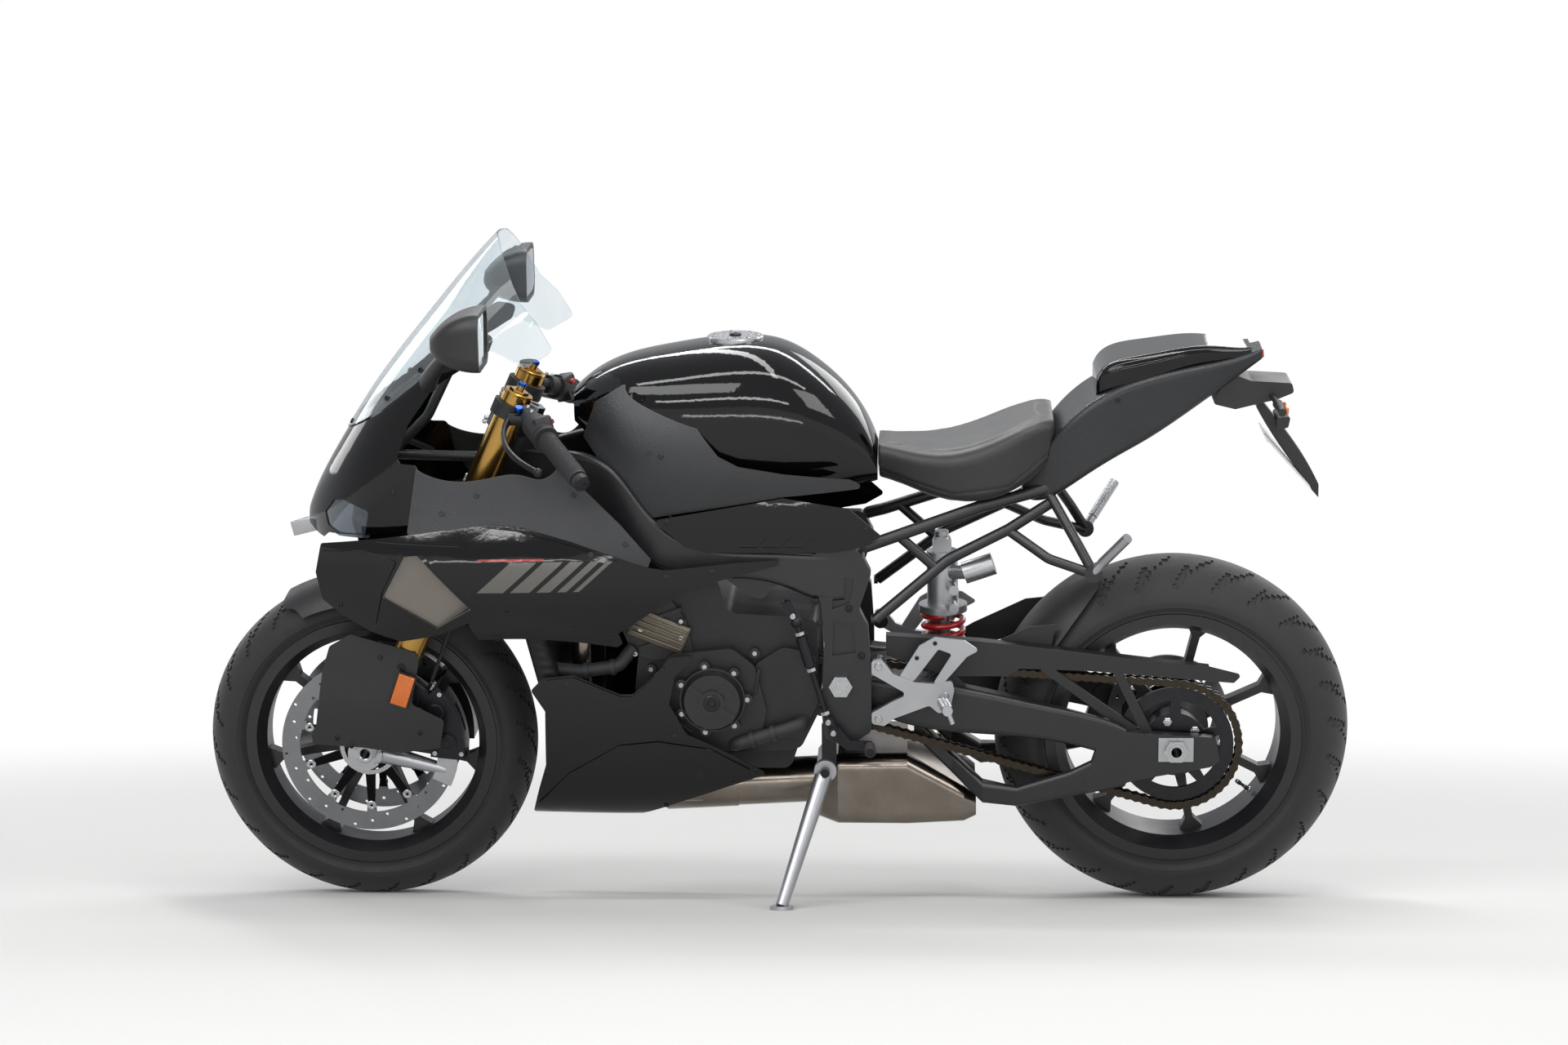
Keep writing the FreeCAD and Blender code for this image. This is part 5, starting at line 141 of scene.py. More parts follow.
@dataclass(frozen=True)
class Finish:
    """What a surface is made of and how it was made."""

    name: str
    tone: str
    roughness: float
    metallic: float = 0.0
    second_tone: str = ""
    blotch_mm: float = 60.0
    bump_mm: float = 0.0
    bump_strength: float = 0.0
    bump_kind: Relief = Relief.NOISE
    rough_spread: float = 0.08
    coat: float = 0.0
    coat_roughness: float = 0.03
    transmission: float = 0.0
    ior: float = 1.5
    sheen: float = 0.0
    centre: Triple = (0.0, 0.0, 0.0)
    # How strongly a highlight is painted along sharp edges
    painted_edge_highlight: float = 0.0
    glow: float = 0.0
    core_tone: str = ""
    core_mm: float = 0.0

    def build(self) -> bpy.types.Material:
        """Builds the procedural material.

        Returns:
            The material with its colour, roughness and relief.
        """
        material = bpy.data.materials.new(self.name)
        material.use_nodes = True
        tree = material.node_tree
        shader = tree.nodes["Principled BSDF"]
        spot = add_node(tree, "TexCoord").outputs["Object"]
        spot = add_node(tree, "Mapping", Vector=spot,
                        Location=[-value for value in self.centre]).outputs["Vector"]
        blotch = add_node(tree, "TexNoise", Vector=spot, Scale=grain(self.blotch_mm),
                          Detail=BLOTCH_DETAIL, Roughness=BLOTCH_ROUGHNESS).outputs["Fac"]
        tones = [colour(self.tone), colour(self.second_tone or self.tone)]
        shade = add_node(tree, "Mix", {"data_type": "RGBA"}, in0=blotch, in6=tones[0],
                         in7=tones[1]).outputs[2]
        # Painted highlight: lightens the colour along sharp edges in place of the shine of a
        # rounded edge
        if self.painted_edge_highlight:
            shade = self.paint_edge_highlights(tree, shade, tones[0])
        if self.core_tone:
            shade = self.dark_core(tree, shade, spot)
        tree.links.new(shade, shader.inputs["Base Color"])
        rough = add_node(tree, "MapRange", Value=blotch, From_Min=BLOTCH_SPAN[0],
                         From_Max=BLOTCH_SPAN[1],
                         To_Min=max(0.0, self.roughness - self.rough_spread / 2),
                         To_Max=self.roughness + self.rough_spread / 2)
        tree.links.new(rough.outputs["Result"], shader.inputs["Roughness"])
        values = {"Metallic": self.metallic, "Coat Weight": self.coat,
                  "Coat Roughness": self.coat_roughness, "Transmission Weight": self.transmission,
                  "Sheen Weight": self.sheen}
        if not self.metallic:
            values["IOR"] = self.ior
        if self.glow:
            values.update({"Emission Color": tones[0], "Emission Strength": self.glow})
        for socket, value in values.items():
            shader.inputs[socket].default_value = value
        if self.bump_strength:
            bump = add_node(tree, "Bump", Height=self.relief(tree, spot),
                            Strength=self.bump_strength, Distance=mm(self.bump_mm) * BUMP_SHARE)
            tree.links.new(bump.outputs["Normal"], shader.inputs["Normal"])
        return material

    def paint_edge_highlights(self, tree: bpy.types.NodeTree, shade: bpy.types.NodeSocket,
                   tone: Sequence[float]) -> bpy.types.NodeSocket:
        """Paints a highlight into a colour along sharp edges, where a rounded edge would catch the
        light.

        Args:
            tree: the node tree.
            shade: the colour so far.
            tone: the finish's plain colour.

        Returns:
            The colour with its painted edge highlights.
        """
        edge = add_node(tree, "Bevel", {"samples": EDGE_SAMPLES}, Radius=mm(EDGE_MM))
        plain = add_node(tree, "NewGeometry")
        bend = add_node(tree, "VectorMath", {"operation": "DOT_PRODUCT"},
                        in0=edge.outputs["Normal"], in1=plain.outputs["Normal"])
        highlight_share = add_node(tree, "MapRange", Value=bend.outputs["Value"], From_Min=EDGE_SPAN[0],
                        From_Max=EDGE_SPAN[1], To_Min=0.0, To_Max=self.painted_edge_highlight)
        # The painted highlight's colour, paler than the finish's own
        pale = tuple(min(1.0, value * EDGE_GAIN + EDGE_LIFT) for value in tone[:3]) + (1.0,)
        return add_node(tree, "Mix", {"data_type": "RGBA"}, in0=highlight_share.outputs["Result"],
                        in6=shade, in7=pale).outputs[2]

    def dark_core(self, tree: bpy.types.NodeTree, shade: bpy.types.NodeSocket,
                  spot: bpy.types.NodeSocket) -> bpy.types.NodeSocket:
        """Darkens a colour near the leaned axis of a wheel, for a disc's carrier.

        Args:
            tree: the node tree.
            shade: the colour so far.
            spot: the coordinates, with their zero on the axis.

        Returns:
            The colour with its dark middle.
        """
        axle = (0.0, math.cos(LEAN), math.sin(LEAN))
        width = add_node(tree, "VectorMath", {"operation": "DOT_PRODUCT"}, in0=spot, in1=axle)
        aside = add_node(tree, "VectorMath", {"operation": "SCALE"}, in0=axle,
                         Scale=width.outputs["Value"])
        flat = add_node(tree, "VectorMath", {"operation": "SUBTRACT"}, in0=spot,
                        in1=aside.outputs["Vector"])
        reach = add_node(tree, "VectorMath", {"operation": "LENGTH"}, in0=flat.outputs["Vector"])
        inside = add_node(tree, "Math", {"operation": "LESS_THAN"}, in0=reach.outputs["Value"],
                          in1=mm(self.core_mm))
        return add_node(tree, "Mix", {"data_type": "RGBA"}, in0=inside.outputs[0], in6=shade,
                        in7=colour(self.core_tone)).outputs[2]

    def relief(self, tree: bpy.types.NodeTree, spot: bpy.types.NodeSocket) -> bpy.types.NodeSocket:
        """Adds the height pattern.

        Args:
            tree: the node tree.
            spot: the coordinates to read.

        Returns:
            The height socket.
        """
        scale = grain(self.bump_mm)
        if self.bump_kind is Relief.CELLS:
            return add_node(tree, "TexVoronoi", {"feature": "SMOOTH_F1"}, Vector=spot, Scale=scale,
                            Smoothness=CELL_SMOOTHNESS).outputs["Distance"]
        if self.bump_kind is Relief.BANDS:
            return add_node(tree, "TexWave", {"wave_type": "BANDS", "bands_direction": "Z"},
                            Vector=spot, Scale=scale / BANDS_PER_SCALE,
                            Distortion=0.0).outputs["Fac"]
        return add_node(tree, "TexNoise", Vector=spot, Scale=scale, Detail=BUMP_DETAIL,
                        Roughness=BUMP_ROUGHNESS).outputs["Fac"]


def centre_of(node: str) -> Triple:
    """The middle of a CAD node's box, in metres."""
    low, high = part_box(node)
    return tuple((a + b) / 2 for a, b in zip(low, high))


FRONT_HUB = centre_of("front_rim")
REAR_HUB = centre_of("rear_rim")

# Two-part lacquer on moulded ABS: deep and wet looking, with a faint orange peel
GLOSS_LACQUER = Finish("gloss_lacquer", "050506", 0.05, second_tone="070708", rough_spread=0.02,
                       ior=1.42, bump_mm=6, bump_strength=0.02)
# Satin paint over ABS panels: soft dark grey, its fine pebble drawn coarser than it is, with a
# painted highlight along its edges
SATIN_PAINT = Finish("satin_paint", "1B1C1E", 0.38, metallic=0.2, second_tone="202123", bump_mm=2.6,
                     bump_strength=0.22, bump_kind=Relief.CELLS, painted_edge_highlight=0.3)
# Moulded ABS straight from the tool: fine spark-eroded grain, with a painted highlight along its
# edges
MOULDED_ABS = Finish("moulded_abs", "101012", 0.48, second_tone="151517", bump_mm=0.8,
                     bump_strength=0.25, painted_edge_highlight=0.4)
# Vulcanised tyre rubber: dusty black with a bloom of grey
TYRE_RUBBER = Finish("tyre_rubber", "0F0F10", 0.7, second_tone="171717", blotch_mm=25, bump_mm=1.5,
                     bump_strength=0.3, sheen=0.15)
# Powder coat over die-cast aluminium: a soft pebbled black, with a painted highlight along its
# edges
POWDER_CAST = Finish("powder_coated_casting", "141416", 0.36, second_tone="1A1A1D", bump_mm=1.6,
                     bump_strength=0.18, painted_edge_highlight=0.5)
# Sand-cast engine aluminium under grey paint: dull and rough, with a painted highlight along its
# edges
ENGINE_PAINT = Finish("engine_paint", "242426", 0.44, metallic=0.5, second_tone="2C2B2B",
                      bump_mm=1.4, bump_strength=0.35, painted_edge_highlight=0.6)
# Die-cast covers under satin black paint: smooth and dark, with a painted highlight along their
# edges
COVER_PAINT = Finish("cover_paint", "111113", 0.33, second_tone="17171A", bump_mm=1.0,
                     bump_strength=0.2, painted_edge_highlight=0.6)
# Gold anodised fork tube, ground along its length: a warm, even shine
GOLD_ANODISED = Finish("gold_anodised_tube", "B5904F", 0.24, metallic=1.0, second_tone="A98344",
                       bump_mm=0.8, bump_strength=0.06)
# Ground stainless brake ring: a soft grey shine round a dark anodised carrier
DISC_STEEL = Finish("ground_disc_steel", "77787A", 0.3, metallic=1.0, second_tone="88898B",
                    bump_mm=1.2, bump_strength=0.1, centre=FRONT_HUB, core_tone="161618",
                    core_mm=121)
# The rear brake ring, of the same steel round a smaller dark carrier
REAR_DISC_STEEL = Finish("rear_disc_steel", "77787A", 0.3, metallic=1.0, second_tone="88898B",
                         bump_mm=1.2, bump_strength=0.1, centre=REAR_HUB, core_tone="161618",
                         core_mm=80)
# Oiled chain plates: brown and blotchy, with a wet shine
CHAIN_STEEL = Finish("oiled_chain_steel", "4A4238", 0.32, metallic=1.0, second_tone="2E2A26",
                     blotch_mm=6, bump_mm=0.6, bump_strength=0.1)
# Blackened steel of sprockets and small screws: dark, with a dull shine
DARK_STEEL = Finish("blackened_steel", "3A3A3C", 0.35, metallic=1.0, second_tone="2E2E30",
                    blotch_mm=12, bump_mm=0.8, bump_strength=0.08)
# Turned and zinc plated steel of axles and bolts: pale and clean
BRIGHT_STEEL = Finish("turned_steel", "A9AAAC", 0.27, metallic=1.0, second_tone="BDBEC0",
                      blotch_mm=9, bump_mm=0.7, bump_strength=0.06)
# Hard anodised aluminium: near black with a metal's sheen and a painted highlight along its edges
BLACK_ANODISED = Finish("black_anodised", "1B1B1E", 0.34, metallic=0.6, second_tone="212125",
                        bump_mm=0.6, bump_strength=0.1, painted_edge_highlight=0.5)
# Silver coated forgings of stand, pegs and brackets: pale, with a fine even grain
SILVER_FORGING = Finish("silver_forging", "A4A5A8", 0.34, metallic=0.9, second_tone="B2B3B6",
                        bump_mm=0.9, bump_strength=0.12)
# Nitrile rubber of grips and hoses: dull black with a coarse skin
GRIP_RUBBER = Finish("grip_rubber", "18181A", 0.66, second_tone="1F1F21", bump_mm=1.2,
                     bump_strength=0.4)
# Vinyl seat cover: soft black with a pebble grain and a faint bloom
SEAT_VINYL = Finish("seat_vinyl", "0E0E0F", 0.44, second_tone="131314", bump_mm=1.4,
                    bump_strength=0.35, bump_kind=Relief.CELLS, sheen=0.1)
# Moulded acrylic screen: clear, its low IOR standing for a thin wall
CLEAR_ACRYLIC = Finish("clear_acrylic", "E9F0F3", 0.02, transmission=0.96, ior=1.3,
                       rough_spread=0.0)
# Stainless exhaust: silver, with large patches of straw and bronze from heat
TINTED_STAINLESS = Finish("heat_tinted_stainless", "9A9289", 0.22, metallic=1.0,
                          second_tone="5E544A", blotch_mm=90, bump_mm=1.0, bump_strength=0.08)
# Radiator core: black, with level rows of fins
RADIATOR_FINS = Finish("radiator_fins", "101011", 0.5, metallic=0.4, second_tone="161617",
                       bump_mm=2.5, bump_strength=0.9, bump_kind=Relief.BANDS)
# Baked white enamel of a blank plate: even and faintly glossy
WHITE_ENAMEL = Finish("white_enamel", "DEDEDC", 0.35, second_tone="E6E6E4", bump_mm=4,
                      bump_strength=0.03)
# Moulded polycarbonate lens of the headlamps: smoky and clear
LAMP_GLASS = Finish("lamp_polycarbonate", "5C6670", 0.04, transmission=0.75, ior=1.45,
                    rough_spread=0.0, coat=0.5)
# Red polycarbonate of the tail lamp: deep red over level ribs, with a faint glow
RED_LENS = Finish("red_polycarbonate", "8A0D10", 0.12, second_tone="9C1216", coat=0.6, bump_mm=3,
                  bump_strength=0.3, bump_kind=Relief.BANDS, glow=0.15)
# Amber polycarbonate of reflectors and turn signals: orange over small prisms
AMBER_LENS = Finish("amber_polycarbonate", "C8640A", 0.16, second_tone="B8560A", coat=0.5,
                    bump_mm=2.5, bump_strength=0.6, bump_kind=Relief.CELLS)
# Silvered mirror glass: a clean, bright reflection
MIRROR_GLASS = Finish("silvered_glass", "D8DCDF", 0.02, metallic=1.0, rough_spread=0.0)
# Black glass over the instrument's screen: dark, with sharp reflections
DARK_GLASS = Finish("display_glass", "06080A", 0.05, second_tone="07090C", coat=1.0,
                    rough_spread=0.0)
# Grey stripe printed under lacquer: flat grey with a gloss over it
GREY_STRIPE = Finish("grey_printed_stripe", "55544F", 0.2, metallic=0.4, second_tone="5C5A56",
                     coat=0.4, bump_mm=5, bump_strength=0.02)
# Bare sand-cast head: rough grey metal, browned by heat
HEAD_CASTING = Finish("head_casting_metal", "6E665A", 0.46, metallic=0.7, second_tone="5C554B",
                      blotch_mm=18, bump_mm=1.2, bump_strength=0.4)
# Warm grey metallic paint inside the side ducts: smooth, with a soft shine
DUCT_GREY = Finish("duct_metallic_paint", "6A655F", 0.32, metallic=0.6, second_tone="736E67",
                   bump_mm=1.0, bump_strength=0.06)
# Red moulded switch button: a plain, slightly dull red
RED_BUTTON = Finish("red_moulded_button", "A51212", 0.4, second_tone="981010", bump_mm=0.8,
                    bump_strength=0.1)
# Blue anodised adjusters: a clear metallic blue
BLUE_ANODISED = Finish("blue_anodised", "1D4FA8", 0.26, metallic=1.0, second_tone="184492",
                       bump_mm=0.6, bump_strength=0.05)
# Red powder coat of spring wire and thin line: an even, glossy red
RED_ENAMEL = Finish("red_enamel", "A81616", 0.3, second_tone="981212", coat=0.4, bump_mm=1.0,
                    bump_strength=0.05)


class Place(Enum):
    """The CAD nodes and the finish each one wears."""

    FRONT_TYRE = ("front_tyre", TYRE_RUBBER)
    REAR_TYRE = ("rear_tyre", TYRE_RUBBER)
    FRONT_RIM = ("front_rim", POWDER_CAST)
    REAR_RIM = ("rear_rim", POWDER_CAST)
    MAIN_FRAME = ("main_frame", POWDER_CAST)
    SWINGARM = ("swingarm", POWDER_CAST)
    SUBFRAME = ("subframe", POWDER_CAST)
    ENGINE_BLOCK = ("engine_block", ENGINE_PAINT)
    ENGINE_COVERS = ("engine_covers", COVER_PAINT)
    FRONT_DISCS = ("front_discs", DISC_STEEL)
    REAR_DISC = ("rear_disc", REAR_DISC_STEEL)
    CHAIN = ("chain", CHAIN_STEEL)
    REAR_SPROCKET = ("rear_sprocket", DARK_STEEL)
    FRONT_SPROCKET = ("front_sprocket", DARK_STEEL)
    FRONT_AXLE = ("front_axle", BRIGHT_STEEL)
    REAR_AXLE = ("rear_axle", BRIGHT_STEEL)
    SWINGARM_PIVOT = ("swingarm_pivot", BRIGHT_STEEL)
    FORK_TUBES = ("fork_tubes", GOLD_ANODISED)
    FORK_SLIDERS = ("fork_sliders", BLACK_ANODISED)
    UPPER_CLAMP = ("upper_clamp", BLACK_ANODISED)
    LOWER_CLAMP = ("lower_clamp", BLACK_ANODISED)
    STEERING_STEM = ("steering_stem", BRIGHT_STEEL)
    HANDLEBAR_LEFT = ("handlebar_left", GRIP_RUBBER)
    HANDLEBAR_RIGHT = ("handlebar_right", GRIP_RUBBER)
    LEVERS = ("levers", BLACK_ANODISED)
    FRONT_FENDER = ("front_fender", MOULDED_ABS)
    FUEL_TANK = ("fuel_tank", GLOSS_LACQUER)
    TANK_COVERS = ("tank_covers", SATIN_PAINT)
    FUEL_CAP = ("fuel_cap", BRIGHT_STEEL)
    RIDER_SEAT = ("rider_seat", SEAT_VINYL)
    PILLION_SEAT = ("pillion_seat", GLOSS_LACQUER)
    TAIL_FAIRING = ("tail_fairing", SATIN_PAINT)
    FRONT_COWL = ("front_cowl", GLOSS_LACQUER)
    WINDSCREEN = ("windscreen", CLEAR_ACRYLIC)
    SIDE_FAIRINGS = ("side_fairings", GLOSS_LACQUER)
    BELLY_PANS = ("belly_pans", GLOSS_LACQUER)
    COCKPIT_PANELS = ("cockpit_panels", SATIN_PAINT)
    EXHAUST = ("exhaust", TINTED_STAINLESS)
    RADIATOR = ("radiator", RADIATOR_FINS)
    SHOCK_ABSORBER = ("shock_absorber", SILVER_FORGING)
    FOOTRESTS = ("footrests", SILVER_FORGING)
    SIDE_STAND = ("side_stand", SILVER_FORGING)
    STAND_BRACKET = ("stand_bracket", DARK_STEEL)
    MIRRORS = ("mirrors", MOULDED_ABS)
    PLATE_BRACKET = ("plate_bracket", MOULDED_ABS)
    LICENCE_PLATE = ("licence_plate", WHITE_ENAMEL)
    FRONT_CALIPERS = ("front_calipers", BLACK_ANODISED)
    FORK_FEET = ("fork_feet", SILVER_FORGING)
    FORK_COVERS = ("fork_covers", MOULDED_ABS)
    BRAKE_HOSES = ("brake_hoses", GRIP_RUBBER)
    CHAIN_GUARD = ("chain_guard", MOULDED_ABS)
    REAR_HUGGER = ("rear_hugger", MOULDED_ABS)
    AXLE_PLATES = ("axle_plates", SILVER_FORGING)
    PASSENGER_FOOTRESTS = ("passenger_footrests", SILVER_FORGING)
    FOOT_LEVERS = ("foot_levers", BLACK_ANODISED)
    COOLANT_HOSES = ("coolant_hoses", GRIP_RUBBER)
    SHOCK_SPRING = ("shock_spring", RED_ENAMEL)
    HEADLAMPS = ("headlamps", LAMP_GLASS)
    INSTRUMENT_PANEL = ("instrument_panel", MOULDED_ABS)
    FRAME_COVERS = ("frame_covers", GLOSS_LACQUER)


class Workshop:
    """Keeps the built materials and dresses CAD nodes and new pieces with them."""

    def __init__(self) -> None:
        """Starts with no materials."""
        self.materials: dict[str, bpy.types.Material] = {}

    def material(self, finish: Finish) -> bpy.types.Material:
        """The finish's material, built once.

        Args:
            finish: the finish.

        Returns:
            Its material.
        """
        if finish.name not in self.materials:
            self.materials[finish.name] = finish.build()
        return self.materials[finish.name]

    def dress(self, node: str, finish: Finish) -> None:
        """Gives a CAD node its finish.

        Args:
            node: the node's name.
            finish: the finish.
        """
        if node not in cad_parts:
            LOG.info("no node %s", node)
            return
        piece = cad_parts[node]
        piece.data.materials.clear()
        piece.data.materials.append(self.material(finish))


# Places on the leaned motorcycle


STANCE_SHIFT = Vector((-0.0102, 0.248346, 0.0))
LEANED = Matrix.Rotation(LEAN, 4, "X")
BESIDE_MM = 500
WELD_MM = 0.01
TOP_SHARE = 0.9
START_MM = 1.0
MIDDLE_MM = 20


def on_bike(back: float, right: float, up: float) -> Vector:
    """A place in the upright motorcycle's own millimetres, in the leaned frame's metres."""
    return LEANED @ Vector((mm(back), mm(right), mm(up))) + STANCE_SHIFT


def bike_way(back: float, right: float, up: float) -> Vector:
    """A direction of the upright motorcycle in the leaned frame."""
    return LEANED.to_3x3() @ Vector((back, right, up)).normalized()


def facing(spot: Vector, way: Vector) -> Matrix:
    """The move that takes a piece made along Z to a spot, with its top towards a direction."""
    return Matrix.Translation(spot) @ way.to_track_quat("Z", "Y").to_matrix().to_4x4()


def surface_spot(node: str, back: float, up: float, side: int) -> Optional[Spot]:
    """Finds where a level line from one side first meets a CAD node.

    Args:
        node: the node's name.
        back: millimetres behind the motorcycle's zero.
        up: millimetres above the ground.
        side: -1 for the left and 1 for the right.

    Returns:
        The place on the surface and its outward normal, or nothing where the line misses it.
    """
    start = on_bike(back, side * BESIDE_MM, up)
    hit, spot, normal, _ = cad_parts[node].ray_cast(start, bike_way(0, -side, 0))
    if not hit:
        LOG.info("no surface of %s at %.0f, %.0f", node, back, up)
        return None
    return spot, normal


def surface_spots(node: str, rows: Pairs) -> list[Spot]:
    """Places on both sides of a CAD node, leaving out those where it isn't."""
    found = [surface_spot(node, back, up, side) for _, side in SIDES for back, up in rows]
    return [spot for spot in found if spot]


def side_spots(places: Pairs, reach: float, sides: Sequence[int] = (-1, 1),
               way: Optional[Vector] = None) -> list[Spot]:
    """Places at one distance from the motorcycle's middle.

    Args:
        places: back and up of each, in the upright motorcycle's millimetres.
        reach: their distance from the middle.
        sides: -1 for the left and 1 for the right.
        way: where they look, or nothing where they look sideways.

    Returns:
        Each place with its direction.
    """
    return [(on_bike(back, side * reach, up), bike_way(0, side, 0) if way is None else way)
            for side in sides for back, up in places]


def ring_of(centre: Vector, radius: float, count: int, side: float, out: float,
            first: float = 0.0) -> list[Spot]:
    """Places at even pitch round an axis across the motorcycle.

    Args:
        centre: the middle of the ring, in metres.
        radius: of the ring, in millimetres.
        count: how many places.
        side: -1 for an axis that looks to the left and 1 for the right.
        out: how far the ring lies from its middle along the axis, in millimetres.
        first: the first place's angle, in radians.

    Returns:
        Each place with its outward direction.
    """
    outward = bike_way(0, side, 0)
    spots = []
    for number in range(count):
        turn = math.tau * number / count + first
        spot = centre + bike_way(math.cos(turn), 0, math.sin(turn)) * mm(radius)
        spots.append((spot + outward * mm(out), outward))
    return spots


# Modelling steps


def lay_down() -> None:
    """Leaves edit mode and deselects everything."""
    if bpy.context.object and bpy.context.object.mode != "OBJECT":
        bpy.ops.object.mode_set(mode="OBJECT")
    bpy.ops.object.select_all(action="DESELECT")


def pick_up(piece: bpy.types.Object) -> None:
    """Selects one piece alone and makes it the active one.

    Args:
        piece: the piece.
    """
    lay_down()
    piece.select_set(True)
    bpy.context.view_layer.objects.active = piece


def open_mesh(piece: bpy.types.Object) -> None:
    """Opens a piece in edit mode with everything selected.

    Args:
        piece: the piece.
    """
    pick_up(piece)
    bpy.ops.object.mode_set(mode="EDIT")
    bpy.ops.mesh.select_all(action="SELECT")


def select_faces(piece: bpy.types.Object, test: Callable[[bmesh.types.BMFace], bool]) -> int:
    """Selects the faces of a piece in edit mode that pass a test.

    Args:
        piece: the piece, in edit mode.
        test: tells whether a face is wanted.

    Returns:
        How many faces are selected.
    """
    bpy.ops.mesh.select_mode(type="FACE")
    bpy.ops.mesh.select_all(action="DESELECT")
    mesh = bmesh.from_edit_mesh(piece.data)
    count = 0
    for face in mesh.faces:
        if test(face):
            face.select_set(True)
            count += 1
    bmesh.update_edit_mesh(piece.data)
    return count


def press_in(depth_mm: float) -> None:
    """Pushes the selected faces into the piece and leaves edit mode."""
    bpy.ops.mesh.extrude_region_shrink_fatten(
        TRANSFORM_OT_shrink_fatten={"value": -mm(depth_mm)})
    bpy.ops.object.mode_set(mode="OBJECT")


def add_modifier(piece: bpy.types.Object, kind: str, **settings: object) -> None:
    """Adds a modifier and applies it.

    Args:
        piece: the piece.
        kind: the modifier's type.
        settings: its attributes.
    """
    pick_up(piece)
    modifier = piece.modifiers.new(kind.lower(), kind)
    for name, value in settings.items():
        setattr(modifier, name, value)
    bpy.ops.object.modifier_apply(modifier=modifier.name)


def soften(piece: bpy.types.Object, width_mm: float, segments: int, degrees: float = 30.0) -> None:
    """Rounds a piece's sharp edges."""
    add_modifier(piece, "BEVEL", width=mm(width_mm), segments=segments, limit_method="ANGLE",
                 angle_limit=math.radians(degrees))


def traced(points: Sequence[Triple]) -> bpy.types.Object:
    """Draws a wire through points by extruding one corner from the next.

    Args:
        points: places in metres; the last may repeat the first to close the wire.

    Returns:
        The new piece, in edit mode with everything selected.
    """
    lay_down()
    bpy.ops.mesh.primitive_plane_add(size=mm(START_MM))
    piece = bpy.context.object
    open_mesh(piece)
    bpy.ops.mesh.select_mode(type="VERT")
    bpy.ops.mesh.merge(type="CENTER")
    bpy.ops.transform.translate(value=points[0])
    for last, point in zip(points, points[1:]):
        step = tuple(b - a for a, b in zip(last, point))
        bpy.ops.mesh.extrude_vertices_move(TRANSFORM_OT_translate={"value": step})
    bpy.ops.mesh.select_all(action="SELECT")
    return piece


def lathe(profile: Pairs, steps: int) -> bpy.types.Object:
    """Turns a profile once round Z.

    Args:
        profile: radius and height pairs in millimetres, at radius zero on the axis.
        steps: facets round the turn.

    Returns:
        The closed piece about zero.
    """
    piece = traced([(mm(radius), 0.0, mm(height)) for radius, height in profile])
    bpy.ops.mesh.spin(steps=steps, angle=math.tau, center=(0, 0, 0), axis=(0, 0, 1))
    bpy.ops.mesh.select_all(action="SELECT")
    bpy.ops.mesh.remove_doubles(threshold=mm(WELD_MM))
    bpy.ops.mesh.normals_make_consistent(inside=False)
    bpy.ops.object.mode_set(mode="OBJECT")
    return piece


def copies(piece: bpy.types.Object, moves: Sequence[Matrix]) -> bpy.types.Object:
    """Copies a piece to several places, each with its own mesh, and joins them.

    Args:
        piece: the piece about zero, which goes.
        moves: where each copy goes.

    Returns:
        The joined copies.
    """
    made = []
    for move in moves:
        twin = piece.copy()
        twin.data = piece.data.copy()
        twin.data.transform(move)
        bpy.context.scene.collection.objects.link(twin)
        made.append(twin)
    bpy.data.objects.remove(piece)
    return joined(made)


def joined(pieces: Sequence[bpy.types.Object]) -> bpy.types.Object:
    """Joins pieces into the first of them.

    Args:
        pieces: two or more pieces.

    Returns:
        The joined piece.
    """
    pick_up(pieces[0])
    for piece in pieces[1:]:
        piece.select_set(True)
    bpy.ops.object.join()
    return bpy.context.object


def copy_of(node: str) -> bpy.types.Object:
    """Copies a CAD node's mesh and merges its corners.

    Args:
        node: the node's name.

    Returns:
        The copy, in edit mode with everything selected.
    """
    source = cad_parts[node]
    lay_down()
    piece = bpy.data.objects.new(node + "_copy", source.data.copy())
    bpy.context.scene.collection.objects.link(piece)
    piece.data.materials.clear()
    open_mesh(piece)
    bpy.ops.mesh.remove_doubles(threshold=mm(WELD_MM))
    return piece


def peel(node: str, cuts: Sequence[Spot], side: int, lift_mm: float = 0.4,
         steepness: float = 0.35) -> bpy.types.Object:
    """Makes a thin layer that follows a CAD panel's outer face between cutting planes.

    Args:
        node: the panel's node.
        cuts: a place and an outward direction for each plane; what lies beyond it goes.
        side: -1 for the left and 1 for the right.
        lift_mm: the layer's thickness.
        steepness: how squarely a face must look sideways to be kept.

    Returns:
        The layer.
    """
    piece = copy_of(node)
    outward = bike_way(0, side, 0)
    for place, way in cuts:
        bpy.ops.mesh.select_all(action="SELECT")
        bpy.ops.mesh.bisect(plane_co=place, plane_no=way, clear_outer=True)
    select_faces(piece, lambda face: face.normal.dot(outward) < steepness)
    bpy.ops.mesh.delete(type="FACE")
    bpy.ops.object.mode_set(mode="OBJECT")
    add_modifier(piece, "SOLIDIFY", thickness=mm(lift_mm), offset=1.0)
    return piece


def band_cuts(outline: Pairs, side: int) -> list[Spot]:
    """Cutting planes square to the centre plane through the edges of a convex outline.

    Args:
        outline: back and up in millimetres.
        side: -1 for the left and 1 for the right.

    Returns:
        A place and an outward direction for each edge, with one that drops the other side.
    """
    cuts = [(on_bike(0, side * MIDDLE_MM, 0), bike_way(0, -side, 0))]
    middle = [sum(values) / len(outline) for values in zip(*outline)]
    for (back, up), (next_back, next_up) in zip(outline, list(outline[1:]) + [outline[0]]):
        way = Vector((next_up - up, 0, back - next_back))
        if way.x * (middle[0] - back) + way.z * (middle[1] - up) > 0:
            way = -way
        cuts.append((on_bike(back, 0, up), bike_way(way.x, 0, way.z)))
    return cuts


# Shapes that the sub-assemblies are made of


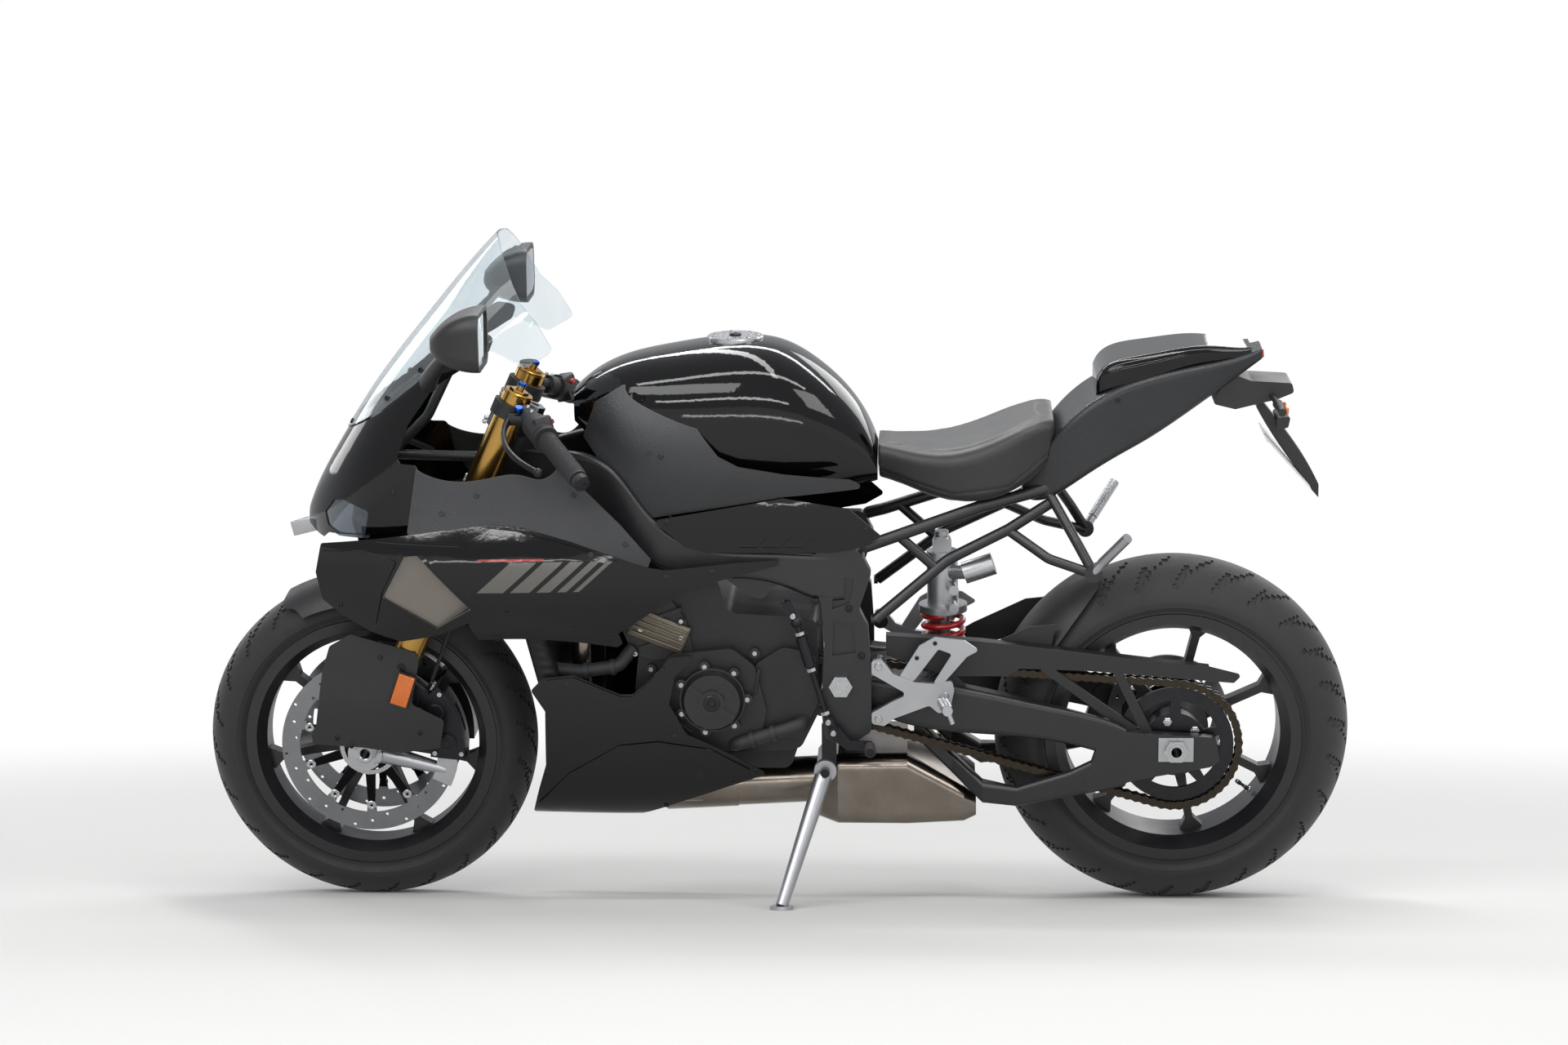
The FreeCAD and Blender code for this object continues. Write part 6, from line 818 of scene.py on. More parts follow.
@dataclass(frozen=True)
class Turning:
    """A turned shape: its radius and height pairs in millimetres, and its facets."""

    profile: tuple[tuple[float, float], ...]
    steps: int

    def make(self) -> bpy.types.Object:
        """The shape about zero, standing along Z."""
        return lathe(self.profile, self.steps)


@dataclass(frozen=True)
class BoltHead:
    """A socket head in millimetres, with the shares of its chamfer and its socket."""

    radius: float
    height: float
    foot: float = -1.5
    shoulder: float = 0.7
    chamfer: float = 0.85
    rim: float = 0.5
    socket: float = 0.46
    floor: float = 0.3
    steps: int = 12

    def make(self) -> bpy.types.Object:
        """The head about zero, standing along Z.

        Returns:
            The closed head with its foot sunk below zero.
        """
        radius, top, floor = self.radius, self.height, self.height * self.floor
        profile = ((0, self.foot), (radius, self.foot), (radius, top * self.shoulder),
                   (radius * self.chamfer, top), (radius * self.rim, top),
                   (radius * self.socket, floor), (0, floor))
        return lathe(profile, self.steps)


@dataclass(frozen=True)
class Block:
    """A rounded block in millimetres, with its upper face inset and moved."""

    size: Triple
    inset: float
    sink: float
    edge: float
    edge_steps: int = 3

    def make(self) -> bpy.types.Object:
        """The block about zero.

        Returns:
            The new piece.
        """
        lay_down()
        bpy.ops.mesh.primitive_cube_add(size=1)
        piece = bpy.context.object
        open_mesh(piece)
        bpy.ops.transform.resize(value=[mm(value) for value in self.size],
                                 center_override=(0, 0, 0))
        select_faces(piece, lambda face: face.normal.z > TOP_SHARE)
        bpy.ops.mesh.inset(thickness=mm(self.inset), depth=mm(self.sink))
        bpy.ops.object.mode_set(mode="OBJECT")
        soften(piece, self.edge, self.edge_steps)
        return piece


@dataclass
class Assembly:
    """A sub-assembly that finishes its pieces at one shop."""

    shop: Workshop

    def keep(self, piece: bpy.types.Object, name: str, body: str, slot: str, finish: Finish,
             angle: float = 32.0, turn_out: bool = True) -> bpy.types.Object:
        """Finishes a piece and hands it to its body.

        Args:
            piece: the piece, with its place in its mesh.
            name: its name.
            body: the body that it rides on.
            slot: the record's material slot that it takes after; not used.
            finish: its finish.
            angle: edges sharper than this stay sharp, in degrees.
            turn_out: whether its faces are turned outwards first.

        Returns:
            The finished piece.
        """
        if turn_out:
            open_mesh(piece)
            bpy.ops.mesh.normals_make_consistent(inside=False)
        pick_up(piece)
        bpy.ops.object.shade_smooth_by_angle(angle=math.radians(angle))
        piece.name = name
        piece.data.materials.clear()
        piece.data.materials.append(self.shop.material(finish))
        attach(piece, body)
        LOG.info("made %s with %d faces", name, len(piece.data.polygons))
        return piece

    def fit(self, shape: Turning | Block, move: Matrix, name: str, body: str, slot: str,
            finish: Finish) -> bpy.types.Object:
        """Makes one shape at its place and keeps it.

        Args:
            shape: what to make.
            move: where it goes.
            name: its name.
            body: the body that it rides on.
            slot: the record's material slot that it takes after; not used.
            finish: its finish.

        Returns:
            The finished piece.
        """
        piece = shape.make()
        piece.data.transform(move)
        return self.keep(piece, name, body, slot, finish)

    def bolts(self, name: str, body: str, spots: Sequence[Spot], head: BoltHead,
              finish: Finish = BRIGHT_STEEL, slot: str = "bright_steel") -> bpy.types.Object:
        """Socket bolts with a chamfered head at places on a surface.

        Args:
            name: the name of the joined bolts.
            body: the body that they ride on.
            spots: a place and an outward direction for each.
            head: their shape.
            finish: their finish.
            slot: the record's slot; not used.

        Returns:
            The bolts as one piece.
        """
        moves = [facing(spot, way) for spot, way in spots]
        return self.keep(copies(head.make(), moves), name, body, slot, finish)

    def dark_bolts(self, name: str, body: str, spots: Sequence[Spot],
                   head: BoltHead) -> bpy.types.Object:
        """Socket bolts in blackened steel."""
        return self.bolts(name, body, spots, head, DARK_STEEL, "dark_steel")


# Wheels


@dataclass(frozen=True)
class TyreSizes:
    """One tyre with its valve, in millimetres and degrees."""

    node: str
    body: str
    hub_back: float
    radius: float
    width: float
    crown: float
    rim_width: float
    grooves: int
    groove_slope: float
    valve_turn: float
    valve_radius: float = 190.0
    steps: int = 360
    carcass: float = 11.0
    rim_top: float = 230.3
    bead: float = 216.3
    bead_share: float = 0.3
    tread_margin: float = 2.0
    foot_inset: float = 5.3
    groove_depth: float = 3.0
    flank_steps: int = 12
    crown_rows: int = 22
    ring_steps: tuple[int, ...] = (4, 7, 8)
    ring_height: float = 0.7

    @property
    def hub_up(self) -> float:
        """The height of the wheel's middle in the upright motorcycle, in millimetres."""
        return self.radius - self.crown + self.crown / math.cos(LEAN)

    @property
    def hub(self) -> Vector:
        """The middle of the wheel, in metres."""
        return on_bike(self.hub_back, 0, self.hub_up)

    @property
    def shoulder(self) -> float:
        """The radius where the crown meets the side."""
        half = self.width / 2
        return self.radius - self.crown + math.sqrt(self.crown ** 2 - half ** 2)

    def flank(self, bulge: float) -> list[tuple[float, float]]:
        """The curve of the side from the shoulder to the rim, with raised rings.

        Args:
            bulge: the radius where the side is widest.

        Returns:
            Radius and width pairs.
        """
        half, foot = self.width / 2, self.rim_width / 2 - self.foot_inset
        places = [(half, self.shoulder), (half, bulge), (foot, self.rim_top)]
        rise = self.shoulder - bulge
        middle = rise / (rise + math.hypot(half - foot, bulge - self.rim_top))
        points = []
        for step in range(1, self.flank_steps):
            share = step / self.flank_steps
            weights = [(share - middle) * (share - 1) / middle,
                       share * (share - 1) / (middle * (middle - 1)),
                       share * (share - middle) / (1 - middle)]
            across = sum(weight * place[0] for weight, place in zip(weights, places))
            radius = sum(weight * place[1] for weight, place in zip(weights, places))
            raised = self.ring_height if step in self.ring_steps else 0.0
            points.append((radius, across + raised))
        return points + [(self.rim_top, foot)]

    def profile(self) -> list[tuple[float, float]]:
        """The section as radius and width, from the left bead over the crown and back inside.

        Returns:
            A closed run of points whose last repeats the first.
        """
        half, foot = self.width / 2, self.rim_width / 2 - self.foot_inset
        bulge = self.rim_top + (self.shoulder - self.rim_top) / 2
        reach = math.asin(half / self.crown)
        turns = [reach * (2 * row / self.crown_rows - 1) for row in range(self.crown_rows + 1)]
        crown = [(self.radius - self.crown + self.crown * math.cos(turn),
                  self.crown * math.sin(turn)) for turn in turns]
        wall = half - self.carcass
        right = self.flank(bulge) + [(self.bead, foot - self.carcass * self.bead_share),
                                     (self.bead, foot - self.carcass), (bulge, wall),
                                     (self.shoulder, wall)]
        inside = [(radius - self.carcass, across * wall / half)
                  for radius, across in crown[2:-2:3]]
        left = [(radius, -across) for radius, across in right][::-1]
        return left[4:] + crown + right + inside[::-1] + left[:5]


FRONT_TYRE = TyreSizes("front_tyre", "front_wheel", -728.5, 300, 120, 64, 96, grooves=24,
                       groove_slope=0.34, valve_turn=62)
REAR_TYRE = TyreSizes("rear_tyre", "rear_wheel", 728.5, 320.4, 190, 104, 162, grooves=26,
                      groove_slope=0.3, valve_turn=-40)


@dataclass(frozen=True)
class DiscSizes:
    """The fixings of one brake disc, in millimetres."""

    name: str
    tyre: TyreSizes
    side: int
    out: float
    bobbin_ring: float
    bobbins: int
    bobbin_scale: float
    bolt_ring: float


@dataclass(frozen=True)
class SpeedRing:
    """A slotted wheel speed ring, in millimetres."""

    name: str
    tyre: TyreSizes
    side: int
    out: float
    inner: float


@dataclass
class Wheels(Assembly):
    """Tyres with tread, valves, disc bobbins and bolts, speed rings and sprocket nuts."""

    crease_angle: float = 28.0
    slash_width: float = 0.75
    slash_curve: float = 1.4
    long_slash: tuple[float, float] = (0.06, 0.78)
    short_slash: tuple[float, float] = (0.4, 0.9)
    short_shift: float = 0.45
    short_slope: float = 0.5
    valve: Turning = Turning(((0, 0), (6, 0), (6, 2), (4, 4), (4, 14), (3, 15), (3, 24),
                              (4.2, 24.5), (4.2, 33), (3, 34.5), (0, 34.5)), 16)
    valve_lean: float = 0.35
    bobbin: tuple[tuple[float, float], ...] = (
        (2.6, 0), (7.5, 0), (8.5, 1.0), (8.5, 2.2), (7.2, 3.2), (4.4, 3.2), (3.2, 2.2),
        (2.6, 2.2), (2.6, 0))
    bobbin_steps: int = 20
    discs: tuple[DiscSizes, ...] = (
        DiscSizes("front_left", FRONT_TYRE, -1, 71, 113, 10, 1.0, 38),
        DiscSizes("front_right", FRONT_TYRE, 1, 71, 113, 10, 1.0, 38),
        DiscSizes("rear_right", REAR_TYRE, 1, 87, 76, 5, 0.9, 49))
    disc_bolts: int = 5
    disc_bolt: BoltHead = BoltHead(5.5, 4.0)
    speed_rings: tuple[SpeedRing, ...] = (
        SpeedRing("front", FRONT_TYRE, -1, 71, 46), SpeedRing("rear", REAR_TYRE, 1, 87, 57))
    ring_width: float = 8.0
    ring_height: float = 1.6
    ring_steps: int = 96
    slot_depth: float = 0.9
    nut: Turning = Turning(((4.6, 0), (8.4, 0), (8.4, 3), (7.4, 3.8), (4.6, 3.8), (4.6, 0)), 6)
    stud: Turning = Turning(((0, 0), (4.4, 0), (4.4, 4.2), (3.6, 4.8), (0, 4.8)), 16)
    nuts: int = 5
    nut_ring: float = 44.0
    nut_out: float = 119.5

    def build(self) -> None:
        """Builds both wheels' details."""
        for tyre in (FRONT_TYRE, REAR_TYRE):
            self.build_tyre(tyre)
            self.build_valve(tyre)
        self.build_bobbins()
        self.build_disc_bolts()
        self.build_speed_rings()
        self.build_sprocket_nuts()

    def build_tyre(self, sizes: TyreSizes) -> None:
        """A tyre turned from its section, with tread grooves pushed in and sidewall rings.

        Args:
            sizes: the tyre.
        """
        piece = lathe(sizes.profile(), sizes.steps)
        open_mesh(piece)
        period = math.tau / sizes.grooves
        half = mm(sizes.width / 2)
        inner = mm(sizes.shoulder - sizes.tread_margin)
        width = self.slash_width * math.radians(360 / sizes.steps) / period

        def in_groove(face: bmesh.types.BMFace) -> bool:
            """Tells whether a face belongs to the tread pattern.

            Args:
                face: a face of the tyre.

            Returns:
                Whether it lies in a long or a short slash.
            """
            middle = face.calc_center_median()
            share = abs(middle.z) / half
            radius = math.hypot(middle.x, middle.y)
            if radius < inner or face.normal.x * middle.x + face.normal.y * middle.y < 0:
                return False
            side = 0.5 if middle.z > 0 else 0.0
            turn = math.atan2(middle.y, middle.x) / period + side \
                - sizes.groove_slope / period * share ** self.slash_curve
            long_slash = abs((turn + 0.5) % 1.0 - 0.5) < width \
                and self.long_slash[0] < share < self.long_slash[1]
            turn += self.short_shift + self.short_slope * sizes.groove_slope / period * share
            short_slash = abs((turn + 0.5) % 1.0 - 0.5) < width \
                and self.short_slash[0] < share < self.short_slash[1]
            return long_slash or short_slash

        count = select_faces(piece, in_groove)
        press_in(sizes.groove_depth)
        LOG.info("%s has %d grooved faces", sizes.node, count)
        piece.data.transform(facing(sizes.hub, bike_way(0, -1, 0)))
        self.keep(piece, sizes.node + "_tread", sizes.body, "tyre_rubber", TYRE_RUBBER,
                  self.crease_angle, turn_out=False)
        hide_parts(sizes.node)

    def build_valve(self, sizes: TyreSizes) -> None:
        """A bent valve stem with its cap, on the rim's well.

        Args:
            sizes: the tyre of the wheel.
        """
        turn = math.radians(sizes.valve_turn)
        outward = bike_way(math.cos(turn), 0, math.sin(turn))
        spot = sizes.hub + outward * mm(sizes.valve_radius)
        way = (-outward + bike_way(0, -1, 0) * self.valve_lean).normalized()
        self.fit(self.valve, facing(spot, way), sizes.body + "_valve", sizes.body,
                 "bright_steel", BRIGHT_STEEL)

    def build_bobbins(self) -> None:
        """The round bobbins that hold each brake ring to its carrier."""
        for disc in self.discs:
            spots = ring_of(disc.tyre.hub, disc.bobbin_ring, disc.bobbins, disc.side, disc.out,
                            math.pi / 2)
            shape = Turning(tuple((radius * disc.bobbin_scale, height)
                                  for radius, height in self.bobbin), self.bobbin_steps)
            piece = copies(shape.make(), [facing(spot, way) for spot, way in spots])
            self.keep(piece, disc.name + "_bobbins", disc.tyre.body, "bright_steel",
                      BRIGHT_STEEL)

    def build_disc_bolts(self) -> None:
        """The bolts that hold the disc carriers to the hubs."""
        for disc in self.discs:
            spots = ring_of(disc.tyre.hub, disc.bolt_ring, self.disc_bolts, disc.side, disc.out,
                            math.pi / self.disc_bolts)
            self.dark_bolts(disc.name + "_disc_bolts", disc.tyre.body, spots,
                            self.disc_bolt)

    def build_speed_rings(self) -> None:
        """The slotted wheel speed rings inside the discs."""
        slot = math.tau / self.ring_steps

        def is_slot(face: bmesh.types.BMFace) -> bool:
            """Whether a face of a ring's top is every second one round the turn."""
            middle = face.calc_center_median()
            return face.normal.z > TOP_SHARE and int(math.atan2(middle.y, middle.x) / slot) % 2 != 0

        for sizes in self.speed_rings:
            outer = sizes.inner + self.ring_width
            piece = lathe(((sizes.inner, 0), (outer, 0), (outer, self.ring_height),
                           (sizes.inner, self.ring_height), (sizes.inner, 0)), self.ring_steps)
            open_mesh(piece)
            select_faces(piece, is_slot)
            press_in(self.slot_depth)
            outward = bike_way(0, sizes.side, 0)
            piece.data.transform(facing(sizes.tyre.hub + outward * mm(sizes.out), outward))
            self.keep(piece, sizes.name + "_speed_ring", sizes.tyre.body, "bright_steel",
                      BRIGHT_STEEL)

    def build_sprocket_nuts(self) -> None:
        """The nuts on their studs that hold the rear sprocket."""
        spots = ring_of(REAR_TYRE.hub, self.nut_ring, self.nuts, -1, self.nut_out,
                        math.pi / self.nuts)
        piece = copies(joined([self.nut.make(), self.stud.make()]),
                       [facing(spot, way) for spot, way in spots])
        self.keep(piece, "rear_sprocket_nuts", "rear_wheel", "bright_steel", BRIGHT_STEEL)


# Front end


RAKE = math.radians(24.0)
AXLE_BACK = FRONT_TYRE.hub_back
AXLE_UP = FRONT_TYRE.hub_up
FORK_WAY = (math.sin(RAKE), 0.0, math.cos(RAKE))


def fitted(back: float, right: float, up: float, way: Triple = (0, -1, 0),
           spin: float = 0.0) -> Matrix:
    """The move that takes a piece made along Z to a place on the motorcycle.

    Args:
        back: millimetres behind the motorcycle's zero.
        right: millimetres to the right.
        up: millimetres above the ground.
        way: where its Z goes, in the upright motorcycle.
        spin: a turn about that way, in degrees.

    Returns:
        The whole move into the leaned frame, with the piece's Y kept towards the top.
    """
    turn = Vector(way).to_track_quat("Z", "Y").to_matrix().to_4x4() \
        @ Matrix.Rotation(math.radians(spin), 4, "Z")
    place = Matrix.Translation(Vector((mm(back), mm(right), mm(up))))
    return Matrix.Translation(STANCE_SHIFT) @ LEANED @ place @ turn


def fork_place(distance: float, side: float = 0.0, forward: float = 0.0) -> Triple:
    """A place along the fork, in the upright motorcycle's millimetres.

    Args:
        distance: up the fork from the axle.
        side: to the right of the middle.
        forward: square to the fork, towards the front.

    Returns:
        Back, right and up.
    """
    return (AXLE_BACK + distance * math.sin(RAKE) - forward * math.cos(RAKE), side,
            AXLE_UP + distance * math.cos(RAKE) + forward * math.sin(RAKE))


def round_axle(radius: float, degrees: float) -> tuple[float, float]:
    """Back and up of a place round the front axle, in the upright motorcycle's millimetres."""
    turn = math.radians(degrees)
    return AXLE_BACK + radius * math.cos(turn), AXLE_UP + radius * math.sin(turn)


@dataclass
class ForkDetails(Assembly):
    """Seals, collars, adjusters, bolts, caliper fittings and reflectors of the fork."""

    leg_side: float = 105.0
    seal: Turning = Turning(((21.6, 0), (27.5, 0), (29, 2), (29, 8), (27.5, 10), (27.5, 13),
                             (25, 15), (21.6, 15), (21.6, 0)), 40)
    seal_up: float = 186.0
    collar: Turning = Turning(((18, 0), (26, 0), (26.5, 1), (26.5, 4), (25, 5.5), (18, 5.5),
                               (18, 0)), 40)
    collar_up: float = 720.0
    adjuster: Turning = Turning(((0, 0), (8, 0), (8, 5), (7, 6.4), (3, 6.4), (2.6, 4.5),
                                 (0, 4.5)), 12)
    adjuster_up: float = 737.0
    clamp_bolt: BoltHead = BoltHead(4.2, 4.5)
    clamp_bolts_up: tuple[float, ...] = (468, 480, 488, 657, 665)
    clamp_bolt_side: float = 22.0
    clamp_bolt_forward: float = 34.0
    clamp_bolt_turn: float = 0.4
    axle_cap: Turning = Turning(((9.2, -2), (17, -2), (17, 1.5), (15, 3), (11, 3), (9.2, 1.5),
                                 (9.2, -2)), 36)
    axle_cap_side: float = 122.0
    foot_bolt: BoltHead = BoltHead(4.5, 4.0)
    foot_bolts_up: tuple[float, ...] = (-8, 12)
    foot_bolt_side: float = 17.0
    foot_bolt_forward: float = -26.0
    piston_cap: Turning = Turning(((0, 0), (14.5, 0), (14.5, 1.2), (13, 2.2), (10, 2.2),
                                   (9, 1.0), (5.5, 1.0), (5, 1.8), (0, 1.8)), 36)
    piston_radius: float = 147.0
    piston_turns: tuple[float, ...] = (6.0, 30.0)
    caliper_bolt: BoltHead = BoltHead(5.0, 4.0)
    caliper_bolts: tuple[tuple[float, float], ...] = ((172, -2), (172, 38), (124, -2), (124, 38))
    caliper_bolt_side: float = 100.0
    pad_pin: Turning = Turning(((0, -3), (3, -3), (3, 46), (4.6, 46), (4.6, 50), (3.6, 51),
                                (0, 51)), 16)
    pad_pin_place: tuple[float, float] = (173, 18)
    pad_pin_side: float = 46.0
    banjo: Turning = Turning(((0, -6), (7.5, -6), (7.5, 6), (6.5, 7), (5, 7), (5, 11),
                              (0, 11)), 6)
    banjo_place: Triple = (158, 92, -62)
    banjo_way: Triple = (0.5, 0, 0.85)
    reflector_place: Triple = (-652, 145.5, 428)
    reflector_turn: float = 18.7
    reflector_frame: Block = Block((35, 63, 6), 2.0, -1.2, 1.2)
    reflector: Block = Block((30, 58, 5), 1.5, 0.8, 0.8)
    reflector_out: float = 2.0
    fender_screw: BoltHead = BoltHead(5.5, 3.0)
    fender_screws: tuple[tuple[float, float], ...] = ((-700, 560), (-690, 530), (-740, 590))
    cover_screw: BoltHead = BoltHead(4.5, 2.5)
    cover_screws: tuple[tuple[float, float], ...] = (
        (-692, 486), (-625, 345), (-775, 335), (-750, 320))

    def build(self) -> None:
        """Builds the fork's details."""
        for name, side in SIDES:
            self.build_leg(name, side)
            self.build_caliper(name, side)
            self.build_reflector(name, side)
        self.build_screws()

    def build_leg(self, name: str, side: int) -> None:
        """Seal, collar, adjuster, axle cap and bolts of one leg.

        Args:
            name: the side's name.
            side: -1 for the left and 1 for the right.
        """
        across = side * self.leg_side
        self.fit(self.seal, fitted(*fork_place(self.seal_up, across), FORK_WAY),
                 name + "_fork_seal", "steering", "black_plastic", GRIP_RUBBER)
        self.fit(self.collar, fitted(*fork_place(self.collar_up, across), FORK_WAY),
                 name + "_fork_collar", "steering", "gold_anodised", GOLD_ANODISED)
        self.fit(self.adjuster, fitted(*fork_place(self.adjuster_up, across), FORK_WAY),
                 name + "_fork_adjuster", "steering", "bright_steel", BLUE_ANODISED)
        way = bike_way(-math.cos(RAKE), side * self.clamp_bolt_turn, math.sin(RAKE))
        spots = [(on_bike(*fork_place(distance, across + side * self.clamp_bolt_side,
                                      self.clamp_bolt_forward)), way)
                 for distance in self.clamp_bolts_up]
        self.bolts(name + "_clamp_bolts", "steering", spots, self.clamp_bolt)
        self.fit(self.axle_cap, fitted(AXLE_BACK, side * self.axle_cap_side, AXLE_UP, (0, side, 0)),
                 name + "_axle_cap", "steering", "bright_steel", BRIGHT_STEEL)
        spots = [(on_bike(*fork_place(height, across + side * self.foot_bolt_side,
                                      self.foot_bolt_forward)), bike_way(0, side, 0))
                 for height in self.foot_bolts_up]
        self.bolts(name + "_foot_bolts", "steering", spots, self.foot_bolt)

    def build_caliper(self, name: str, side: int) -> None:
        """Piston caps, mounting bolts, pad pin and hose bolt of one caliper.

        Args:
            name: the side's name.
            side: -1 for the left and 1 for the right.
        """
        outward = (0, side, 0)
        moves = []
        for turn in self.piston_turns:
            back, up = round_axle(self.piston_radius, turn)
            moves.append(fitted(back, side * self.leg_side, up, outward))
        self.keep(copies(self.piston_cap.make(), moves), name + "_piston_caps", "steering",
                  "dark_metal", BLACK_ANODISED)
        spots = []
        for radius, turn in self.caliper_bolts:
            back, up = round_axle(radius, turn)
            spots.append((on_bike(back, side * self.caliper_bolt_side, up), bike_way(*outward)))
        self.bolts(name + "_caliper_bolts", "steering", spots, self.caliper_bolt)
        back, up = round_axle(*self.pad_pin_place)
        self.fit(self.pad_pin, fitted(back, side * self.pad_pin_side, up, outward),
                 name + "_pad_pin", "steering", "bright_steel", BRIGHT_STEEL)
        distance, across, forward = self.banjo_place
        self.fit(self.banjo, fitted(*fork_place(distance, side * across, forward), self.banjo_way),
                 name + "_banjo_bolt", "steering", "bright_steel", BRIGHT_STEEL)

    def build_reflector(self, name: str, side: int) -> None:
        """An amber reflector in a dark frame on the fork's cover.

        Args:
            name: the side's name.
            side: -1 for the left and 1 for the right.
        """
        back, across, up = self.reflector_place
        spin = side * self.reflector_turn
        self.fit(self.reflector_frame, fitted(back, side * across, up, (0, side, 0), spin),
                 name + "_reflector_frame", "steering", "black_plastic", MOULDED_ABS)
        across += self.reflector_out
        self.fit(self.reflector, fitted(back, side * across, up, (0, side, 0), spin),
                 name + "_reflector", "steering", "lamp_glass", AMBER_LENS)

    def build_screws(self) -> None:
        """The screws of the fender and of the fork's covers."""
        self.dark_bolts("fender_bolts", "steering",
                        surface_spots("front_fender", self.fender_screws), self.fender_screw)
        self.dark_bolts("cover_bolts", "steering",
                        surface_spots("fork_covers", self.cover_screws), self.cover_screw)


@dataclass
class Controls(Assembly):
    """What the rider's hands touch: grip ribs, bar weights, switches, bolts and caps."""

    inner: Triple = (-425, 132, 936)
    outer: Triple = (-301, 350, 853)
    perch_bolt: BoltHead = BoltHead(3.6, 3.0)
    perch_shares: tuple[float, ...] = (0.10, 0.165)
    perch_rise: Triple = (0, 0, 19)
    perch_way: Triple = (0.2, 0, 1)
    cup_share: float = 0.13
    cup_cap: Turning = Turning(((0, 0), (17, 0), (17, 3), (15.5, 5), (13, 5), (12, 4),
                                (0, 4)), 40)
    cup_cap_shift: Triple = (-37.2, 0, 41)
    clutch_knob: Turning = Turning(((0, 0), (7, 0), (7.6, 1), (7.6, 9), (6.6, 10.5),
                                    (0, 10.5)), 12)
    clutch_knob_shift: Triple = (-20, -2, 14)
    clutch_knob_way: Triple = (0.2, -0.3, 1)
    grip_radii: Triple = (16.2, 16.6, 17.9)
    grip_lip: float = 1.0
    grip_end: float = 136.0
    grip_steps: int = 40
    ribs: int = 27
    rib_start: float = 2.0
    rib_pitch: float = 4.8
    rib_run: Triple = (0.8, 3.0, 3.8)
    grip_share: float = 0.42
    bar_weight: Turning = Turning(((0, 0), (13, 0), (14.6, 1.5), (14.6, 3), (13, 5), (6, 6.5),
                                   (5, 4.5), (0, 4.5)), 36)
    weight_share: float = 0.995
    switch_box: Block = Block((36, 46, 30), 3.0, 1.5, 4.0)
    switch_share: float = 0.285
    switch_shift: Triple = (6, 0, 2)
    switch_way: Triple = (0.86, -0.46, 0.2)
    switch_spin: float = 12.0
    button: Block = Block((11, 8, 5), 1.2, 0.6, 1.0)
    button_out: float = 17.0
    buttons: tuple[tuple[float, float, Finish, str], ...] = (
        (-8, 11, RED_BUTTON, "red_spring"), (8, 8, MOULDED_ABS, "black_plastic"),
        (0, -10, MOULDED_ABS, "black_plastic"))

    def along(self, share: float, side: int) -> Vector:
        """A place along a bar, in the upright motorcycle's millimetres.

        Args:
            share: from 0 at its inner end to 1 at its outer end.
            side: -1 for the left and 1 for the right.

        Returns:
            Back, right and up.
        """
        start = Vector((self.inner[0], side * self.inner[1], self.inner[2]))
        end = Vector((self.outer[0], side * self.outer[1], self.outer[2]))
        return start + (end - start) * share

    def build(self) -> None:
        """Builds both bars' details."""
        for name, side in SIDES:
            way = tuple((self.along(1, side) - self.along(0, side)).normalized())
            self.build_grip(name, side, way)
            self.build_switches(name, side)
            spots = [(on_bike(*(self.along(share, side) + Vector(self.perch_rise))),
                      bike_way(*self.perch_way)) for share in self.perch_shares]
            self.bolts(name + "_perch_bolts", "steering", spots, self.perch_bolt)
        spot = self.along(self.cup_share, 1) + Vector(self.cup_cap_shift)
        self.fit(self.cup_cap, fitted(*spot, (0, 0, 1)), "fluid_cup_cap", "steering",
                 "black_plastic", MOULDED_ABS)
        spot = self.along(self.cup_share, -1) + Vector(self.clutch_knob_shift)
        self.fit(self.clutch_knob, fitted(*spot, self.clutch_knob_way), "clutch_adjuster",
                 "steering", "dark_metal", BLUE_ANODISED)

    def build_grip(self, name: str, side: int, way: Triple) -> None:
        """The ribbed rubber of a grip with its outer end weight.

        Args:
            name: the side's name.
            side: -1 for the left and 1 for the right.
            way: along the bar, outwards.
        """
        bore, valley, crest = self.grip_radii
        profile = [(bore, 0)]
        for number in range(self.ribs):
            start = self.rib_start + number * self.rib_pitch
            rise, fall, end = (start + run for run in self.rib_run)
            profile += [(valley, start), (crest, rise), (crest, fall), (valley, end)]
        profile += [(bore + self.grip_lip, self.grip_end - self.rib_start),
                    (bore, self.grip_end), (bore, 0)]
        self.fit(Turning(tuple(profile), self.grip_steps),
                 fitted(*self.along(self.grip_share, side), way), name + "_grip_rubber",
                 "steering", "bar_black", GRIP_RUBBER)
        self.fit(self.bar_weight, fitted(*self.along(self.weight_share, side), way),
                 name + "_bar_weight", "steering", "dark_metal", BLACK_ANODISED)

    def build_switches(self, name: str, side: int) -> None:
        """The switch box with its rockers.

        Args:
            name: the side's name.
            side: -1 for the left and 1 for the right.
        """
        back, right, up = self.switch_way
        way = Vector((back, side * right, up))
        spin = self.switch_spin * side
        spot = self.along(self.switch_share, side) + Vector(self.switch_shift)
        self.fit(self.switch_box, fitted(*spot, tuple(way), spin), name + "_switch_box",
                 "steering", "black_plastic", MOULDED_ABS)
        way.normalize()
        for number, (across, rise, finish, slot) in enumerate(self.buttons):
            place = spot + way * self.button_out + Vector((0, across, rise))
            self.fit(self.button, fitted(*place, tuple(way), spin), f"{name}_switch_{number}",
                     "steering", slot, finish)


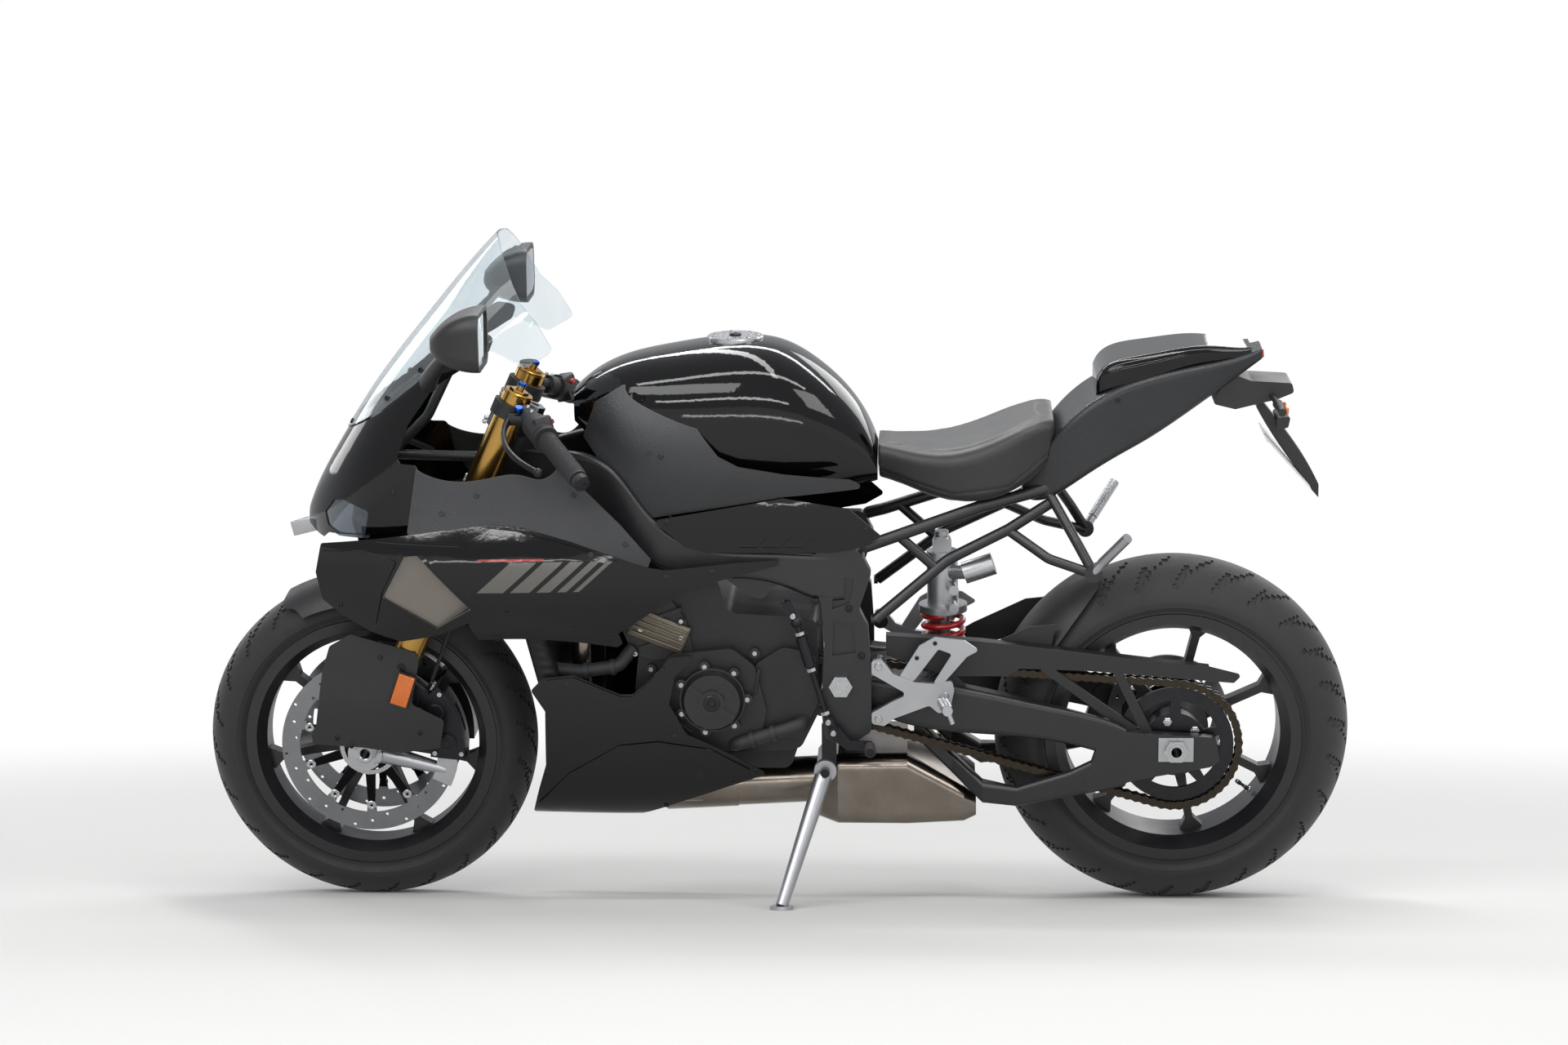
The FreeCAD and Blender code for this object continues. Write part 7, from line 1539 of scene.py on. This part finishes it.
@dataclass
class Nose(Assembly):
    """Mirror glass, lamps, the display's glass, screen screws and the lip under the lamps."""

    lip: Block = Block((40, 70, 26), 3.0, 1.0, 1.0)
    lip_front: float = -17.0
    lip_taper: Triple = (1, 0.5, 0.6)
    lip_taper_centre: Triple = (-20, 0, 2)
    lip_edge: float = 1.5
    lip_place: Triple = (-829, 0, 703)
    lip_way: Triple = (-0.25, 0, 1)
    mirror_glass: Block = Block((119, 81, 3), 1.5, 0.3, 1.2)
    mirror_place: Triple = (-465, 355, 1104)
    mirror_turn: float = 0.02
    projector: Turning = Turning(((0, 12), (8, 11), (14, 8), (18, 3), (19, 0), (21, -1), (23, -1),
                                  (24, 1), (25, 1), (25, -16), (14, -30), (0, -32)), 40)
    projector_place: Triple = (-722, 106, 746)
    projector_way: Triple = (-1, 0.55, -0.08)
    light_bar: Block = Block((54, 5, 6), 1.0, 0.8, 1.0)
    light_bar_place: Triple = (-742, 118, 772)
    light_bar_way: Triple = (-1, 1.1, 0.2)
    light_bar_spin: float = 8.0
    display: Block = Block((146, 82, 3), 2.0, 0.5, 1.2)
    display_place: tuple[float, float] = (-534, 1030)
    display_out: float = 1.2
    display_tilt: float = 34.0
    screen_screw: BoltHead = BoltHead(5.0, 2.6)
    screen_screws: tuple[tuple[float, float], ...] = (
        (-663, 959), (-600, 1012), (-480, 1062), (-740, 902))

    def build(self) -> None:
        """Builds the nose's details."""
        for name, side in SIDES:
            self.build_mirror(name, side)
            self.build_lamp(name, side)
        self.build_display()
        self.dark_bolts("screen_screws", "root",
                        surface_spots("windscreen", self.screen_screws), self.screen_screw)
        self.build_lip()

    def build_lip(self) -> None:
        """The pale lip under the lamps, narrower in front."""
        piece = self.lip.make()
        open_mesh(piece)
        select_faces(piece, lambda face: face.calc_center_median().x < mm(self.lip_front))
        bpy.ops.transform.resize(value=self.lip_taper,
                                 center_override=[mm(value) for value in self.lip_taper_centre])
        bpy.ops.object.mode_set(mode="OBJECT")
        soften(piece, self.lip_edge, 2)
        piece.data.transform(fitted(*self.lip_place, self.lip_way))
        self.keep(piece, "nose_lip", "root", "satin_grey", SILVER_FORGING)

    def build_mirror(self, name: str, side: int) -> None:
        """The mirror's glass in its pocket.

        Args:
            name: the side's name.
            side: -1 for the left and 1 for the right.
        """
        back, across, up = self.mirror_place
        move = fitted(back, side * across, up, (1, -side * self.mirror_turn, 0))
        self.fit(self.mirror_glass, move, name + "_mirror_glass", "root", "lamp_glass",
                 MIRROR_GLASS)

    def build_lamp(self, name: str, side: int) -> None:
        """A projector with its bezel, and a slim bright bar above it, behind the lens.

        Args:
            name: the side's name.
            side: -1 for the left and 1 for the right.
        """
        back, across, up = self.projector_place
        ahead, aside, rise = self.projector_way
        self.fit(self.projector, fitted(back, side * across, up, (ahead, side * aside, rise)),
                 name + "_projector", "root", "silver_metal", BRIGHT_STEEL)
        back, across, up = self.light_bar_place
        ahead, aside, rise = self.light_bar_way
        move = fitted(back, side * across, up, (ahead, side * aside, rise),
                      side * self.light_bar_spin)
        self.fit(self.light_bar, move, name + "_light_bar", "root", "plate_white", WHITE_ENAMEL)

    def build_display(self) -> None:
        """The instrument's dark glass, square to its panel."""
        tilt = math.radians(self.display_tilt)
        back, up = self.display_place
        move = fitted(back + self.display_out * math.cos(tilt), 0,
                      up - self.display_out * math.sin(tilt),
                      (math.cos(tilt), 0, -math.sin(tilt)))
        self.fit(self.display, move, "display_glass", "root", "lamp_glass", DARK_GLASS)


# Engine sides and footrests


@dataclass(frozen=True)
class CoverRing:
    """The ring of bolts round an engine cover, in millimetres."""

    name: str
    side: int
    centre: tuple[float, float]
    face: float
    radius: float
    count: int


@dataclass
class EngineDetails(Assembly):
    """Cover bolts, crankcase ribs, the head's casting, lever parts, peg teeth, frame bolts."""

    cover_rings: tuple[CoverRing, ...] = (
        CoverRing("generator_cover_bolts", -1, (-94, 424), 185.3, 61.5, 7),
        CoverRing("clutch_cover_bolts", 1, (-62, 428), 195.3, 87.5, 9))
    cover_bolt: BoltHead = BoltHead(5.2, 4.5)
    generator_plug: Turning = Turning(((0, 0), (15, 0), (15, 1.5), (13.5, 2.5), (7, 2.5),
                                       (6, 0.8), (0, 0.8)), 40)
    generator_plug_place: Triple = (-94, -212.6, 424)
    oil_cap: Turning = Turning(((0, 0), (17, 0), (17, 3), (12, 4), (12, 12), (10, 13.5),
                                (0, 13.5)), 8)
    oil_cap_place: Triple = (-20, 214, 470)
    case_bolt: BoltHead = BoltHead(5.0, 4.0)
    case_bolts: tuple[tuple[float, float], ...] = (
        (-205, 470), (-190, 365), (-30, 350), (60, 470), (70, 390), (-20, 500), (20, 360))
    case_side: float = 153.5
    case_rib: Block = Block((46, 5, 8), 1.2, 0.8, 1.2)
    case_rib_places: tuple[Triple, ...] = (
        (-168, 478, 40), (-176, 462, 34), (-150, 372, -40), (-16, 452, 80))
    case_rib_side: float = -168.5
    head: Block = Block((104, 52, 8), 4.0, 2.0, 2.0)
    head_fin: Block = Block((96, 4, 8), 1.0, 1.0, 0.8)
    head_fins: int = 4
    head_fin_pitch: float = 11.0
    head_fin_first: float = -16.0
    head_fin_up: float = 6.0
    head_place: Triple = (-190, -152, 540)
    head_turn: float = -22.0
    head_bolt: BoltHead = BoltHead(4.6, 5.0)
    head_bolts: tuple[tuple[float, float], ...] = (
        (-232, 500), (-150, 560), (-222, 545), (-150, 530))
    head_bolt_side: float = 157.0
    lever_bolt: BoltHead = BoltHead(5.5, 4.0)
    lever_bolts: tuple[Triple, ...] = (
        (120, -200, 366), (111, -196.2, 385), (50, -192.2, 578), (130, 198.2, 362))
    sleeve_rings: int = 7
    sleeve_pitch: float = 5.0
    sleeve_radii: Triple = (7.6, 8.6, 9.8)
    sleeve_length: float = 38.0
    sleeve_steps: int = 32
    sleeve_place: Triple = (184.4, -200, 341)
    sleeve_way: Triple = (0.04, -1, 0)
    rod_nut: Turning = Turning(((4.4, 0), (8.6, 0), (8.6, 6), (4.4, 6), (4.4, 0)), 6)
    rod_start: Triple = (110, -192, 388)
    rod_run: Triple = (-52, 4, 172)
    rod_nut_shares: tuple[float, ...] = (0.06, 0.52, 0.9)
    peg_tooth: Block = Block((4.2, 5.0, 3.4), 1.1, 1.1, 0.5)
    peg_start: Triple = (314, 190, 426.9)
    peg_step: Triple = (0.86, 6.4, 0.35)
    peg_teeth: int = 9
    peg_row_back: float = 6.0
    peg_row_drop: float = 1.6
    peg_row_lean: float = 0.1
    bracket_bolt: BoltHead = BoltHead(7.0, 5.0)
    bracket_bolts: tuple[tuple[float, float], ...] = ((200, 484), (200, 387), (318, 430))
    bracket_side: float = 182.0
    heel_screw: BoltHead = BoltHead(4.0, 2.4)
    heel_screws: tuple[tuple[float, float], ...] = ((300, 525), (268, 498))
    heel_side: float = 177.0
    frame_bolt: BoltHead = BoltHead(6.0, 4.0)
    frame_bolts: tuple[tuple[float, float], ...] = ((148, 586), (96, 560), (170, 500), (90, 600))
    frame_side: float = 172.0

    def build(self) -> None:
        """Builds the details round the engine."""
        self.build_cover_parts()
        self.build_case_parts()
        self.build_head()
        self.build_lever_parts()
        for name, side in SIDES:
            self.build_peg(name, side)
        self.dark_bolts("frame_bolts", "root", side_spots(self.frame_bolts, self.frame_side),
                        self.frame_bolt)

    def build_cover_parts(self) -> None:
        """The bolts round both engine covers, the generator's plug and the oil cap."""
        for ring in self.cover_rings:
            back, up = ring.centre
            spots = ring_of(on_bike(back, 0, up), ring.radius, ring.count, ring.side, ring.face)
            self.bolts(ring.name, "root", spots, self.cover_bolt)
        self.fit(self.generator_plug, fitted(*self.generator_plug_place), "generator_plug",
                 "root", "dark_steel", DARK_STEEL)
        self.fit(self.oil_cap, fitted(*self.oil_cap_place, (0, 1, 0)), "oil_filler_cap", "root",
                 "engine_cover", COVER_PAINT)

    def build_case_parts(self) -> None:
        """Bolts and cast ribs on the crankcase beside the covers."""
        spots = [(on_bike(back, side * self.case_side, up), bike_way(0, side, 0))
                 for back, up in self.case_bolts for side in (-1, 1)]
        self.bolts("case_bolts", "root", spots, self.case_bolt)
        moves = [fitted(back, self.case_rib_side, up, (0, -1, 0), turn)
                 for back, up, turn in self.case_rib_places]
        self.keep(copies(self.case_rib.make(), moves), "crankcase_ribs", "root", "engine_metal",
                  ENGINE_PAINT)

    def build_head(self) -> None:
        """The finned head casting with its bolts, seen through the fairing's gap."""
        casting = self.head.make()
        moves = [Matrix.Translation((0, mm(row * self.head_fin_pitch + self.head_fin_first),
                                     mm(self.head_fin_up))) for row in range(self.head_fins)]
        piece = joined([casting, copies(self.head_fin.make(), moves)])
        piece.data.transform(fitted(*self.head_place, (0, -1, 0), self.head_turn))
        self.keep(piece, "head_casting", "root", "engine_metal", HEAD_CASTING)
        spots = side_spots(self.head_bolts, self.head_bolt_side, (-1,))
        self.bolts("head_bolts", "root", spots, self.head_bolt)

    def build_lever_parts(self) -> None:
        """Pivot bolts, the gear lever's rubber sleeve and the shift rod's nuts."""
        spots = [(on_bike(back, right, up), bike_way(0, math.copysign(1, right), 0))
                 for back, right, up in self.lever_bolts]
        self.bolts("lever_bolts", "root", spots, self.lever_bolt)
        bore, valley, crest = self.sleeve_radii
        profile = [(bore, 0)]
        for number in range(self.sleeve_rings):
            start = number * self.sleeve_pitch
            profile += [(valley, start + 1), (crest, start + 2), (crest, start + 4),
                        (valley, start + 5)]
        profile += [(valley, self.sleeve_length), (bore, self.sleeve_length), (bore, 0)]
        self.fit(Turning(tuple(profile), self.sleeve_steps),
                 fitted(*self.sleeve_place, self.sleeve_way),
                 "gear_lever_sleeve", "root", "bar_black", GRIP_RUBBER)
        moves = [fitted(*(start + run * share for start, run in zip(self.rod_start, self.rod_run)),
                        self.rod_run) for share in self.rod_nut_shares]
        self.keep(copies(self.rod_nut.make(), moves), "shift_rod_nuts", "root", "bright_steel",
                  BRIGHT_STEEL)

    def build_peg(self, name: str, side: int) -> None:
        """The teeth of a foot peg, its bracket's bolts and its heel guard's screws.

        Args:
            name: the side's name.
            side: -1 for the left and 1 for the right.
        """
        back, across, up = self.peg_start
        moves = []
        for number in range(self.peg_teeth):
            step = [number * value for value in self.peg_step]
            for row in (-1, 0, 1):
                moves.append(fitted(back + step[0] + row * self.peg_row_back,
                                    side * (across + step[1]),
                                    up + step[2] - abs(row) * self.peg_row_drop,
                                    (self.peg_row_lean * row, 0, 1)))
        self.keep(copies(self.peg_tooth.make(), moves), name + "_peg_teeth", "root",
                  "silver_metal", SILVER_FORGING)
        self.bolts(name + "_bracket_bolts", "root",
                   side_spots(self.bracket_bolts, self.bracket_side, (side,)), self.bracket_bolt)
        self.dark_bolts(name + "_heel_guard_bolts", "root",
                        side_spots(self.heel_screws, self.heel_side, (side,)), self.heel_screw)


@dataclass
class Bodywork(Assembly):
    """Panel screws, the fuel cap's parts, tail lamps, printed stripes, chain adjusters."""

    screw: BoltHead = BoltHead(5.2, 1.8)
    screws: tuple[tuple[str, tuple[tuple[float, float], ...]], ...] = (
        ("side_fairings", ((-420, 728), (-300, 700), (-170, 655), (-90, 662), (-745, 605),
                           (-450, 592), (-335, 560), (-470, 545), (-365, 480), (-275, 540))),
        ("belly_pans", ((-350, 455), (-190, 480), (-390, 290), (-180, 225), (-60, 275),
                        (-160, 360), (-20, 292))),
        ("cockpit_panels", ((-500, 800), (-330, 800), (-240, 715), (-560, 770))),
        ("frame_covers", ((-170, 745), (180, 730), (20, 775))),
        ("tank_covers", ((-180, 860), (130, 870))),
        ("tail_fairing", ((470, 900), (620, 950))),
        ("front_cowl", ((-600, 880), (-650, 800))))
    cap_way: Triple = (0.06, 0, 1)
    cap_bolt: BoltHead = BoltHead(3.8, 2.2)
    cap_bolts: int = 7
    cap_ring: float = 40.0
    cap_clearance: float = 60.0
    cap_lock: Turning = Turning(((0, 0), (11, 0), (11, 2.4), (9.5, 3.6), (4, 3.6), (3.4, 2.2),
                                 (0, 2.2)), 36)
    tail_lens: Block = Block((74, 16, 5), 2.0, 1.0, 1.5)
    tail_lens_place: Triple = (877, 0, 1018)
    tail_lens_way: Triple = (1, 0, 0.1)
    turn_lens: Block = Block((52, 13, 5), 2.0, 1.0, 1.5)
    turn_lens_place: Triple = (911, 132, 938)
    bars: tuple[tuple[float, float], ...] = (
        (-500, 46), (-442, 34), (-396, 24), (-360, 16), (-332, 10))
    bar_heights: tuple[float, float] = (634, 688)
    bar_slant: float = 60.0
    pin_line: tuple[tuple[float, float], ...] = ((-500, 690), (-385, 690), (-381, 694), (-496, 694))
    duct_floor: tuple[tuple[float, float], ...] = (
        (-626, 698), (-603, 700), (-512, 603), (-573, 566), (-666, 624))
    adjuster_bolt: BoltHead = BoltHead(6.0, 8.0)
    adjusters: tuple[tuple[float, float], ...] = ((790, 323),)
    adjuster_side: float = 140.0

    def build(self) -> None:
        """Builds the bodywork's details."""
        for node, rows in self.screws:
            self.dark_bolts(node + "_screws", "root", surface_spots(node, rows),
                            self.screw)
        self.build_fuel_cap()
        self.build_tail_lamps()
        self.build_stripes()
        spots = side_spots(self.adjusters, self.adjuster_side, way=bike_way(1, 0, 0))
        self.bolts("chain_adjusters", "root", spots, self.adjuster_bolt)

    def build_fuel_cap(self) -> None:
        """The filler cap's ring of bolts and its lock, on its own surface."""
        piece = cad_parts["fuel_cap"]
        up = bike_way(*self.cap_way)
        above = Vector(centre_of("fuel_cap")) + up * mm(self.cap_clearance)
        spots = []
        for number in range(self.cap_bolts):
            turn = math.tau * number / self.cap_bolts
            start = above + bike_way(math.cos(turn), math.sin(turn), 0) * mm(self.cap_ring)
            hit, spot, normal, _ = piece.ray_cast(start, -up)
            if hit:
                spots.append((spot, normal))
        self.bolts("fuel_cap_bolts", "root", spots, self.cap_bolt)
        hit, spot, normal, _ = piece.ray_cast(above, -up)
        if hit:
            self.fit(self.cap_lock, facing(spot, normal), "fuel_cap_lock", "root",
                     "bright_metal", DARK_STEEL)

    def build_tail_lamps(self) -> None:
        """The tail lamp's red lens and the amber lenses of the turn signals."""
        self.fit(self.tail_lens, fitted(*self.tail_lens_place, self.tail_lens_way), "tail_lens",
                 "root", "red_spring", RED_LENS)
        back, across, up = self.turn_lens_place
        for name, side in SIDES:
            self.fit(self.turn_lens, fitted(back, side * across, up, (1, 0, 0)),
                     name + "_turn_lens", "root", "lamp_glass", AMBER_LENS)

    def build_stripes(self) -> None:
        """Slanted printed stripes, a thin line above them and the ducts' warm grey floor."""
        low, high = self.bar_heights
        stripes = {}
        for number, (start, width) in enumerate(self.bars):
            end = start + width
            outline = ((start, low), (end, low), (end + self.bar_slant, high),
                       (start + self.bar_slant, high))
            stripes[f"bar_{number}"] = (outline, GREY_STRIPE)
        stripes["pin_line"] = (self.pin_line, RED_ENAMEL)
        stripes["duct_floor"] = (self.duct_floor, DUCT_GREY)
        for name, (outline, finish) in stripes.items():
            for side_name, side in SIDES:
                layer = peel("side_fairings", band_cuts(outline, side), side)
                if not layer.data.polygons:
                    LOG.warning("%s %s lies beside the panel", side_name, name)
                    bpy.data.objects.remove(layer)
                    continue
                self.keep(layer, f"{side_name}_{name}", "root", "satin_grey", finish)


# Soft goods


@dataclass
class Seats(Assembly):
    """The rider's padded seat, swollen from its solid as a filled cover."""

    voxel_mm: float = 5.0
    slack_mm: float = 4.0
    aside_mm: float = 1.5
    crown_mm: float = 3.0
    least_gap_mm: float = 0.6
    most_gap_mm: float = 2.5
    crease_angle: float = 60.0
    smooth_steps: int = 3
    smooth_factor: float = 0.5
    pressure: float = 4.0
    cover_mass: float = 0.3
    quality: int = 5
    last_frame: int = 20
    seam_height_mm: float = 17.0
    seam_width_mm: float = 2.6
    seam_depth_mm: float = 1.6
    flat_share: float = 0.85
    stations: tuple[tuple[float, float], ...] = (
        (198, 800), (250, 785), (330, 766), (430, 781), (512, 846))

    def build(self) -> None:
        """Builds the seat."""
        seat = self.swell("rider_seat")
        self.sew(seat)
        self.keep(seat, "rider_seat_cushion", "root", "seat_leather", SEAT_VINYL,
                  self.crease_angle)
        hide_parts("rider_seat")

    def swell(self, node: str) -> bpy.types.Object:
        """Fills a copy of a CAD node with air under a cloth cover.

        Args:
            node: the node to stand in for.

        Returns:
            The swollen cushion, inside the node's own surface but for its crown.
        """
        piece = copy_of(node)
        pick_up(piece)
        piece.data.remesh_voxel_size = mm(self.voxel_mm)
        bpy.ops.object.voxel_remesh()
        normals = [vertex.normal.copy() for vertex in piece.data.vertices]
        for vertex, normal in zip(piece.data.vertices, normals):
            vertex.co -= normal * mm(self.slack_mm)
        start = [vertex.co.copy() for vertex in piece.data.vertices]
        self.inflate(piece)
        up = bike_way(0, 0, 1)
        for vertex, old, normal in zip(piece.data.vertices, start, normals):
            moved = vertex.co - old
            along = moved.dot(normal)
            aside = moved - normal * along
            if aside.length > mm(self.aside_mm):
                aside *= mm(self.aside_mm) / aside.length
            most = mm(self.slack_mm - self.least_gap_mm) \
                + mm(self.crown_mm) * max(0.0, normal.dot(up)) ** 2
            least = mm(self.slack_mm - self.most_gap_mm)
            vertex.co = old + aside + normal * min(max(along, least), most)
        add_modifier(piece, "SMOOTH", iterations=self.smooth_steps, factor=self.smooth_factor)
        add_modifier(piece, "SUBSURF", levels=1)
        return piece

    def inflate(self, piece: bpy.types.Object) -> None:
        """Runs the cloth simulation of a cushion's cover and applies it.

        Args:
            piece: the closed cover.
        """
        cover = piece.modifiers.new("cover", "CLOTH")
        cover.settings.quality = self.quality
        cover.settings.mass = self.cover_mass
        cover.settings.use_pressure = True
        cover.settings.uniform_pressure_force = self.pressure
        cover.settings.effector_weights.gravity = 0.0
        cover.collision_settings.use_collision = False
        for frame_number in range(1, self.last_frame + 1):
            bpy.context.scene.frame_set(frame_number)
        bpy.ops.object.modifier_apply(modifier=cover.name)
        bpy.context.scene.frame_set(1)

    def edge_height(self, back: float) -> float:
        """The height of the seat's lower edge.

        Args:
            back: millimetres behind the motorcycle's zero.

        Returns:
            Millimetres above the ground.
        """
        for (near, low), (far, next_low) in zip(self.stations, self.stations[1:]):
            if back <= far:
                return low + (next_low - low) * ((back - near) / (far - near))
        return self.stations[-1][1]

    def sew(self, piece: bpy.types.Object) -> None:
        """Draws a seam into the cushion's side above its edge.

        Args:
            piece: the cushion, in the leaned frame.
        """
        back_home = (Matrix.Translation(STANCE_SHIFT) @ LEANED).inverted()
        up = bike_way(0, 0, 1)
        moves = []
        for vertex in piece.data.vertices:
            place = back_home @ vertex.co
            if abs(vertex.normal.dot(up)) > self.flat_share:
                moves.append(Vector())
                continue
            level = self.edge_height(place.x / MILLIMETRE) + self.seam_height_mm
            away = (place.z / MILLIMETRE - level) / self.seam_width_mm
            moves.append(vertex.normal * mm(self.seam_depth_mm * math.exp(-away * away)))
        for vertex, move in zip(piece.data.vertices, moves):
            vertex.co -= move


# Studio


@dataclass(frozen=True)
class SoftBox:
    """A rectangular lamp in metres and watts that looks at the motorcycle's middle."""

    name: str
    spot: Triple
    size: tuple[float, float]
    power: float


@dataclass
class Studio:
    """The floor, the light and the camera of the photograph."""

    camera_spot: Triple = (0.288, -6.196, 0.708)
    camera_turn: float = 0.03812
    lens: float = 80.0
    sensor_width: float = 36.0
    shift_x: float = -0.0109
    shift_y: float = -0.0083
    floor_tone: str = "C4C4C2"
    floor_roughness: float = 0.8
    floor_reach: float = 40.0
    floor_corners: int = 64
    floor_fade: tuple[float, float] = (1.3, 5.0)
    surround: float = 1.0
    light_tone: str = "F4F6FA"
    diffuse_light: float = 0.42
    glossy_light: float = 0.6
    aim: Triple = (0, 0, 0.5)
    lamps: tuple[SoftBox, ...] = (
        SoftBox("key_box", (-1.8, -3.4, 2.9), (3.4, 1.2), 70.0),
        SoftBox("near_strip", (0.2, -1.7, 3.3), (5.4, 0.3), 56.0),
        SoftBox("middle_strip", (0.2, 0.1, 3.7), (5.4, 0.3), 56.0),
        SoftBox("far_strip", (0.2, 1.9, 3.3), (5.4, 0.3), 56.0),
        SoftBox("side_strip", (-0.2, -4.6, 1.7), (5.6, 0.22), 48.0),
        SoftBox("low_strip", (0.4, -4.2, 0.12), (4.6, 0.12), 16.0),
        SoftBox("tail_box", (3.4, -2.2, 2.6), (1.6, 1.6), 40.0),
        SoftBox("back_box", (2.4, 3.6, 2.8), (2.8, 1.8), 40.0),
        SoftBox("nose_box", (-3.6, 2.6, 2.4), (1.8, 1.8), 28.0))

    def build(self) -> None:
        """Builds floor, light and camera."""
        self.build_floor()
        self.build_world()
        self.build_lamps()
        self.build_camera()

    def build_floor(self) -> None:
        """A plain pale floor that fades into the white surround far from the motorcycle."""
        lay_down()
        bpy.ops.mesh.primitive_circle_add(vertices=self.floor_corners, radius=self.floor_reach,
                                          fill_type="NGON")
        floor = bpy.context.object
        floor.name = "studio_floor"
        material = bpy.data.materials.new("painted_studio_floor")
        material.use_nodes = True
        tree = material.node_tree
        shader = tree.nodes["Principled BSDF"]
        shader.inputs["Base Color"].default_value = colour(self.floor_tone)
        shader.inputs["Roughness"].default_value = self.floor_roughness
        spot = add_node(tree, "TexCoord").outputs["Object"]
        reach = add_node(tree, "VectorMath", {"operation": "LENGTH"}, in0=spot)
        fade = add_node(tree, "MapRange", {"interpolation_type": "SMOOTHSTEP"},
                        Value=reach.outputs["Value"], From_Min=self.floor_fade[0],
                        From_Max=self.floor_fade[1], To_Min=0.0, To_Max=1.0)
        white = add_node(tree, "Emission", Color=(1, 1, 1, 1), Strength=self.surround)
        mix = add_node(tree, "MixShader", in0=fade.outputs["Result"], in1=shader.outputs[0],
                       in2=white.outputs[0])
        tree.links.new(mix.outputs[0], tree.nodes["Material Output"].inputs["Surface"])
        floor.data.materials.append(material)

    def build_world(self) -> None:
        """A white surround for the camera and through glass, with softer light for the rest."""
        world = bpy.data.worlds.new("soft_surround")
        bpy.context.scene.world = world
        world.use_nodes = True
        tree = world.node_tree
        tree.nodes.clear()
        pale = add_node(tree, "Background", Color=(1, 1, 1, 1), Strength=self.surround)
        path = add_node(tree, "LightPath")
        power = add_node(tree, "MapRange", Value=path.outputs["Is Glossy Ray"],
                         To_Min=self.diffuse_light, To_Max=self.glossy_light)
        light = add_node(tree, "Background", Color=colour(self.light_tone),
                         Strength=power.outputs["Result"])
        seen = add_node(tree, "Math", {"operation": "MAXIMUM"},
                        in0=path.outputs["Is Camera Ray"], in1=path.outputs["Is Transmission Ray"])
        mix = add_node(tree, "MixShader", in0=seen.outputs[0], in1=light.outputs[0],
                       in2=pale.outputs[0])
        add_node(tree, "OutputWorld", Surface=mix.outputs[0])

    def build_lamps(self) -> None:
        """Large soft boxes and strips above, in front and behind."""
        for box in self.lamps:
            data = bpy.data.lights.new(box.name, "AREA")
            data.shape = "RECTANGLE"
            data.size, data.size_y = box.size
            data.energy = box.power
            lamp = bpy.data.objects.new(box.name, data)
            bpy.context.scene.collection.objects.link(lamp)
            lamp.location = box.spot
            towards = Vector(self.aim) - Vector(box.spot)
            lamp.rotation_euler = towards.to_track_quat("-Z", "Y").to_euler()

    def build_camera(self) -> None:
        """The camera of the photograph: level, nearly square on, from low down."""
        data = bpy.data.cameras.new("photo_camera")
        data.lens = self.lens
        data.sensor_width = self.sensor_width
        data.sensor_fit = "HORIZONTAL"
        data.shift_x, data.shift_y = self.shift_x, self.shift_y
        camera = bpy.data.objects.new("photo_camera", data)
        bpy.context.scene.collection.objects.link(camera)
        camera.location = self.camera_spot
        camera.rotation_euler = (math.pi / 2, 0, self.camera_turn)
        bpy.context.scene.camera = camera


ASSEMBLIES = (Wheels, ForkDetails, Controls, Nose, EngineDetails, Bodywork, Seats)


def dress_nodes(shop: Workshop) -> None:
    """Gives every CAD node its finish.

    Args:
        shop: where the finishes are kept.
    """
    for place in Place:
        node, finish = place.value
        shop.dress(node, finish)
        LOG.info("dressed %s with %s", node, finish.name)


def main() -> None:
    """Builds the studio, dresses the motorcycle and fits its details."""
    logging.basicConfig(level=logging.INFO)
    bpy.context.scene.view_settings.view_transform = "Standard"
    shop = Workshop()
    Studio().build()
    dress_nodes(shop)
    for assembly in ASSEMBLIES:
        assembly(shop).build()


if __name__ == "__main__":
    main()
